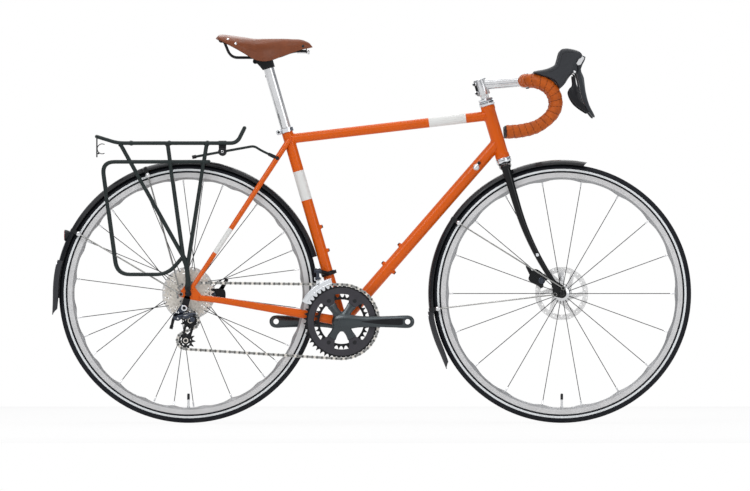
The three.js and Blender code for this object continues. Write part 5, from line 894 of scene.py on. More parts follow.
rear_lines = [rear_line(k) for k in range(REAR_SPOKES)]
make_tyre("front_tyre_skin", front_axle, "front_wheel", "front_tyre")
make_tyre("rear_tyre_skin", rear_axle, "rear_wheel", "rear_tyre")
make_rim("front_rim_skin", front_axle, "front_wheel", "front_rim", FRONT_SPOKES, 0)
make_rim("rear_rim_skin", rear_axle, "rear_wheel", "rear_rim", REAR_SPOKES, REAR_START)
make_hub("front_hub_skin", front_axle, "front_wheel", "front_hub", front_hub_profile, 39.5, front_lines)
make_hub("rear_hub_skin", rear_axle, "rear_wheel", "rear_hub", rear_hub_profile, 52.1, rear_lines)


def make_axle(name, axle, body, node, inner, outer):
    """A hollow axle's cones, its nut on the right and its cam housing on the left."""
    nut = outer + 0.3
    skin = wheel_piece(name, axle, "alloy", "dark_steel", "black_metal")
    skin.lathe(axle, ACROSS, [
        (0, -nut - 11), (3.2, -nut - 11), (5.6, -nut - 10.2), (6.6, -nut - 8.4), (6.8, -nut - 6.8),
        (8.2, -nut - 6), (8.5, -nut - 5), (8.5, -nut - 0.6), (8, -nut), (4.8, -nut), (4.8, 0)], 40, 2)
    skin.lathe(axle, ACROSS, [
        (0, nut + 4), (8, nut + 4), (9, nut + 3.2), (9, nut + 0.8), (8.4, nut), (4.8, nut), (4.8, 0)], 40)
    for side in SIDES:
        face = side * (inner - 0.3)
        skin.lathe(axle, ACROSS, [
            (4.8, face), (7.9, face), (8.4, face - side * 0.5), (8.4, face - side * 2.4),
            (5.4, face - side * 5)], 32, 1)
    skin.done(body, "axle", node)


def make_release(name, axle, body, node, outer):
    """The closed lever beside its cam housing, with a cupped blade."""
    hinge = axle + ACROSS * (outer + 9.1)
    lever = Piece(name, "alloy", "dark_steel", centre=hinge)
    lever.tube(through(hinge, AHEAD, 5.8, 5), [3.7, 4.4, 4.4, 3.7], 28)
    route = smooth([hinge + UP * 1, hinge + UP * 12, hinge + at(0, -0.6, 30), hinge + at(0, 0.2, 46),
                    hinge + at(0, 1.0, 60)], 6)
    count = len(route) - 1
    widths = [(1.9 + 0.5 * math.sin(math.pi * k / count), lerp(4.6, 6.3, eased(k / count)))
              for k in range(count)]
    lever.tube(route, widths + [(1.1, 4.2)], 24, up=ACROSS)
    lever.done(body, "release", node)


make_axle("front_axle_skin", front_axle, "steering", "front_axle", 50, FRONT_OUTER)
make_axle("rear_axle_skin", rear_axle, "frame", "rear_axle", 67.5, REAR_OUTER)
make_release("front_release_skin", front_axle, "front_release", "front_quick_release", FRONT_OUTER)
make_release("rear_release_skin", rear_axle, "rear_release", "rear_quick_release", REAR_OUTER)

# Chain and its wheels

LINKS = 108
REAR_LINE, RING_LINE = -54.5, -47.5
BIG_RING, SMALL_RING = 48, 34
CASSETTE = (11, 12, 14, 16, 18, 21, 24, 28, 32)
COG_OUTER, COG_STEP = 63.2, 4.35
guide_wheel = joint_place("guide_wheel_spin")
tension_wheel = joint_place("tension_wheel_spin")

# Each wheel on the chain's route: centre, teeth, turning sense and depth.
PULLEY_TEETH, CHAIN_COG = 11, 14
ROUTE = [(bracket, BIG_RING, 1, RING_LINE), (rear_axle, CHAIN_COG, 1, REAR_LINE),
         (guide_wheel, PULLEY_TEETH, -1, REAR_LINE), (tension_wheel, PULLEY_TEETH, 1, REAR_LINE)]


def straight_run(start_wheel, end_wheel):
    """Where the chain leaves one wheel and meets the next, and its heading."""
    (a, a_teeth, a_turn, a_y), (b, b_teeth, b_turn, b_y) = start_wheel, end_wheel
    a_radius, b_radius = pitch_radius(a_teeth), pitch_radius(b_teeth)
    span = math.hypot(b.x - a.x, b.z - a.z)
    heading = math.atan2(b.z - a.z, b.x - a.x) - math.asin((b_turn * b_radius - a_turn * a_radius) / span)
    left = at(-math.sin(heading), 0, math.cos(heading))
    start, end = a - left * a_turn * a_radius, b - left * b_turn * b_radius
    return beside(start, a_y), beside(end, b_y), heading


runs = [straight_run(ROUTE[k], ROUTE[(k + 1) % 4]) for k in range(4)]


def chain_samples():
    """Every stretch of the route as its length in links and a rule that gives place and heading."""
    for k, (start, end, heading) in enumerate(runs):
        across = math.hypot(end.x - start.x, end.z - start.z)
        yield across / CHAIN_PITCH, lambda t, s=start, e=end, h=heading: (s.lerp(e, t), h)
        centre, teeth, turn, y = ROUTE[(k + 1) % 4]
        sweep = (turn * (runs[(k + 1) % 4][2] - heading)) % (2 * math.pi)
        first = math.atan2(end.z - centre.z, end.x - centre.x)

        def bend(t, c=centre, r=pitch_radius(teeth), a=first, s=sweep, w=turn, h=heading, y=y):
            angle = a + w * s * t
            return at(c.x + r * math.cos(angle), y, c.z + r * math.sin(angle)), h + w * s * t

        yield sweep * teeth / (2 * math.pi), bend


stretches = list(chain_samples())
total_links = sum(length for length, _ in stretches)


def pin_at(count):
    left = count * total_links / LINKS
    for length, rule in stretches:
        if left <= length:
            return rule(left / length)
        left -= length
    return stretches[0][1](0)


pins = [pin_at(k) for k in range(LINKS)]


def tooth_phase(wheel):
    """The angle of the first pin that lies on a wheel."""
    centre, teeth, _, y = ROUTE[wheel]
    for place, _ in pins:
        off = place - centre
        if abs(math.hypot(off.x, off.z) - pitch_radius(teeth)) < 0.02 and abs(place.y - y) < 0.01:
            return math.degrees(math.atan2(off.z, off.x))
    return 0


def link_outline(end_radius, waist):
    return (arc(0, 0, end_radius, 52, 308, 8) + [(CHAIN_PITCH / 2, -waist)]
            + arc(CHAIN_PITCH, 0, end_radius, -128, 128, 8) + [(CHAIN_PITCH / 2, waist)])


chain = Piece("chain_skin", "steel", "dark_steel", "cog_steel")
for k, (place, heading) in enumerate(pins):
    after = pins[(k + 1) % LINKS][0]
    along = (after - place).normalized()
    up = along.cross(ACROSS).normalized() * -1
    outer = k % 2
    outline = link_outline(4.1, 3.1) if outer else link_outline(4.3, 3.4)
    inside, outside = (2.2, 3.0) if outer else (1.25, 2.1)
    for side in SIDES:
        low, high = depths(side, inside, outside)
        chain.plate(outline, low, high, put=about(place, along, up, ACROSS), mark=0 if outer else 2)
    chain.lathe(place, ACROSS, drum(3.8, -1.25, 1.25), 14, 1)
    chain.lathe(place, ACROSS, [
        (0, -3.35), (1.5, -3.35), (1.8, -3.1), (1.8, 3.1), (1.5, 3.35), (0, 3.35)], 10, 1)
chain.done("frame", "chain", "chain", sharp=40)

cassette = wheel_piece("cassette_skin", rear_axle, "cog_steel", "alloy", "black_metal")
for k, teeth in enumerate(CASSETTE):
    y = -(COG_OUTER - COG_STEP * k)
    reach = pitch_radius(teeth)
    holes = [circle(0, 0, 15 if teeth > 12 else 12)]
    if teeth > 20:
        holes += [arc(0, 0, reach - 9, a, a + 24, 5) + arc(0, 0, max(reach - 19, 24), a + 21, a + 3, 3)
                  for a in [45 * n + 5 * k for n in range(8)]]
    phase = tooth_phase(1) if teeth == CHAIN_COG else 11 * k
    cassette.plate(toothed(teeth, phase), y - 0.8, y + 0.8, holes, put=about(rear_axle, AHEAD, UP, ACROSS))
    if k:
        cassette.lathe(rear_axle, ACROSS, [
            (12.5, y - 3.6), (17.2, y - 3.6), (17.2, y - 0.7), (12.5, y - 0.7)], 48, 2, loop=True)
lockring = [(radius * math.cos(a), radius * math.sin(a)) for k, a in enumerate(full_turn(48))
            for radius in [10.4 if k % 4 < 2 else 11.6]]
cassette.washer(circle(0, 0, 16, 48), lockring, -66.2, -64, 0.4, 1, about(rear_axle, AHEAD, UP, ACROSS))
cassette.done("sprockets", "sprocket", "cassette", bevel=0.25)

# Cranks, chainrings and bottom bracket

ARM_ANGLES = (58, 122, 238, 302)
CRANK_LENGTH = 172.5
drive_plane = about(bracket, AHEAD, UP, ACROSS)


def angle_gap(a, b):
    return abs((a - b + 180) % 360 - 180)


def lobed(open_radius, lobe_radius, steps=240):
    """The inside of a ring that reaches in to meet the crank's four arms."""
    outline = []
    for k in range(steps):
        degrees = 360 * k / steps
        near = min(angle_gap(degrees, arm) for arm in ARM_ANGLES)
        outline.append(polar(lerp(open_radius, lobe_radius, eased((17.5 - near) / 7.5)), degrees))
    return outline


def carve(thing, cutters):
    """Cuts each of the closed pieces out of a finished one."""
    others = []
    for cutter in cutters:
        mesh = bpy.data.meshes.new("cutter")
        mesh.from_pydata([(p - cutter.centre + SHIFT) * MM for p in cutter.places], [], cutter.faces)
        mesh.validate()
        cleaned(mesh)
        other = placed("cutter", mesh)
        cut = thing.modifiers.new("hole", "BOOLEAN")
        cut.object, cut.operation, cut.solver = other, "DIFFERENCE", "EXACT"
        others.append(other)
    view = bpy.context.evaluated_depsgraph_get()
    view.update()
    shaped = bpy.data.meshes.new_from_object(thing.evaluated_get(view))
    thing.modifiers.clear()
    thing.data = shaped
    for other in others:
        bpy.data.objects.remove(other)


def drill(thing, *holes):
    """Cuts round holes, each a foot, an axis, a radius and a depth, through a finished piece."""
    carve(thing, [
        Piece("cutter").lathe(foot, axis, drum(radius, -depth, depth), 40)
        for foot, axis, radius, depth in holes])


def on_crank(radius, degrees, y):
    """A place on a circle about the bottom bracket, at a depth."""
    x, z = polar(radius, degrees)
    return bracket + at(x, y, z)


ring = wheel_piece("large_chainring_skin", bracket, "ring_alloy", "black_metal", "dark_steel", "alloy")
ring.washer([polar(89.5, 1.5 * k) for k in range(240)], lobed(72.5, 47), -50.6, -46.8, 1.0, 0, drive_plane)
teeth = toothed(BIG_RING, tooth_phase(0))
inside = [tuple(Vector(p).normalized() * 84) for p in teeth]
ring.washer(teeth, inside, -48.45, -46.55, 0.25, 1, drive_plane)
ring.washer([polar(91.5, 1.5 * k) for k in range(240)], [polar(86, 1.5 * k) for k in range(240)],
            -49.9, -46.7, 0.8, 1, drive_plane)
for arm in ARM_ANGLES:
    ring.bolt(on_crank(64, arm, -50.4), -ACROSS, 5.4, 1.1, 2, 0.62)
    ring.lathe(on_crank(64, arm, -46.8), ACROSS, [(0, 0), (5, 0), (5, 4.3), (4.4, 5), (0, 5)], 24, 2)
for k in range(6):
    ring.lathe(on_crank(81, 60 * k + 15, -46.9), ACROSS, drum(2.2, 0, 1.4), 12, 3)
ring.done("cranks", "ring", "large_chainring")

small = wheel_piece("small_chainring_skin", bracket, "black_metal")
small_teeth = toothed(SMALL_RING, 4)
small_inside = [tuple(Vector(p).normalized() * 58) for p in small_teeth]
small.washer(small_teeth, small_inside, -41.45, -39.55, 0.2, 0, drive_plane)
for arm in ARM_ANGLES:
    small.plate(strap(*polar(59, arm), 6.5, *polar(66, arm), 5), -43.6, -39.8, put=drive_plane)
small.done("cranks", "ring", "small_chainring")

# Places along the arm, with its half height, half thickness and the depth of its middle.
ARM_STATIONS = [
    (-23, 4, 3, 55.5), (-19, 12, 6.2, 56), (-10, 18, 7.8, 56.5), (4, 20.5, 8.4, 57), (20, 19.5, 8.4, 57.6),
    (34, 17, 8, 58.4), (50, 15.2, 7.4, 59.6), (75, 14.4, 6.8, 61.4), (105, 14.8, 6.4, 63.4),
    (135, 15.6, 6.2, 65.2), (155, 16.6, 6.2, 66.4), (172.5, 17, 6.2, 67), (182, 14.6, 5.8, 67),
    (188, 8.6, 4.4, 67), (190, 3, 2.6, 67)]
# Places along the panel, with its half height and the depth of its middle.
ARM_PANEL = [
    (52, 1.4, 66.15), (78, 4.6, 67.5), (105, 6.9, 68.9), (135, 8.4, 70.5), (152, 8.8, 71.5), (160, 7.2, 71.9)]


def add_panel(piece, side, reach, mark):
    """The dark flat that widens along an arm's outer face."""
    rows = smooth(ARM_PANEL, 4)
    piece.tube([bracket + at(reach * x, side * depth, 0) for x, _, depth in rows],
               [(1.25, wide) for _, wide, _ in rows], 24, mark, up=ACROSS)


def add_arm(piece, side, reach):
    """One crank arm. Reach is 1 for an arm that points forwards."""
    rows = smooth(ARM_STATIONS, 4)
    piece.tube([bracket + at(reach * x, side * depth, 0) for x, _, _, depth in rows],
               [(thick, high) for _, high, thick, _ in rows], 40, up=ACROSS)
    return piece


# Places along an arm of the spider: radius, depth, half width and half thickness.
SPIDER_ARM = [
    (0, 56, 14, 7), (20, 54.6, 12.2, 6.2), (34, 52.6, 10.6, 5.2), (44, 51, 11.6, 4.4), (51, 50.4, 13, 3.4)]
EYE_WASHER = ((7.0, 73.4), (8.6, 73.4), (8.8, 72.9), (8.8, 72), (7.0, 72))

right = wheel_piece("right_crank_skin", bracket, "crank_alloy")
add_arm(right, -1, 1)
for arm in ARM_ANGLES:
    lean = 4 * (1 if math.cos(math.radians(arm)) > 0 else -1)
    rows = smooth(SPIDER_ARM, 4)
    right.tube([bracket + at(*polar(reach, arm + lean * (1 - reach / 51)), 0).xzy - ACROSS * depth
                for reach, depth, _, _ in rows],
               [(thick, wide) for _, _, wide, thick in rows], 28, up=ACROSS)
right.lathe(bracket, ACROSS, [(0, -62), (20, -60), (26, -54), (26, -46.4), (0, -46.4)], 48)
right_crank = right.done("cranks", "crank", "right_crank", fuse=1.15, melt=10)
eye = bracket + AHEAD * CRANK_LENGTH
drill(right_crank, (eye - ACROSS * 67, ACROSS, 7.1, 14))
trim = wheel_piece("right_crank_trim", bracket, "alloy", "dark_steel", "black_metal")
trim.lathe(eye, ACROSS, [(radius, -y) for radius, y in EYE_WASHER], 40, 1, loop=True)
add_panel(trim, -1, 1, 2)
trim.lathe(bracket, ACROSS, [(11.9, -46), (12, 52), (9, 53), (0, 53), (0, -46)], 40, 0)
trim.done("cranks", "crank", "right_crank")

left = wheel_piece("left_crank_skin", bracket, "crank_alloy")
add_arm(left, 1, -1)
left.lathe(bracket, ACROSS, [(0, 62), (17, 62), (20, 60), (20, 44.6), (0, 44.6)], 48)
left_crank = left.done("cranks", "crank", "left_crank", fuse=1.3, melt=10)
left_eye = bracket - AHEAD * CRANK_LENGTH
drill(left_crank, (left_eye + ACROSS * 67, ACROSS, 7.1, 14))
left_trim = wheel_piece("left_crank_trim", bracket, "black_plastic", "dark_steel", "alloy")
left_trim.washer(circle(0, 0, 11.5, 48), [polar(7.4 if k % 6 < 3 else 8.4, 7.5 * k) for k in range(1, 49)],
                 62.4, 66.6, 0.6, 0, drive_plane)
left_trim.lathe(bracket, ACROSS, drum(8, 62.8, 62), 32, 2)
add_panel(left_trim, 1, -1, 0)
for y in (51, 59):
    left_trim.bolt(bracket + at(6, y, 19.4), UP, 3.6, 2.2, 2)
left_trim.lathe(left_eye, ACROSS, EYE_WASHER, 40, 1, loop=True)
left_trim.done("cranks", "crank", "left_crank")

cups = wheel_piece("bottom_bracket_skin", bracket, "black_metal", "alloy")
for side in SIDES:
    notched = [polar(21.9 if k % 6 < 3 else 20.6, 3.75 * k) for k in range(96)]
    low, high = depths(side, 34.3, 41.2)
    cups.washer(notched, circle(0, 0, 13, 96), low, high, 0.5, 0, drive_plane)
    cups.lathe(bracket, ACROSS, [
        (12.3, side * 41.2), (16, side * 41.3), (16.4, side * 40.8), (12.3, side * 40.6)], 48, 1, loop=True)
cups.lathe(bracket, ACROSS, [(17, -34.3), (17, 34.3), (16, 34.3), (16, -34.3)], 40, 0, loop=True)
cups.done("frame", "black_paint", "bottom_bracket")

# Fork and headset

FORK_LENGTH, FORK_OFFSET = 384.3, 46.5
CROWN_SPREAD, TIP_SPREAD = 34.5, 53.3
CROWN_HIGH, BLADE_END = 371, 0.965


def blade_centre(share, side):
    bend = max(0.0, (share - 0.3) / 0.7)
    place = on_head((FORK_LENGTH - 24.3) * (1 - share), FORK_OFFSET * bend * bend)
    return at(place.x, side * lerp(CROWN_SPREAD, TIP_SPREAD, share), place.z)


fork = Piece("fork_skin", "black_gloss", "chrome", "dark_steel", centre=on_head(CROWN_HIGH))
for side in SIDES:
    shares = [BLADE_END * k / 40 for k in range(41)]
    fork.tube([blade_centre(s, side) for s in shares],
              [(lerp(7.6, 5.6, s), lerp(11.6, 5.8, s ** 0.8)) for s in shares], 32, up=ACROSS)
    low, high = depths(side, FRONT_INNER, FRONT_OUTER)
    tip = blade_centre(0.905, side)
    fork.plate(wrapped([disc(front_axle, 12), disc(tip, 6),
                        (front_axle.x + 3, front_axle.z + 14, 6),
                        (front_axle.x - 18, front_axle.z - 3, 5.5)]),
               low, high, [circle(front_axle.x, front_axle.z, 5.2)])
    eyelet = blade_centre(0.68, side)
    fork.tube([eyelet, eyelet + ACROSS * side * 8.6, eyelet + ACROSS * side * 9], [5.6, 5.4, 4.8], 20)
    fork.bolt(eyelet + ACROSS * side * 9, ACROSS * side, 4.4, 2.4, 1)
    fork.bolt(at(front_axle.x - 18, side * FRONT_OUTER, front_axle.z - 3), ACROSS * side, 4, 1.8, 1)
crown_rows = smooth([(-42, 9, 5.5, -4.5), (-38, 12.6, 8.2, -4), (-30, 14.6, 9.6, -2.4), (-14, 16, 9.8, 0),
                     (0, 16.8, 9.8, 0), (14, 16, 9.8, 0), (30, 14.6, 9.6, -2.4), (38, 12.6, 8.2, -4),
                     (42, 9, 5.5, -4.5)], 4)
fork.tube([on_head(362 + drop, 0, y) for y, _, _, drop in crown_rows],
          [(deep, high) for _, deep, high, _ in crown_rows], 32, up=head_ahead)
fork.lathe(head_foot, head_up, [
    (0, 355), (15, 362), (17, 369), (19.4, 371.4), (20.2, 372.6), (20.2, 377.4), (19.4, 377.8), (12.9, 377.8),
    (12.7, 400), (12.7, 545), (11.4, 545), (11.4, 400)], 48, [0, 0, 0, 1, 1, 1, 1, 2, 2, 2, 2])
fork.bolt(on_head(354), -head_up, 5, 3, 1)
fork.done("steering", "black_paint", "fork", sharp=50)

headset = {
    "headset_lower_cup_skin": ("headset_lower_cup", [
        (15, 396), (15, 384), (20.3, 384), (20.6, 383.2), (20.6, 381), (19.6, 380.2), (19.6, 379.4),
        (20.4, 378.8), (20, 378), (13.4, 378), (13.4, 396)]),
    "headset_upper_cup_skin": ("headset_upper_cup", [
        (15, 514.8), (15, 526.8), (18.6, 526.8), (20.3, 527.8), (20.6, 528.8), (20.6, 531.4), (20, 532.2),
        (13.4, 532.2), (13.4, 514.8)])}
for name, (node, profile) in headset.items():
    cup = Piece(name, "chrome", centre=on_head(profile[2][1]))
    cup.lathe(head_foot, head_up, profile, 64, loop=True)
    cup.done("frame", "chrome", node)

nut = Piece("headset_locknut_skin", "chrome", "dark_steel", centre=on_head(540))
nut.lathe(head_foot, head_up, [
    (13.1, 532.7), (19.6, 532.7), (20.2, 533.3), (20.2, 534.4), (19.2, 535), (19.2, 536), (20.2, 536.6),
    (20.2, 538), (19.2, 538.8), (16.6, 539.2), (16.6, 540), (13.1, 540)],
    64, [0, 0, 0, 0, 1, 0, 0, 0, 0, 1, 1, 1], loop=True)
nut_plane = about(head_foot, head_ahead, ACROSS, head_up)
hexagon = [polar(18.9 / max(math.cos(math.radians((a + 30) % 60 - 30)), 0.9), a) for a in range(0, 360, 6)]
nut.washer(hexagon, [polar(13.2, a) for a in range(0, 360, 6)], 539.6, 546, 0.9, 0, nut_plane)
nut.done("steering", "chrome", "headset_locknut")

# Stem and handlebar

STEM_RISE = math.radians(4.65)
stem_start = on_head(585)
stem_along = at(math.cos(STEM_RISE), 0, math.sin(STEM_RISE))
stem_up = at(-stem_along.z, 0, stem_along.x)
bar_centre = stem_start + stem_along * 114.5

stem = Piece("stem_skin", "alloy", "dark_steel", "chrome", centre=stem_start)
stem.lathe(head_foot, head_up, [
    (0, 472), (10.4, 472), (11.1, 474), (11.1, 553), (11.6, 555.4), (15.6, 556), (16.5, 557.2), (16.5, 597.6),
    (15.9, 599.3), (14, 600), (6.2, 600), (5.4, 599), (5.4, 594), (0, 594)], 64)


def stem_section(share):
    """An oval with a shallow groove along each side."""
    high, wide = lerp(14.6, 13.4, share), lerp(13, 12, share)
    middle = stem_start.lerp(bar_centre, share)
    points = []
    for k in range(64):
        turn = 2 * math.pi * (k + 0.5) / 64
        dip = 0.9 * max(0.0, 1 - abs(math.sin(turn)) / 0.17) ** 0.5
        points.append(middle + stem_up * high * math.sin(turn)
                      + ACROSS * (wide - dip) * math.copysign(abs(math.cos(turn)) ** 0.8, math.cos(turn)))
    return points


stem.skin([stem_section(0.04 + 0.9 * k / 8) for k in range(9)])
stem.lathe(bar_centre, ACROSS, [
    (12.3, -21), (17, -21), (18.4, -20), (18.6, -18.6), (18.6, 18.6), (18.4, 20), (17, 21), (12.3, 21)],
    64, loop=True)
for side in SIDES:
    stem.bolt(bar_centre - stem_up * 17.4 + ACROSS * side * 12 + stem_along * 6, -stem_up, 4.4, 3.4, 1)
    stem.bolt(bar_centre + stem_up * 17.4 + ACROSS * side * 12 + stem_along * 6, stem_up, 4.4, 2.6, 2)
for share in (0.22, 0.78):
    middle = on_head(lerp(556, 600, share), -17.2)
    stem.tube(through(middle, ACROSS, 12.6, 12), [4.2, 5.1, 5.1, 4.2], 28)
    stem.bolt(middle - ACROSS * 12.4, -ACROSS, 3.6, 2.6, 1)
    stem.bolt(middle + ACROSS * 12.4, ACROSS, 3.4, 1.6, 2)
stem.block(on_head(578, -17), (1.2, 27, 38), 1, (head_ahead, ACROSS, head_up))
stem.done("steering", "stem_metal", "stem")

BAR_RADIUS, BAR_LENGTH, BAR_DROP, BAR_HALF = 12, 81, 133.6, 210
BAR_SHARES = (
    (0.04, -0.79, 0), (0.15, -0.92, 0), (0.36, -0.99, -0.004), (0.66, -1, -0.069), (0.89, -1, -0.196),
    (1, -1, -0.39), (0.95, -1.005, -0.58), (0.74, -1.01, -0.745), (0.36, -1.018, -0.9),
    (-0.146, -1.025, -0.98), (-0.6, -1.03, -1))
bar_route = [bar_centre - ACROSS * 38, bar_centre - ACROSS * 84, bar_centre - ACROSS * 130]
bar_route += [bar_centre + at(x * BAR_LENGTH, y * BAR_HALF, z * BAR_DROP) for x, y, z in BAR_SHARES]


def even(route, step):
    """The same route with its points a fixed step apart."""
    lengths = [0.0]
    for a, b in zip(route, route[1:]):
        lengths.append(lengths[-1] + (b - a).length)
    count = max(round(lengths[-1] / step), 2)
    result, k = [], 0
    for n in range(count + 1):
        wanted = lengths[-1] * n / count
        while k < len(route) - 2 and lengths[k + 1] < wanted:
            k += 1
        share = (wanted - lengths[k]) / max(lengths[k + 1] - lengths[k], 1e-9)
        result.append(route[k].lerp(route[k + 1], min(share, 1)))
    return result


half_bar = smooth(bar_route, 8)
bar = Piece("handlebar_skin", "alloy", "dark_steel", "black_plastic", centre=bar_centre)
bar.tube([bar_centre, *half_bar], BAR_RADIUS, 32)
bar.tube([bar_centre, bar_centre - ACROSS * 24, bar_centre - ACROSS * 31, bar_centre - ACROSS * 38],
         [12.2, 12.2, 12.05, 12], 32)
bar_end, out = half_bar[-1], (half_bar[-1] - half_bar[-2]).normalized()
bar.lathe(bar_end, out, [
    (0, 0.4), (15.4, 0.4), (15.8, 1.2), (15.6, 3.6), (14.4, 5), (10, 5.3), (9, 4.6), (0, 4.6)], 40, 2)
bar.mirrored()
bar.done("steering", "stem_metal", "handlebar")

TAPE_PITCH, TAPE_STEP = 17.0, 1.6


def tape_skin(side):
    """Tape wound round the bar: each turn lies on the one before and its edge climbs round the bar, with
    painted shade along each turn's edge.
    """
    route = [beside(p, -side * p.y) for p in even(half_bar, TAPE_STEP)]
    steps, length, sides = len(route), 0.0, 44
    tape = Piece("bar_tape_right_skin" if side < 0 else "bar_tape_left_skin", "tape", "tape_seam_shade",
                 centre=route[0])
    normal, rings, seam_shade = UP, [], []
    for k, place in enumerate(route):
        heading = (route[min(k + 1, steps - 1)] - route[max(k - 1, 0)]).normalized()
        normal = (normal - heading * normal.dot(heading)).normalized()
        other = heading.cross(normal)
        row = []
        for n in range(sides):
            share = n / sides
            turn = (length / TAPE_PITCH + side * share) % 1
            wrap = int(length / TAPE_PITCH + side * share)
            rise = 15.5 + 1.7 * turn ** 0.5 * min(1, (1 - turn) / 0.07) + 0.3 * math.sin(7 * wrap + 9 * share)
            crease = 0.3 * math.sin(13 * turn + 5 * wrap) * math.sin(6.28 * share * 3 + wrap)
            # The faces at each turn's edge take the darker finish: painted shade in the step between turns.
            seam_shade.append(1 if turn < 0.05 or turn > 0.97 else 0)
            angle = 2 * math.pi * share
            row.append(place + (normal * math.cos(angle) + other * math.sin(angle)) * (rise + crease))
        rings.append(row)
        length += TAPE_STEP
    tape.skin(rings, 0)
    tape.marks[:len(seam_shade) - sides] = seam_shade[:-sides]
    tape.done("steering", "bar_tape", "bar_tape_right" if side < 0 else "bar_tape_left", sharp=70)


for side in SIDES:
    tape_skin(side)

# Brake and shift levers

lever_pivot = {-1: joint_place("right_brake_pull"), 1: joint_place("left_brake_pull")}
LEVER_LENGTH = 152
HOOD_SHARES = (
    (0.14, 0.34), (0.4, 0.5), (0.56, 0.68), (0.61, 0.92), (0.655, 1.28), (0.73, 1.38), (0.86, 1.37),
    (1.03, 1.25), (1.08, 1.02), (0.97, 0.8), (0.93, 0.42), (0.82, 0.1), (0.74, -0.18), (0.64, -0.34),
    (0.53, 0))
LEVER_SHARES = (
    (0.13, 0.01), (0.05, -0.2), (0.1, -0.35), (0.13, -0.58), (0.19, -0.81), (0.285, -1), (0.255, -1.025),
    (0.155, -0.9), (0.075, -0.73), (0.03, -0.55), (0, -0.38), (-0.05, -0.2), (-0.045, 0.01))
PADDLE_SHARES = (
    (-0.09, -0.31), (-0.055, -0.315), (-0.03, -0.45), (0.008, -0.56), (0.05, -0.73), (0.13, -0.85),
    (0.185, -0.925), (0.165, -0.95), (0.1, -0.915), (0.02, -0.86), (-0.06, -0.79), (-0.125, -0.69),
    (-0.155, -0.59), (-0.125, -0.515), (-0.08, -0.455))
HOOD_LENGTH, HOOD_HEIGHT = 138, 60
# Corners of the lever's cover plate and of the panel in the hood's mouth, from the lever's pivot.
COVER_CORNERS = ((7, 6), (17, -1), (7, -19), (-1, -21), (-5, -16))
PANEL_CORNERS = ((-28, -28), (-6, -2), (-4, -18), (-2, -34), (-9, -44))


def inset(outline, distance):
    """Moves a closed outline inwards."""
    area = sum(a[0] * b[1] - b[0] * a[1] for a, b in zip(outline, outline[1:] + outline[:1]))
    sign = 1 if area > 0 else -1
    moved = []
    for k, (x, z) in enumerate(outline):
        (ax, az), (bx, bz) = outline[k - 1], outline[(k + 1) % len(outline)]
        run = math.hypot(bx - ax, bz - az) or 1
        moved.append((x - sign * (bz - az) / run * distance, z + sign * (bx - ax) / run * distance))
    return moved


def pillow(piece, outline, middle, half, soft, mark=0, steps=10):
    """A body with rounded flanks between two depths."""
    rings = []
    for k in range(steps + 1):
        turn = math.pi * (k / steps - 0.5)
        y = middle + half * math.sin(turn)
        rings.append([at(x, y, z) for x, z in inset(outline, soft * (1 - math.cos(turn)))])
    return piece.skin(rings, mark)


def curved(shares, origin, width, height, steps=4):
    return loop_through([(origin.x + x * width, origin.z + z * height) for x, z in shares], steps)


for side, name in ((-1, "right"), (1, "left")):
    pivot, y = lever_pivot[side], side * BAR_HALF
    hood = Piece(f"lever_hood_{name}_skin", "hood_rubber", centre=pivot)
    pillow(hood, curved(HOOD_SHARES, bar_centre, HOOD_LENGTH, HOOD_HEIGHT), y, 16.6, 7.5, steps=14)
    top_line = smooth([bar_centre + at(x * HOOD_LENGTH, 0, z * HOOD_HEIGHT) for x, z in HOOD_SHARES[1:7]], 5)
    metal = Piece(f"lever_trim_{name}", "lever_alloy", "alloy", "dark_steel", "hood_rubber", "black_plastic",
                  centre=pivot)
    for flank in SIDES:
        seam = [at(p.x + 5, y + flank * 12.6, p.z - 8) for p in top_line]
        hood.tube(seam, [2.2 + 0.8 * math.sin(math.pi * k / (len(seam) - 1)) for k in range(len(seam))], 14)
        metal.tube([at(p.x + 6.5, y + flank * 16.5, p.z - 9.5) for p in top_line], 0.55, 8, 4)
    hood.done("steering", "hood", f"lever_hood_{name}", fuse=1.3, melt=5)
    for flank in SIDES:
        metal.plate(steps_from(pivot, *PANEL_CORNERS), *sorted((y + flank * 10.6, y + flank * 15.6)))
    pin = pivot + at(-9, 0, -38)
    metal.tube(through(pin, ACROSS, 16.6, 16.2), [2.6, 3.2, 3.2, 2.6], 20, 1)
    metal.done("steering", "hood", f"lever_hood_{name}", bevel=0.8)
    blade = Piece(f"brake_lever_{name}_skin", "lever_alloy", "alloy", centre=pivot)
    pillow(blade, curved(LEVER_SHARES, pivot, LEVER_LENGTH, LEVER_LENGTH, 3), y, 6.3, 2.2, steps=8)
    blade.done(f"{name}_brake_lever", "lever", f"brake_lever_{name}", sharp=60)
    cap = Piece(f"brake_lever_{name}_cap", "alloy", centre=pivot)
    cap.plate(steps_from(pivot, *COVER_CORNERS), y - 8, y + 8)
    cap.done(f"{name}_brake_lever", "lever", f"brake_lever_{name}", bevel=0.8)
    paddle = Piece(f"shift_lever_{name}_skin", "black_metal", centre=joint_place(f"{name}_shift_swing"))
    pillow(paddle, curved(PADDLE_SHARES, pivot, LEVER_LENGTH, LEVER_LENGTH), y, 2.2, 0.8, steps=6)
    paddle.done(f"{name}_shift_lever", "lever", f"shift_lever_{name}", sharp=60)

# Saddle and seatpost

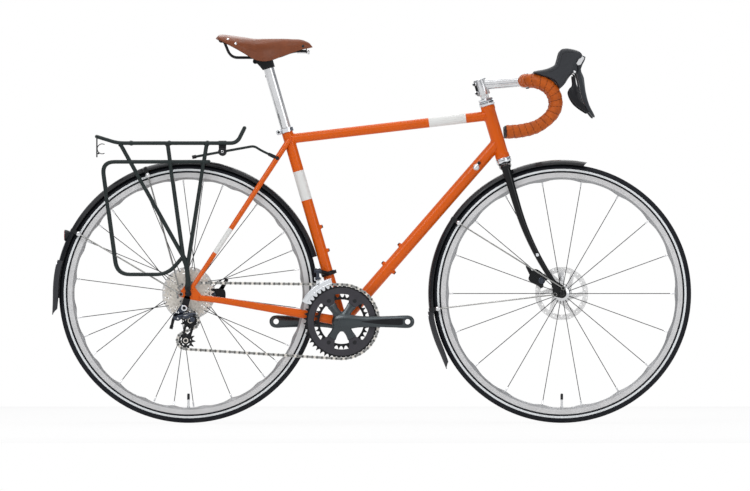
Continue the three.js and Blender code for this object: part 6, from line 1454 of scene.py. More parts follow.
SADDLE_TAIL, SADDLE_LENGTH, SADDLE_WIDTH, SADDLE_HEIGHT = 72, 253, 164, 1007
SADDLE_KNOTS = (
    # share of the length, half width's share, rise of the top, depth of the skirt
    (0, 0.6, 1, 2), (0.02, 0.82, 6.5, 10), (0.048, 0.93, 10.3, 17), (0.145, 1, 8.6, 27),
    (0.275, 0.93, 4.4, 41), (0.404, 0.7, -0.5, 55), (0.534, 0.46, -0.5, 59), (0.69, 0.3, -0.5, 46),
    (0.79, 0.26, -1.5, 36), (0.883, 0.23, -2.6, 27), (0.96, 0.15, -10.4, 15), (0.985, 0.1, -17, 7),
    (1, 0.04, -21.8, 1.5))
saddle_rows = smooth(SADDLE_KNOTS, 6)


def saddle_ring(row, inward=0.0, arcs=40):
    share, width, rise, skirt = row
    half = max(SADDLE_WIDTH / 2 * width - inward, SADDLE_WIDTH / 4 * width)
    inward = min(inward, skirt / 2)
    top, bottom = SADDLE_HEIGHT + rise - inward, SADDLE_HEIGHT + rise - skirt
    ring = []
    for k in range(arcs + 1):
        angle = math.pi * (k / arcs - 0.5)
        wide = math.copysign(abs(math.sin(angle)) ** 0.8, math.sin(angle))
        high = max(0.0, math.cos(angle)) ** 0.75
        y = half * wide * (1 - 0.07 * (1 - high) ** 2)
        ring.append(at(SADDLE_TAIL + SADDLE_LENGTH * share, y, lerp(bottom, top, high)))
    return ring


def saddle_side(x, z, side):
    """The leather's outer face at a place in the side view, with its outward direction."""
    share = (x - SADDLE_TAIL) / SADDLE_LENGTH
    row = min(saddle_rows, key=lambda r: abs(r[0] - share))
    ring = [p for p in saddle_ring(row, 0, 120) if p.y * side > 0]
    spot = min(ring, key=lambda p: abs(p.z - z))
    k = ring.index(spot)
    along = (ring[min(k + 1, len(ring) - 1)] - ring[max(k - 1, 0)]).normalized()
    normal = along.cross(AHEAD).normalized()
    return at(x, spot.y, spot.z), normal if normal.y * side > 0 else -normal


leather = Piece("saddle_top_skin", "leather", "leather_edge", "alloy", "dark_steel",
                centre=at(SADDLE_TAIL + 120, 0, SADDLE_HEIGHT))
leather.skin([[*saddle_ring(row), *saddle_ring(row, 4.6)[::-1]] for row in saddle_rows])
for side in SIDES:
    for x, z, mark in ((103.8, 1005, 2), (124.1, 993.4, 2), (300, 987, 3)):
        spot, normal = saddle_side(x, z, side)
        leather.lathe(spot, normal, [(0, -2), (3.4, -1), (3.6, 0.3), (2.8, 1), (1.2, 1.4), (0, 1.5)],
                      24, mark)
saddle_skin = leather.done("seat", "leather", "saddle_top", sharp=60)

RAIL_RADIUS, RAIL_HEIGHT, NOSE_HEIGHT = 3.5, 957, 974
PLATE_SHARES = (0.067, 0.93)
post_top = (RAIL_HEIGHT - 7 - bracket.z) / seat_up.z
saddle_middle = on_seat(post_top).x - 10
cantle_x, nose_x = (SADDLE_TAIL + SADDLE_LENGTH * share for share in PLATE_SHARES)


def under_leather(share, depth, lift=0.6, skip=6):
    """A plate's section that follows the underside of the leather."""
    row = min(saddle_rows, key=lambda r: abs(r[0] - share))
    upper = [at(SADDLE_TAIL + SADDLE_LENGTH * share, p.y, p.z - lift) for p in saddle_ring(row, 5)]
    upper = upper[skip:len(upper) - skip]
    return upper + [p - UP * depth for p in upper[::-1]]


underside = Piece("saddle_frame_skin", "black_metal", "alloy", "dark_steel",
                  centre=at(saddle_middle, 0, RAIL_HEIGHT))
for share, depth in zip(PLATE_SHARES, (9, 20)):
    section = under_leather(share, depth)
    underside.skin([[p + AHEAD * x for p in section] for x in (0, 3)])
cantle_top = max(p.z for p in under_leather(PLATE_SHARES[0], 0))
for side in SIDES:
    route = [at(cantle_x + 1.5, side * 36, cantle_top - 5.4), at(cantle_x + 22, side * 36, RAIL_HEIGHT),
             at(saddle_middle - 37, side * 18, RAIL_HEIGHT), at(saddle_middle + 37, side * 18, RAIL_HEIGHT),
             at(SADDLE_TAIL + SADDLE_LENGTH * 0.8, side * 5, NOSE_HEIGHT),
             at(nose_x + 1.5, side * 5, NOSE_HEIGHT)]
    underside.tube(rounded([Vector(p) for p in route], 20, 8), RAIL_RADIUS, 20)
    loop_middle = at(cantle_x - 3, side * 30, cantle_top - 8)
    loop = [loop_middle + at(6 * math.cos(a), 0, 6 * math.sin(a)) for a in full_turn(24)]
    underside.tube(loop, 1.5, 10, closed=True)
underside.lathe(at(nose_x + 3, 0, NOSE_HEIGHT - 3), AHEAD, [
    (0, -26), (3, -26), (3, 2), (5.6, 2), (5.6, 6), (4.6, 7), (0, 7)], 20, 1)
underside.done("seat", "saddle_metal", "saddle_frame", bevel=0.4)

rail_middle = at(saddle_middle, 0, RAIL_HEIGHT)
clamp = Piece("saddle_clamp_skin", "black_metal", "dark_steel", centre=rail_middle)
for low, high in ((-8, -0.8), (0.8, 5)):
    clamp.plate(steps_from(rail_middle, (-25, low), (25, low), (23, high), (-23, high)), -23, 23)
for y_half, front in ((15, 12), (19, 8)):
    outline = [(saddle_middle - 24, RAIL_HEIGHT - 7), (saddle_middle + 25, RAIL_HEIGHT - 7),
               (saddle_middle + 24, RAIL_HEIGHT - 20)]
    foot = on_seat(post_top - 22)
    outline += [(foot.x + 16.4, foot.z + 4.6), (foot.x - 15, foot.z - 4.6),
                (saddle_middle - 10, RAIL_HEIGHT - 20)]
    clamp.plate(outline, -y_half, y_half)
clamp.lathe(bracket, seat_up, [
    (13.9, post_top - 22), (16.4, post_top - 22), (17, post_top - 21), (17, post_top - 2),
    (13.9, post_top - 2)], 48, loop=True)
clamp_bolt = at(saddle_middle - 19, 0, RAIL_HEIGHT - 10)
for side in SIDES:
    clamp.bolt(clamp_bolt + ACROSS * side * 15, ACROSS * side, 6.5, 7, 1)
clamp.tube([at(saddle_middle - 17, 0, RAIL_HEIGHT + lift) for lift in (9, -16)], 3, 16, 1)
clamp.done("seat", "saddle_metal", "saddle_clamp", bevel=1.2)

post = Piece("seatpost_skin", "alloy", "dark_steel", centre=on_seat(post_top))
low = SEAT_TUBE_LENGTH * 0.62
post.lathe(bracket, seat_up, [
    (12, low), (13.2, low), (13.6, low + 1), (13.6, post_top - 24), (13.4, post_top - 2),
    (12, post_top - 0.4), (0, post_top - 0.4), (0, low)], 64)
post.bolt(on_seat(post_top - 40, -13.6), -seat_ahead, 3, 0.8, 1)
post.done("seat", "chrome", "seatpost")

collar = Piece("seat_clamp_skin", "chrome", "dark_steel", "alloy", centre=on_seat(SEAT_TUBE_LENGTH))
low, top = SEAT_TUBE_LENGTH - 12, SEAT_TUBE_LENGTH
collar.lathe(bracket, seat_up, [
    (15, low), (17.6, low), (18.4, low + 0.8), (18.4, top - 0.8), (17.6, top), (13.9, top), (13.9, top - 0.6),
    (15, top - 0.6)], 64, loop=True)
for side in SIDES:
    ear = on_seat(SEAT_TUBE_LENGTH - 6, -17) + ACROSS * side * 5
    collar.tube([ear, ear - seat_ahead * 8, ear - seat_ahead * 10], [(6.8, 3.6), (6.6, 3.4), (4.4, 2.2)],
                24, up=seat_up)
    head = on_seat(SEAT_TUBE_LENGTH - 6, -21.4)
    collar.lathe(head, ACROSS * side, [
        (0, 8), (6.3, 8), (6.5, 8.6), (6.5, 11.6), (5.8, 12.4), (3.4, 12.4), (3.2, 10), (0, 10)], 28,
        [0, 0, 0, 0, 0, 1, 1])
collar.tube([on_seat(top - 6, -20.4, -9), on_seat(top - 6, -20.4, 9)], 3, 16, 2)
collar.done("frame", "chrome", "seat_clamp")

# Mudguards

GUARD_RADIUS, GUARD_HALF, GUARD_WALL, GUARD_DROP = 350.4, 21, 1.6, 11
GUARD_EDGE = GUARD_RADIUS - GUARD_DROP
FLAP_ROOT_HALF, FLAP_TIP_HALF, FLAP_WALL = 23.2, 27, 2.2
CLAMP_RADIUS = 327


def guard_fall(share):
    """How far the skin lies inside its crown, with a rib along each side and a rolled edge."""
    rib = 0.9 * max(0, 1 - abs(abs(share) - 0.66) / 0.07)
    return GUARD_DROP * abs(share) ** 3.4 - rib


def guard_row(axle, degrees, lift=0.0, lean=0.0):
    """The guard's section from one outer edge to the other, then back along its inside."""
    shares = [k / 22 for k in range(-22, 23)]
    outer = [around(axle, degrees + lean * share ** 2, GUARD_RADIUS + lift - guard_fall(share),
                    GUARD_HALF * share + math.copysign(lift, share)) for share in shares]
    inner = [around(axle, degrees + lean * share ** 2,
                    GUARD_RADIUS - GUARD_WALL - GUARD_DROP * abs(share) ** 3.4,
                    (GUARD_HALF - GUARD_WALL) * share) for share in shares[::-1]]
    return outer + inner


def flap_row(axle, degrees, share, lean):
    """One row of the rubber flap, which wraps the guard's end and flares towards its own."""
    crown = GUARD_RADIUS + 3.6 + 1.6 * eased(share / 0.15) + 6 * max(share - 0.62, 0) ** 2 / 0.144
    half = lerp(FLAP_ROOT_HALF, FLAP_TIP_HALF, share ** 1.5)
    rows = []
    for wall, order in ((0, 1), (FLAP_WALL, -1)):
        row = []
        for k in range(-14, 15):
            s = k / 14 * order
            fall = 14.5 * abs(s) ** 3 - 0.7 * max(0, 1 - abs(abs(s) - 0.5) / 0.12)
            row.append(around(axle, degrees + lean * s * s * share, crown - wall - fall * (1 - 0.05 * wall),
                              (half - wall) * s))
        rows += row
    return rows


def guard_clamp(guard, axle, degrees, side):
    """The lug below the guard's edge, its ball-headed bolt and the ear that the wire ends in."""
    out, along = turned_axes(degrees)
    guard.plate(strap(CLAMP_RADIUS, 0, 6, GUARD_EDGE + 5, 0, 4.4), *depths(side, 21.4, 25.4), mark=1,
                put=about(axle, out, along, ACROSS))
    head = around(axle, degrees, CLAMP_RADIUS, side * 25)
    guard.lathe(head, ACROSS * side, [
        (0, 0), (6.4, 0), (6.7, 1), (6.3, 2.6), (5, 4.2), (3, 5), (0, 5.2)], 28, 3)


def guard_stay(guard, axle, degrees, eyelet, wire_y, knee, face):
    """The strap round the guard and the wire on each side, from an eyelet to its clamp."""
    guard.skin([guard_row(axle, degrees + lean, 0.9) for lean in (-0.62, 0.62)], 1)
    for side in SIDES:
        guard_clamp(guard, axle, degrees, side)
        foot = axle + at(eyelet[0], side * wire_y, eyelet[1])
        high = around(axle, degrees, GUARD_EDGE - 2, side * 22.4)
        stops = [foot]
        if knee:
            edge = around(axle, degrees, GUARD_EDGE)
            stops.append(foot.lerp(beside(edge, foot.y), knee))
        low = around(axle, degrees, CLAMP_RADIUS - 8, 0)
        low.y = lerp(high.y, stops[-1].y, (high - low).length / (high - stops[-1]).length)
        guard.tube(rounded([*stops, low, high], 20), 1.7, 12, 2)
        guard.lathe(at(foot.x, side * (face + 0.2), foot.z), ACROSS * side, [
            (1.5, 0), (5.2, 0), (5.2, 1.6), (4.2, 1.8), (4.2, wire_y - face + 1.9),
            (1.5, wire_y - face + 1.9)], 24, 2, loop=True)
        guard.bolt(at(foot.x, side * (wire_y + 1.9), foot.z), ACROSS * side, 3.8, 2.4, 1)


def make_guard(name, axle, start, end, flap, stays, lean, body, node):
    guard = Piece(name, "guard_plastic", "black_plastic", "steel", "alloy", "flap_rubber", centre=axle)
    count = int((end - start) / 2)
    rows = [guard_row(axle, lerp(start, end, k / count), 0, lean if k == 0 else 0) for k in range(count + 1)]
    guard.skin(rows)
    shares = [k / 16 for k in range(17)]
    guard.skin([flap_row(axle, lerp(*flap, share), share, -2.2) for share in shares], 4)
    for s in (-0.4, 0.4):
        place = around(axle, flap[0] + 1.8, GUARD_RADIUS + 4.2, s * GUARD_HALF)
        guard.lathe(place, place - axle, [(0, -1), (3.4, -1), (3.2, 1), (1.6, 1.8), (0, 1.9)], 16, 3)
    for stay in stays:
        guard_stay(guard, axle, *stay)
    guard.done(body, "mudguard", node)


make_guard("rear_mudguard_skin", rear_axle, 16.2, 182, (165.5, 188.9),
           [(degrees, (-19, -2), 77.8, 0, REAR_OUTER) for degrees in (109, 151.5)],
           0, "frame", "rear_mudguard")
make_guard("front_mudguard_skin", front_axle, 79, 189, (187.7, 213.2),
           [(degrees, eyelet, 60.3, 120 / GUARD_RADIUS, FRONT_OUTER)
            for degrees, eyelet in ((145.6, (3, 14)), (187, (-18, -3)))],
           1.2, "steering", "front_mudguard")

box = [Vector(corner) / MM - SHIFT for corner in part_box("rear_reflector")]
lamp_foot = (box[0] + box[1]) / 2
reflector = Piece("rear_reflector_skin", "black_plastic", "red_lens", centre=lamp_foot)
REFLECTOR_SHELL = ((7, 9), (6.4, 11.5), (-2.5, 14.6), (-6.6, 14.8), (-7.2, 14.2))
REFLECTOR_LENS = ((-6.9, 13.4), (-8, 13.2), (-8.5, 11.5), (-8.7, 6), (-8.7, 0.5))
reflector.skin([[lamp_foot + at(x, y * 0.97 ** k, z) for y, z in circle(0, 0, radius, 40)]
                for k, (x, radius) in enumerate(REFLECTOR_SHELL)])
reflector.skin([[lamp_foot + at(x, y, z) for y, z in circle(0, 0, radius, 40)]
                for x, radius in REFLECTOR_LENS], 1)
reflector.block(lamp_foot + at(8, 0, -3), (8, 12, 12))
reflector.done("frame", "reflector", "rear_reflector", bevel=0.4)

# Rear rack

DECK, RAIL, TAIL, HOOK = 733, 684, 750, 773
DECK_HALF, FOOT_HALF, FOOT_DROP = 55, 73, 301
RACK_ROD, RACK_JOINT = 4.8, at(-14, FOOT_HALF, 436)


def rack_side(z):
    return max(lerp(DECK_HALF, FOOT_HALF, (DECK - z) / FOOT_DROP), DECK_HALF)


def bead(piece, place, axis, radius, mark=0):
    """A small weld bead round a rod's foot."""
    along = Vector(axis).normalized()
    u = along.orthogonal().normalized()
    v = along.cross(u)
    piece.tube([place + (u * math.cos(t) + v * math.sin(t)) * radius for t in full_turn(20)],
               [1.5 + 0.3 * math.sin(3.1 * k) for k in range(20)], 8, mark, closed=True)


def rack_half(rack, side):
    """The rods, the foot, the front stay and its clamp on one side."""
    def spot(x, z):
        return at(x, side * rack_side(z), z)

    def rod(start, end, radius=RACK_ROD):
        rack.tube([start, end], radius, 20)
        heading = (end - start).normalized()
        bead(rack, start + heading * (RACK_ROD + 0.6), heading, radius + 0.3)

    joint = beside(RACK_JOINT, side * RACK_JOINT.y)
    deck = rounded([at(-240, 0, TAIL), spot(-240, TAIL), spot(-185, DECK), spot(127, DECK), spot(147, HOOK),
                    at(147, 0, HOOK)], 17)
    rack.tube(deck, RACK_ROD, 20, up=UP)
    loop = rounded([spot(54, RAIL), spot(-227, RAIL), spot(-187, 389), spot(-54, 389), joint], 34)
    rack.tube(loop, [RACK_ROD] * (len(loop) - 1) + [RACK_ROD * 0.9], 20)
    rack.lathe(spot(54, RAIL), AHEAD, [(0, -1), (4.8, -1), (4.8, 1), (3.8, 2.6), (1.6, 3.4), (0, 3.5)], 20)
    rod(spot(-180, DECK), joint)
    rod(spot(-55, DECK), joint)
    rod(spot(48, DECK), at(-2, side * 73.5, 414))
    foot = smooth([joint, at(-5, side * 74.6, 412), at(-1, side * 76, 380), at(-1, side * 76.3, 358)], 5)
    rack.tube(foot, [(lerp(5, 2.4, min(k / 8, 1)), lerp(6.2, 6.6, k / 15)) for k in range(16)], 20, up=ACROSS)
    rack.plate(strap(0, 380, 6, -1, 353, 8.4), *depths(side, 74.1, 78.2))
    rack.bolt(at(-1, side * 78.1, 353), ACROSS * side, 5, 3, 1)
    tip = on_seat_stay(0.12, side)
    bend = at(190, side * 34, 714)
    stay = rounded([at(13, side * 46, 696.6), at(89, side * 44, 710.6), at(172, side * 36, 725.5),
                    bend, tip.lerp(bend, 0.12)], 9)
    rack.tube(stay, 3.1, 16)
    rack.tube([at(10, side * 46, 696), at(20, side * 45.8, 697.9)], 4.6, 18, 1)
    sleeve = [tip.lerp(bend, share) for share in (0.03, 0.06, 0.5, 0.55)]
    rack.tube(sleeve, [3.6, 5, 4.6, 3.4], 20, 1)
    knob = at(89, side * 44, 710.6)
    rack.lathe(knob - ACROSS * side * 5, ACROSS * side, [
        (0, 0), (8.5, 0), (8.5, 6), (10.8, 7), (11.2, 12), (10.2, 15), (5, 16), (4.5, 15), (0, 15)], 32, 1)
    rack.bolt(knob + ACROSS * side * 9, ACROSS * side, 4, 2.4, 2)
    rack.plate([(80, 712), (98, 712), (99, 735), (79, 735)], *depths(side, 45, 49), mark=1)
    rack.tube([at(79, side * 52, DECK), at(99, side * 52, DECK)], 6.2, 20, 1)
    eye = tip + ACROSS * side * 3
    rack.lathe(eye, ACROSS * side, [(0, 0), (5.4, 0), (5.6, 3), (5, 5), (0, 5.2)], 20, 1)


rack = Piece("rack_skin", "rack_coat", "black_plastic", "alloy")
for side in SIDES:
    rack_half(rack, side)
for x in (-150, -50, 50):
    rack.tube([at(x, -DECK_HALF, DECK), at(x, DECK_HALF, DECK)], RACK_ROD, 20)
    for side in SIDES:
        bead(rack, at(x, side * (DECK_HALF - RACK_ROD - 0.6), DECK), ACROSS, RACK_ROD + 0.3)
rack.plate([(-22, -52), (22, -52), (25, -47), (25, 4), (-25, 4), (-25, -47)], -1.5, 1.5,
           [circle(-15, -30, 3.2, 16), circle(15, -30, 3.2, 16), circle(0, -14, 6, 24)],
           put=lambda u, v, depth: at(-240 + depth, u, TAIL - 2 + v))
rack.tube([at(x, 0, z) for x, z in arc(-226, 718, 13, 62, 298, 20)], [(5, 1.2)] * 21, 12, up=ACROSS)
rack.tube([at(-238, 0, 705), at(-234, 0, 707)], 2, 12)
rack.done("frame", "rack_paint", "rack")

# Rear derailleur

hanger_bolt = at(-10.5, -REAR_OUTER, rear_axle.z - 38)
swing_axis = Vector(joints["rear_mech_shift"]["axis"]).normalized()
link_start = joint_place("rear_mech_shift")
swing_across = at(0, swing_axis.z, -swing_axis.y)
LINK_LEAN, LINK_LENGTH, SLOT_HALF = math.radians(-12), 44, 3.9
link_along = at(math.cos(LINK_LEAN), 0, 0) + swing_across * math.sin(LINK_LEAN)
link_beside = swing_axis.cross(link_along)
link_end = link_start + link_along * LINK_LENGTH
cage_pivot = at(guide_wheel.x + 6, link_end.y, guide_wheel.z + 3)


def cheek(piece, outline, low, high, mark=0, inset=1.6):
    """A plate with softened rims: its end faces are smaller than its middle."""
    middle = Vector((sum(u for u, v in outline), sum(v for u, v in outline))) / len(outline)
    rows = []
    for depth, shrink in ((low, 1), (low + inset * 0.35, 0.3), (low + inset, 0), (high - inset, 0),
                          (high - inset * 0.35, 0.3), (high, 1)):
        row = []
        for u, v in outline:
            off = Vector((u, v)) - middle
            off *= 1 - shrink * inset / max(off.length, inset)
            row.append(side_view(middle.x + off.x, middle.y + off.y, depth))
        rows.append(row)
    piece.skin(rows, mark)


def cut_slot(thing, foot, inward, corners):
    """Leaves room for the link between two cheeks."""
    room = [foot + link_along * inward * a + link_beside * b for a, b in corners]
    carve(thing, [Piece("cutter").skin([[p + swing_axis * depth for p in room]
                                        for depth in (-SLOT_HALF, SLOT_HALF)])])


body = Piece("rear_derailleur_body_skin", "mech_alloy", "black_metal", "chrome", "dark_steel",
             centre=hanger_bolt)
front, back = hanger_bolt.y - 12.3, hanger_bolt.y - 0.3
root = [*steps_from(hanger_bolt, (4, 8), (-8, 8)),
        *steps_from(link_start, (-4, 13), (-12.5, 4), (-11, -7), (0, -11.4), (9, -6)),
        *steps_from(hanger_bolt, (3, -10), (9, 0))]
cheek(body, loop_through(root), front, back, 0, 2.6)
body_object = body.done("rear_mech_body", "mech_body", "rear_derailleur_body")
cut_slot(body_object, link_start, 1, ((-9, -9), (40, -30), (40, 34), (-9, 12)))

trim = Piece("rear_derailleur_trim", "chrome", "black_metal", "dark_steel", "alloy", centre=hanger_bolt)
face = beside(hanger_bolt, front)
trim.lathe(face, -ACROSS, [(4.4, -1), (8, -1), (8.2, 0.6), (7.4, 1.8), (4.6, 2), (4.4, 1.2)],
           36, 0, loop=True)
trim.lathe(face, -ACROSS, [(0, -1), (4.5, -1), (4.5, 1), (2.2, 1.2), (2.2, 0.2), (0, 0.2)], 24, 1)
trim.lathe(hanger_bolt, ACROSS, drum(4.6, -1, 6.6), 20, 2)
barrel_start, barrel_end = at(-42.5, -80, 256), at(-45, -80, 247.5)
arm_route = smooth([at(-34, -80, 281), at(-38.5, -80, 272), at(-41, -80, 263), barrel_start], 5)
trim.tube(arm_route, [lerp(4.6, 3.7, k / 15) for k in range(16)], 20, 1)
for k in range(9):
    rib = 4.9 - 0.7 * (k % 2)
    trim.lathe(barrel_start.lerp(barrel_end, k / 8), barrel_end - barrel_start,
               [(0, -0.1), (rib, 0), (rib, 1.1), (0, 1.15)], 20, 1)
for off in (0, 5.5):
    trim.bolt(at(-31 + off, front + 0.6, 290 - off * 0.2), -ACROSS, 2.3, 1.6, 3)
trim.tube(through(link_start, swing_axis, 9.4), 2.6, 20, 3)
trim.done("rear_mech_body", "mech_body", bevel=0.2)

link = Piece("rear_derailleur_link_skin", "mech_alloy", "steel", "black_metal", centre=link_start)


def link_row(reach, half, high):
    """The link's rounded section at a place along it."""
    corner = arc(half - 1.4, high - 1.4, 1.4, 0, 90, 3)
    quarter = corner + [(-u, v) for u, v in corner[::-1]]
    outline = quarter + [(-u, -v) for u, v in quarter]
    return [link_start + link_along * reach + link_beside * u + swing_axis * v for u, v in outline]


LINK_ROWS = (
    (-5, 2.4, 2.2), (-3, 4.4, 3.1), (5, 5.2, 3.2), (11.5, 5.2, 3.3), (14, 5.2, 7.2), (17, 5.2, 9.2),
    (22, 5.2, 9.8), (27, 5.2, 9.2), (30, 5.2, 7.2), (32.5, 5.2, 3.3), (39, 5.2, 3.2), (47, 4.4, 3.1),
    (49, 2.4, 2.2))
link.skin([link_row(*row) for row in LINK_ROWS])
for depth in (-4.4, 4.4):
    link.tube([link_start + link_along * reach + link_beside * -5.4 + swing_axis * depth
               for reach in (16, 28)], [(0.5, 1.3)] * 2, 10, 1, up=link_beside)
link.done("rear_mech_link", "mech_body", "rear_derailleur_link", sharp=45, bevel=0.3)

knuckle = Piece("rear_derailleur_knuckle_skin", "black_metal", "mech_alloy", centre=cage_pivot)
outer = link_end.y - 7
hump = [*steps_from(cage_pivot, (-10, -2), (-7, 9)),
        *steps_from(link_end, (-8, 9), (3, 11.6), (11.4, 3), (10, -8)),
        *steps_from(cage_pivot, (9, -8), (0, -9.6))]
cheek(knuckle, loop_through(hump), outer, link_end.y + 7, 0, 2.4)
knuckle.lathe(beside(cage_pivot, outer + 2), ACROSS, [
    (0, 0), (8.8, 0), (9, 1), (9, 10), (8.4, 10.4), (8.4, 12), (9, 12.4), (9, -63 - outer), (8, -62 - outer),
    (0, -62 - outer)], 36)
knuckle_object = knuckle.done("rear_mech_knuckle", "mech_body", "rear_derailleur_knuckle")
cut_slot(knuckle_object, link_end, -1, ((-9, -12), (40, -30), (40, 34), (-9, 9)))
pin = Piece("rear_derailleur_knuckle_trim", "dark_steel", "mech_alloy", "alloy", centre=cage_pivot)
pin.tube(through(link_end, swing_axis, 9.6), 2.6, 20)
pin.lathe(beside(cage_pivot, outer), -ACROSS, [
    (0, -1), (6.4, -1), (6.4, 0.4), (5.4, 1), (2.6, 1.1), (2.4, 0.2), (0, 0.2)], 28, 1)
pin.bolt(at(link_end.x + 6, outer, link_end.z + 2), -ACROSS, 2.2, 1, 2)
pin.done("rear_mech_knuckle", "mech_body")

# The depths of both plates.
CAGE_OUTER, CAGE_INNER = (-60.7, -59.5), (-49.5, -48.3)
cage = Piece("rear_derailleur_cage_skin", "black_metal", "cog_steel", "dark_steel", "alloy",
             centre=guide_wheel)
window_ends = [(lerp(guide_wheel.x, tension_wheel.x, share), lerp(guide_wheel.z, tension_wheel.z, share), 6)
               for share in (0.36, 0.64)]
window = strap(*window_ends[0], *window_ends[1], 8)
cage.plate(wrapped([disc(guide_wheel, 11), disc(cage_pivot, 9), disc(tension_wheel, 11)], 40),
           *CAGE_OUTER, [window])
cage.plate(strap(*disc(guide_wheel, 11), *disc(tension_wheel, 11), 16), *CAGE_INNER, [window], 1)
for place in (guide_wheel, tension_wheel):
    cage.tube([beside(place, CAGE_OUTER[0]), beside(place, CAGE_INNER[1])], 2.4, 20, 2)
    cage.bolt(beside(place, CAGE_OUTER[0]), -ACROSS, 4.2, 2, 2)
    cage.lathe(beside(place, -60.6), -ACROSS, [(4.4, 0), (7, 0), (6.8, 0.7), (4.6, 0.8)], 28, 1, loop=True)
cage.tube([at(tension_wheel.x - 11, y, tension_wheel.z - 4) for y in (-59.9, -49)], 1.6, 14, 1)
cage.done("rear_mech_cage", "mech_plate", "rear_derailleur_cage", bevel=0.25)

for name, place, wheel in (("guide", guide_wheel, 2), ("tension", tension_wheel, 3)):
    pulley = Piece(f"{name}_pulley_skin", "black_plastic", "steel", centre=place)
    holes = [arc(0, 0, 13.4, a, a + 34, 6) + arc(0, 0, 9.4, a + 32, a + 2, 5) for a in range(0, 360, 72)]
    holes.append(circle(0, 0, 2.7, 20))
    pulley.plate(toothed(PULLEY_TEETH, tooth_phase(wheel), 5.4, 3.3), -1.1, 1.1, holes,
                 put=about(place, AHEAD, UP, ACROSS))
    pulley.lathe(place, ACROSS, [
        (2.7, -4.6), (5, -4.6), (5.6, -2), (8.2, -1), (8.2, 1), (5.6, 2), (5, 4.6), (2.7, 4.6)],
        28, 0, loop=True)
    pulley.done(f"{name}_wheel", "pulley", f"{name}_pulley", bevel=0.2)

# Front derailleur

mech_pivot = joint_place("front_mech_shift")
cage_swing = mech_pivot - UP * 20
band = Piece("front_derailleur_band_skin", "black_metal", "dark_steel", "mech_alloy", centre=mech_pivot)
BAND_HEIGHT = 131
low = BAND_HEIGHT - 5.5
band.lathe(bracket, seat_up, [
    (SEAT_RADIUS + 0.2, low), (SEAT_RADIUS + 2.8, low), (SEAT_RADIUS + 3.2, low + 0.6),
    (SEAT_RADIUS + 3.2, low + 10.4), (SEAT_RADIUS + 2.8, low + 11), (SEAT_RADIUS + 0.2, low + 11)],
    56, 0, loop=True)
grip = on_seat(BAND_HEIGHT)
band.block(grip + seat_ahead * 19 + ACROSS * 3, (8, 13, 9), axes=(seat_ahead, ACROSS, seat_up))
band.bolt(grip + seat_ahead * 19 - ACROSS * 3.5, -ACROSS, 3.6, 3, 1)
bridge_y = mech_pivot.y + 3.5
band.tube([grip - ACROSS * SEAT_RADIUS, beside(mech_pivot, bridge_y + 5.5)], 5.5, 24)
band.block(beside(mech_pivot, bridge_y + 5.7), (19, 11, 11), 2)
for side in SIDES:
    band.block(at(mech_pivot.x + side * 8.4, mech_pivot.y + 1, mech_pivot.z), (2.2, 9.6, 7.6), 2)
    band.bolt(at(mech_pivot.x + side * 4.5, bridge_y + 4, mech_pivot.z + 5.5), UP, 1.9, 1.4, 1)
band.tube(through(mech_pivot, AHEAD, 9.4), 1.6, 14, 1)
band.done("frame", "black_paint", "front_derailleur_band", bevel=0.6)

swing = Piece("front_derailleur_link_skin", "mech_alloy", "dark_steel", centre=mech_pivot)
for place in (mech_pivot, cage_swing):
    swing.tube(through(place, AHEAD, 7), 3.2, 20)
rows = [(k / 8, 5.5 - 1.6 * math.sin(math.pi * k / 8)) for k in range(9)]
swing.skin([[mech_pivot - UP * 20 * share + AHEAD * a * half + ACROSS * b * 1.2
             for a, b in ((-1, -1), (1, -1), (1, 1), (-1, 1))] for share, half in rows])
swing.done("front_mech_link", "mech_body", "front_derailleur_link", bevel=0.3)


def blade_outline(inner, outer):
    """The curved cage plate over the large ring, between two arcs about the bracket."""
    return steps_from(bracket, *arc(0, 0, inner, 104, 153, 18), *arc(0, 0, outer, 153, 104, 18))


blades = Piece("front_derailleur_cage_skin", "chrome", "dark_steel", centre=cage_swing)
left, right = RING_LINE - 8.2, RING_LINE + 7.2
blades.plate(blade_outline(101.5, 117), left, left + 1)
blades.plate(blade_outline(92, 117), right, right + 1)
for radius in (104, 114.4):
    blades.tube([at(bracket.x + x, left, bracket.z + z) for x, z in arc(0, 0, radius, 107, 150, 24)], 0.7, 8)
tail = around(bracket, 150, 114)
blades.tube([beside(tail, left + 0.5), beside(tail, right + 0.5)], 2.4, 16)
nose = cage_swing.z - 3.5
blades.block(at(cage_swing.x, (left + right + 1) / 2, nose - 1), (19, right + 1 - left, 2))
for y in (left, right):
    blades.block(at(cage_swing.x, y + 0.5, (nose + bracket.z + 95) / 2), (9, 1, nose - bracket.z - 95))
for side in SIDES:
    blades.block(at(cage_swing.x + side * 8.4, cage_swing.y, (nose + cage_swing.z + 2.8) / 2),
                 (2.2, 7.6, 7.3))
blades.tube(through(cage_swing, AHEAD, 9.6), 1.5, 12, 1)
blades.done("front_mech_cage", "mech_plate", "front_derailleur_cage", bevel=0.3)

# Disc brakes, on the left of each wheel

SPRING_TURNS = 2.5


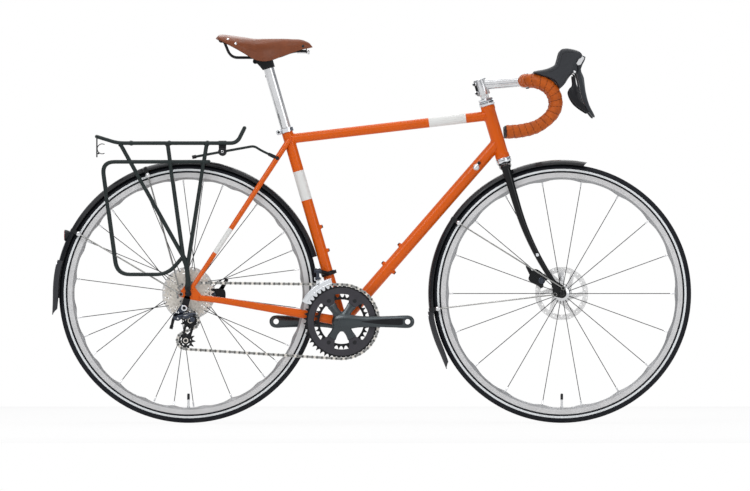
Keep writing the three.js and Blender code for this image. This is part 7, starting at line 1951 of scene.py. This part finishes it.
def make_caliper(name, axle, degrees, rotor_y, outboard, body, node):
    """Two halves round the rotor, joined over its rim, with pads, bolts and the cable's inlet."""
    out, along = turned_axes(degrees)
    put = about(axle, out, along, ACROSS)
    piece = Piece(name, "black_metal", "dark_steel", "alloy", "mech_alloy",
                  centre=axle + out * 73 + ACROSS * rotor_y)
    shell = loop_through([
        (50, -12), (54, -18), (66, -17), (84, -18.6), (94, -15), (97, -5), (96.5, 8), (92, 17), (80, 18.8),
        (62, 17), (53, 18), (50, 11), (56, 0)])
    low, high = rotor_y - 8.6, rotor_y + outboard
    for start, end in ((low, rotor_y - 2.4), (rotor_y + 2.4, high)):
        piece.plate(shell, start, end, put=put)
    piece.plate(strap(84, -9, 9.5, 84, 9, 9.5), rotor_y - 3, rotor_y + 3, put=put)
    for side in SIDES:
        start, end = sorted((rotor_y + side * 1.5, rotor_y + side * 3))
        piece.plate(strap(60, -8, 6, 60, 8, 6, 8), start, end, mark=1, put=put)
        foot = axle + out * 62 + ACROSS * (high if side > 0 else low)
        piece.lathe(foot, ACROSS * side, [
            (0, -1), (9, -1), (9, 0.4), (8, 1.2), (5, 1.4), (4.6, 0.5), (0, 0.5)], 36, 3)
    for tangential in (-13, 13):
        piece.bolt(axle + out * 84 + along * tangential + ACROSS * high, ACROSS, 3.4, 2.4, 2)
    inlet = axle + out * 93 + along * -10 + ACROSS * (rotor_y + outboard - 2.5)
    piece.lathe(inlet, out, [(0, -2), (4.4, -2), (4.4, 2.4), (3.4, 3), (3.4, 5.2), (0, 5.2)], 20, 2)
    piece.done(body, "brake", node, bevel=0.8)


def make_caliper_arm(name, axle, degrees, rotor_y, outboard, arm_degrees, body, node):
    """The cable's arm on the caliper's outer face, with its spring and clamp bolt."""
    out, along = turned_axes(degrees)
    pivot = axle + out * 80 + along * 8
    tip = pivot + turned_axes(arm_degrees)[0] * 38
    low = rotor_y + outboard + 0.3
    piece = Piece(name, "black_metal", "dark_steel", "alloy", "steel", centre=beside(pivot, low))
    knots = [(0, 8), (0.35, 5.6), (0.7, 4.4), (1, 4.6)]
    discs = [(lerp(pivot.x, tip.x, share), lerp(pivot.z, tip.z, share), radius) for share, radius in knots]
    for pair in (discs[:2], discs[1:]):
        piece.plate(wrapped(pair), low, low + 3)
    piece.bolt(beside(pivot, low + 3), ACROSS, 5.4, 3, 1)
    spring = []
    for k in range(61):
        turn = 2 * math.pi * SPRING_TURNS * k / 60
        spring.append(at(pivot.x + 6.9 * math.cos(turn), low + 3.7 + 1.1 * SPRING_TURNS * k / 60,
                         pivot.z + 6.9 * math.sin(turn)))
    piece.tube(spring, 0.6, 8, 3)
    piece.lathe(beside(tip, low + 3), ACROSS, [
        (0, -0.4), (4, -0.4), (4, 1), (3.2, 1.4), (3.2, 4), (0, 4.2)], 24, 2)
    piece.done(body, "brake_arm", node, bevel=0.4)


for end, axle, body, *seat in (("front", front_axle, "steering", 147, 39.5, 9, 118),
                               ("rear", rear_axle, "frame", -4, 52.1, 6.4, 60)):
    degrees, rotor_y, outboard, arm_degrees = seat
    make_caliper(f"{end}_caliper_skin", axle, degrees, rotor_y, outboard, body, f"{end}_caliper")
    make_caliper_arm(f"{end}_caliper_arm_skin", axle, degrees, rotor_y, outboard, arm_degrees,
                     f"{end}_brake_arm", f"{end}_caliper_arm")

# Stage, light and camera

VIEW_WIDTH, VIEW_CENTRE = 1.965, (0.0078, 0.4648)
CAMERA_LENS, CAMERA_SENSOR = 900, 36
FLOOR_GLOW = 0.82
# Dark cards for glossy rays: the ray's axis, where along it, and how far they reach to either side.
CARDS = (("X", 0.66, 0.2), ("X", -0.9, 0.12), ("Z", 0.3, 0.14))
CARD_TONE = (0.16, 0.17, 0.19, 1)
CAMERA_DISTANCE = VIEW_WIDTH * CAMERA_LENS / CAMERA_SENSOR


def build_stage():
    """A pale floor that fades to the white surroundings and keeps a faint shadow."""
    mesh = bpy.data.meshes.new("floor")
    mesh.from_pydata([(-6, -5, 0), (7, -5, 0), (7, 5, 0), (-6, 5, 0)], [], [(0, 1, 2, 3)])
    thing = placed("floor", mesh)
    nodes = Nodes("floor_finish")
    tone = nodes.mix(nodes.fit(nodes.noise(3), 0, 1), (0.86, 0.86, 0.86, 1), (0.9, 0.9, 0.9, 1))
    nodes.dress(Roughness=0.8, Specular_IOR_Level=0.1, Base_Color=tone)
    glow = nodes.add("ShaderNodeEmission", Color=(1, 1, 1, 1), Strength=1.0)
    rays = nodes.add("ShaderNodeLightPath")
    share = nodes.calc("MULTIPLY", seen_rays(nodes, rays), FLOOR_GLOW)
    nodes.link(nodes.blend(share, nodes.shader, glow), nodes.tree.nodes["Material Output"].inputs["Surface"])
    mesh.materials.append(nodes.material)


def seen_rays(wires, rays):
    """One for rays of the camera, of gloss and of clear materials, which meet the white surroundings."""
    total = rays.outputs["Is Camera Ray"]
    for name in ("Is Glossy Ray", "Is Transmission Ray"):
        total = wires.calc("MAXIMUM", total, rays.outputs[name])
    return total


def dark_cards(wires, parts, rays):
    """White surroundings, with soft dark cards that only glossy surfaces pick up."""
    total = 0.0
    for name, place, half in CARDS:
        off = wires.calc("ABSOLUTE", wires.calc("SUBTRACT", parts.outputs[name], place))
        total = wires.calc("MAXIMUM", wires.fit(off, 1, 0, half * 0.4, half, "SMOOTHSTEP"), total)
    dark = wires.calc("MULTIPLY", total, rays.outputs["Is Glossy Ray"])
    return wires.mix(dark, (1, 1, 1, 1), CARD_TONE)


def build_world():
    """White for the rays that are seen, and a soft grey gradient that lights the rest."""
    world = bpy.data.worlds.new("studio")
    bpy.context.scene.world = world
    world.use_nodes = True
    wires = Wires(world.node_tree)
    wires.tree.nodes.clear()
    rays = wires.add("ShaderNodeLightPath")
    heading = wires.add("ShaderNodeTexCoord").outputs["Generated"]
    parts = wires.add("ShaderNodeSeparateXYZ", Vector=heading)
    ramp = wires.add("ShaderNodeValToRGB", Fac=wires.fit(parts.outputs["Z"], 0, 1, -1, 1))
    steps = ramp.color_ramp.elements
    steps[0].color = (0.75, 0.75, 0.76, 1)
    steps[1].color = (1.25, 1.25, 1.27, 1)
    steps.new(0.5).color = (0.6, 0.6, 0.62, 1)
    lit = wires.add("ShaderNodeBackground", Color=ramp.outputs["Color"], Strength=0.45)
    shown = wires.add("ShaderNodeBackground", Color=dark_cards(wires, parts, rays))
    wires.link(wires.blend(seen_rays(wires, rays), lit, shown),
               wires.add("ShaderNodeOutputWorld").inputs["Surface"])


def add_lamp(name, place, aim, size, watts):
    lamp = bpy.data.lights.new(name, "AREA")
    lamp.shape = "RECTANGLE"
    lamp.size, lamp.size_y = size
    lamp.energy = watts
    thing = placed(name, lamp)
    thing.location = place
    thing.rotation_euler = (Vector(aim) - Vector(place)).to_track_quat("-Z", "Y").to_euler()


def add_camera():
    camera = bpy.data.cameras.new("camera")
    camera.lens, camera.sensor_width = CAMERA_LENS, CAMERA_SENSOR
    camera.clip_end = 2 * CAMERA_DISTANCE
    thing = placed("camera", camera)
    thing.location = (VIEW_CENTRE[0], -CAMERA_DISTANCE, VIEW_CENTRE[1])
    thing.rotation_euler = (math.radians(90), 0, 0)
    bpy.context.scene.camera = thing


bpy.context.scene.view_settings.view_transform = "Standard"
build_stage()
build_world()
add_lamp("key", (-2.2, -4.2, 4.2), (0, 0, 0.5), (3.2, 2.4), 130)
add_lamp("fill", (3.6, -4.0, 1.8), (0, 0, 0.5), (2.4, 2.4), 45)
add_lamp("top", (0, 0.6, 4.5), (0, 0, 0.5), (4.0, 2.0), 60)
add_lamp("back", (0.5, 4.5, 3.0), (0, 0, 0.5), (4.0, 2.0), 60)
add_camera()
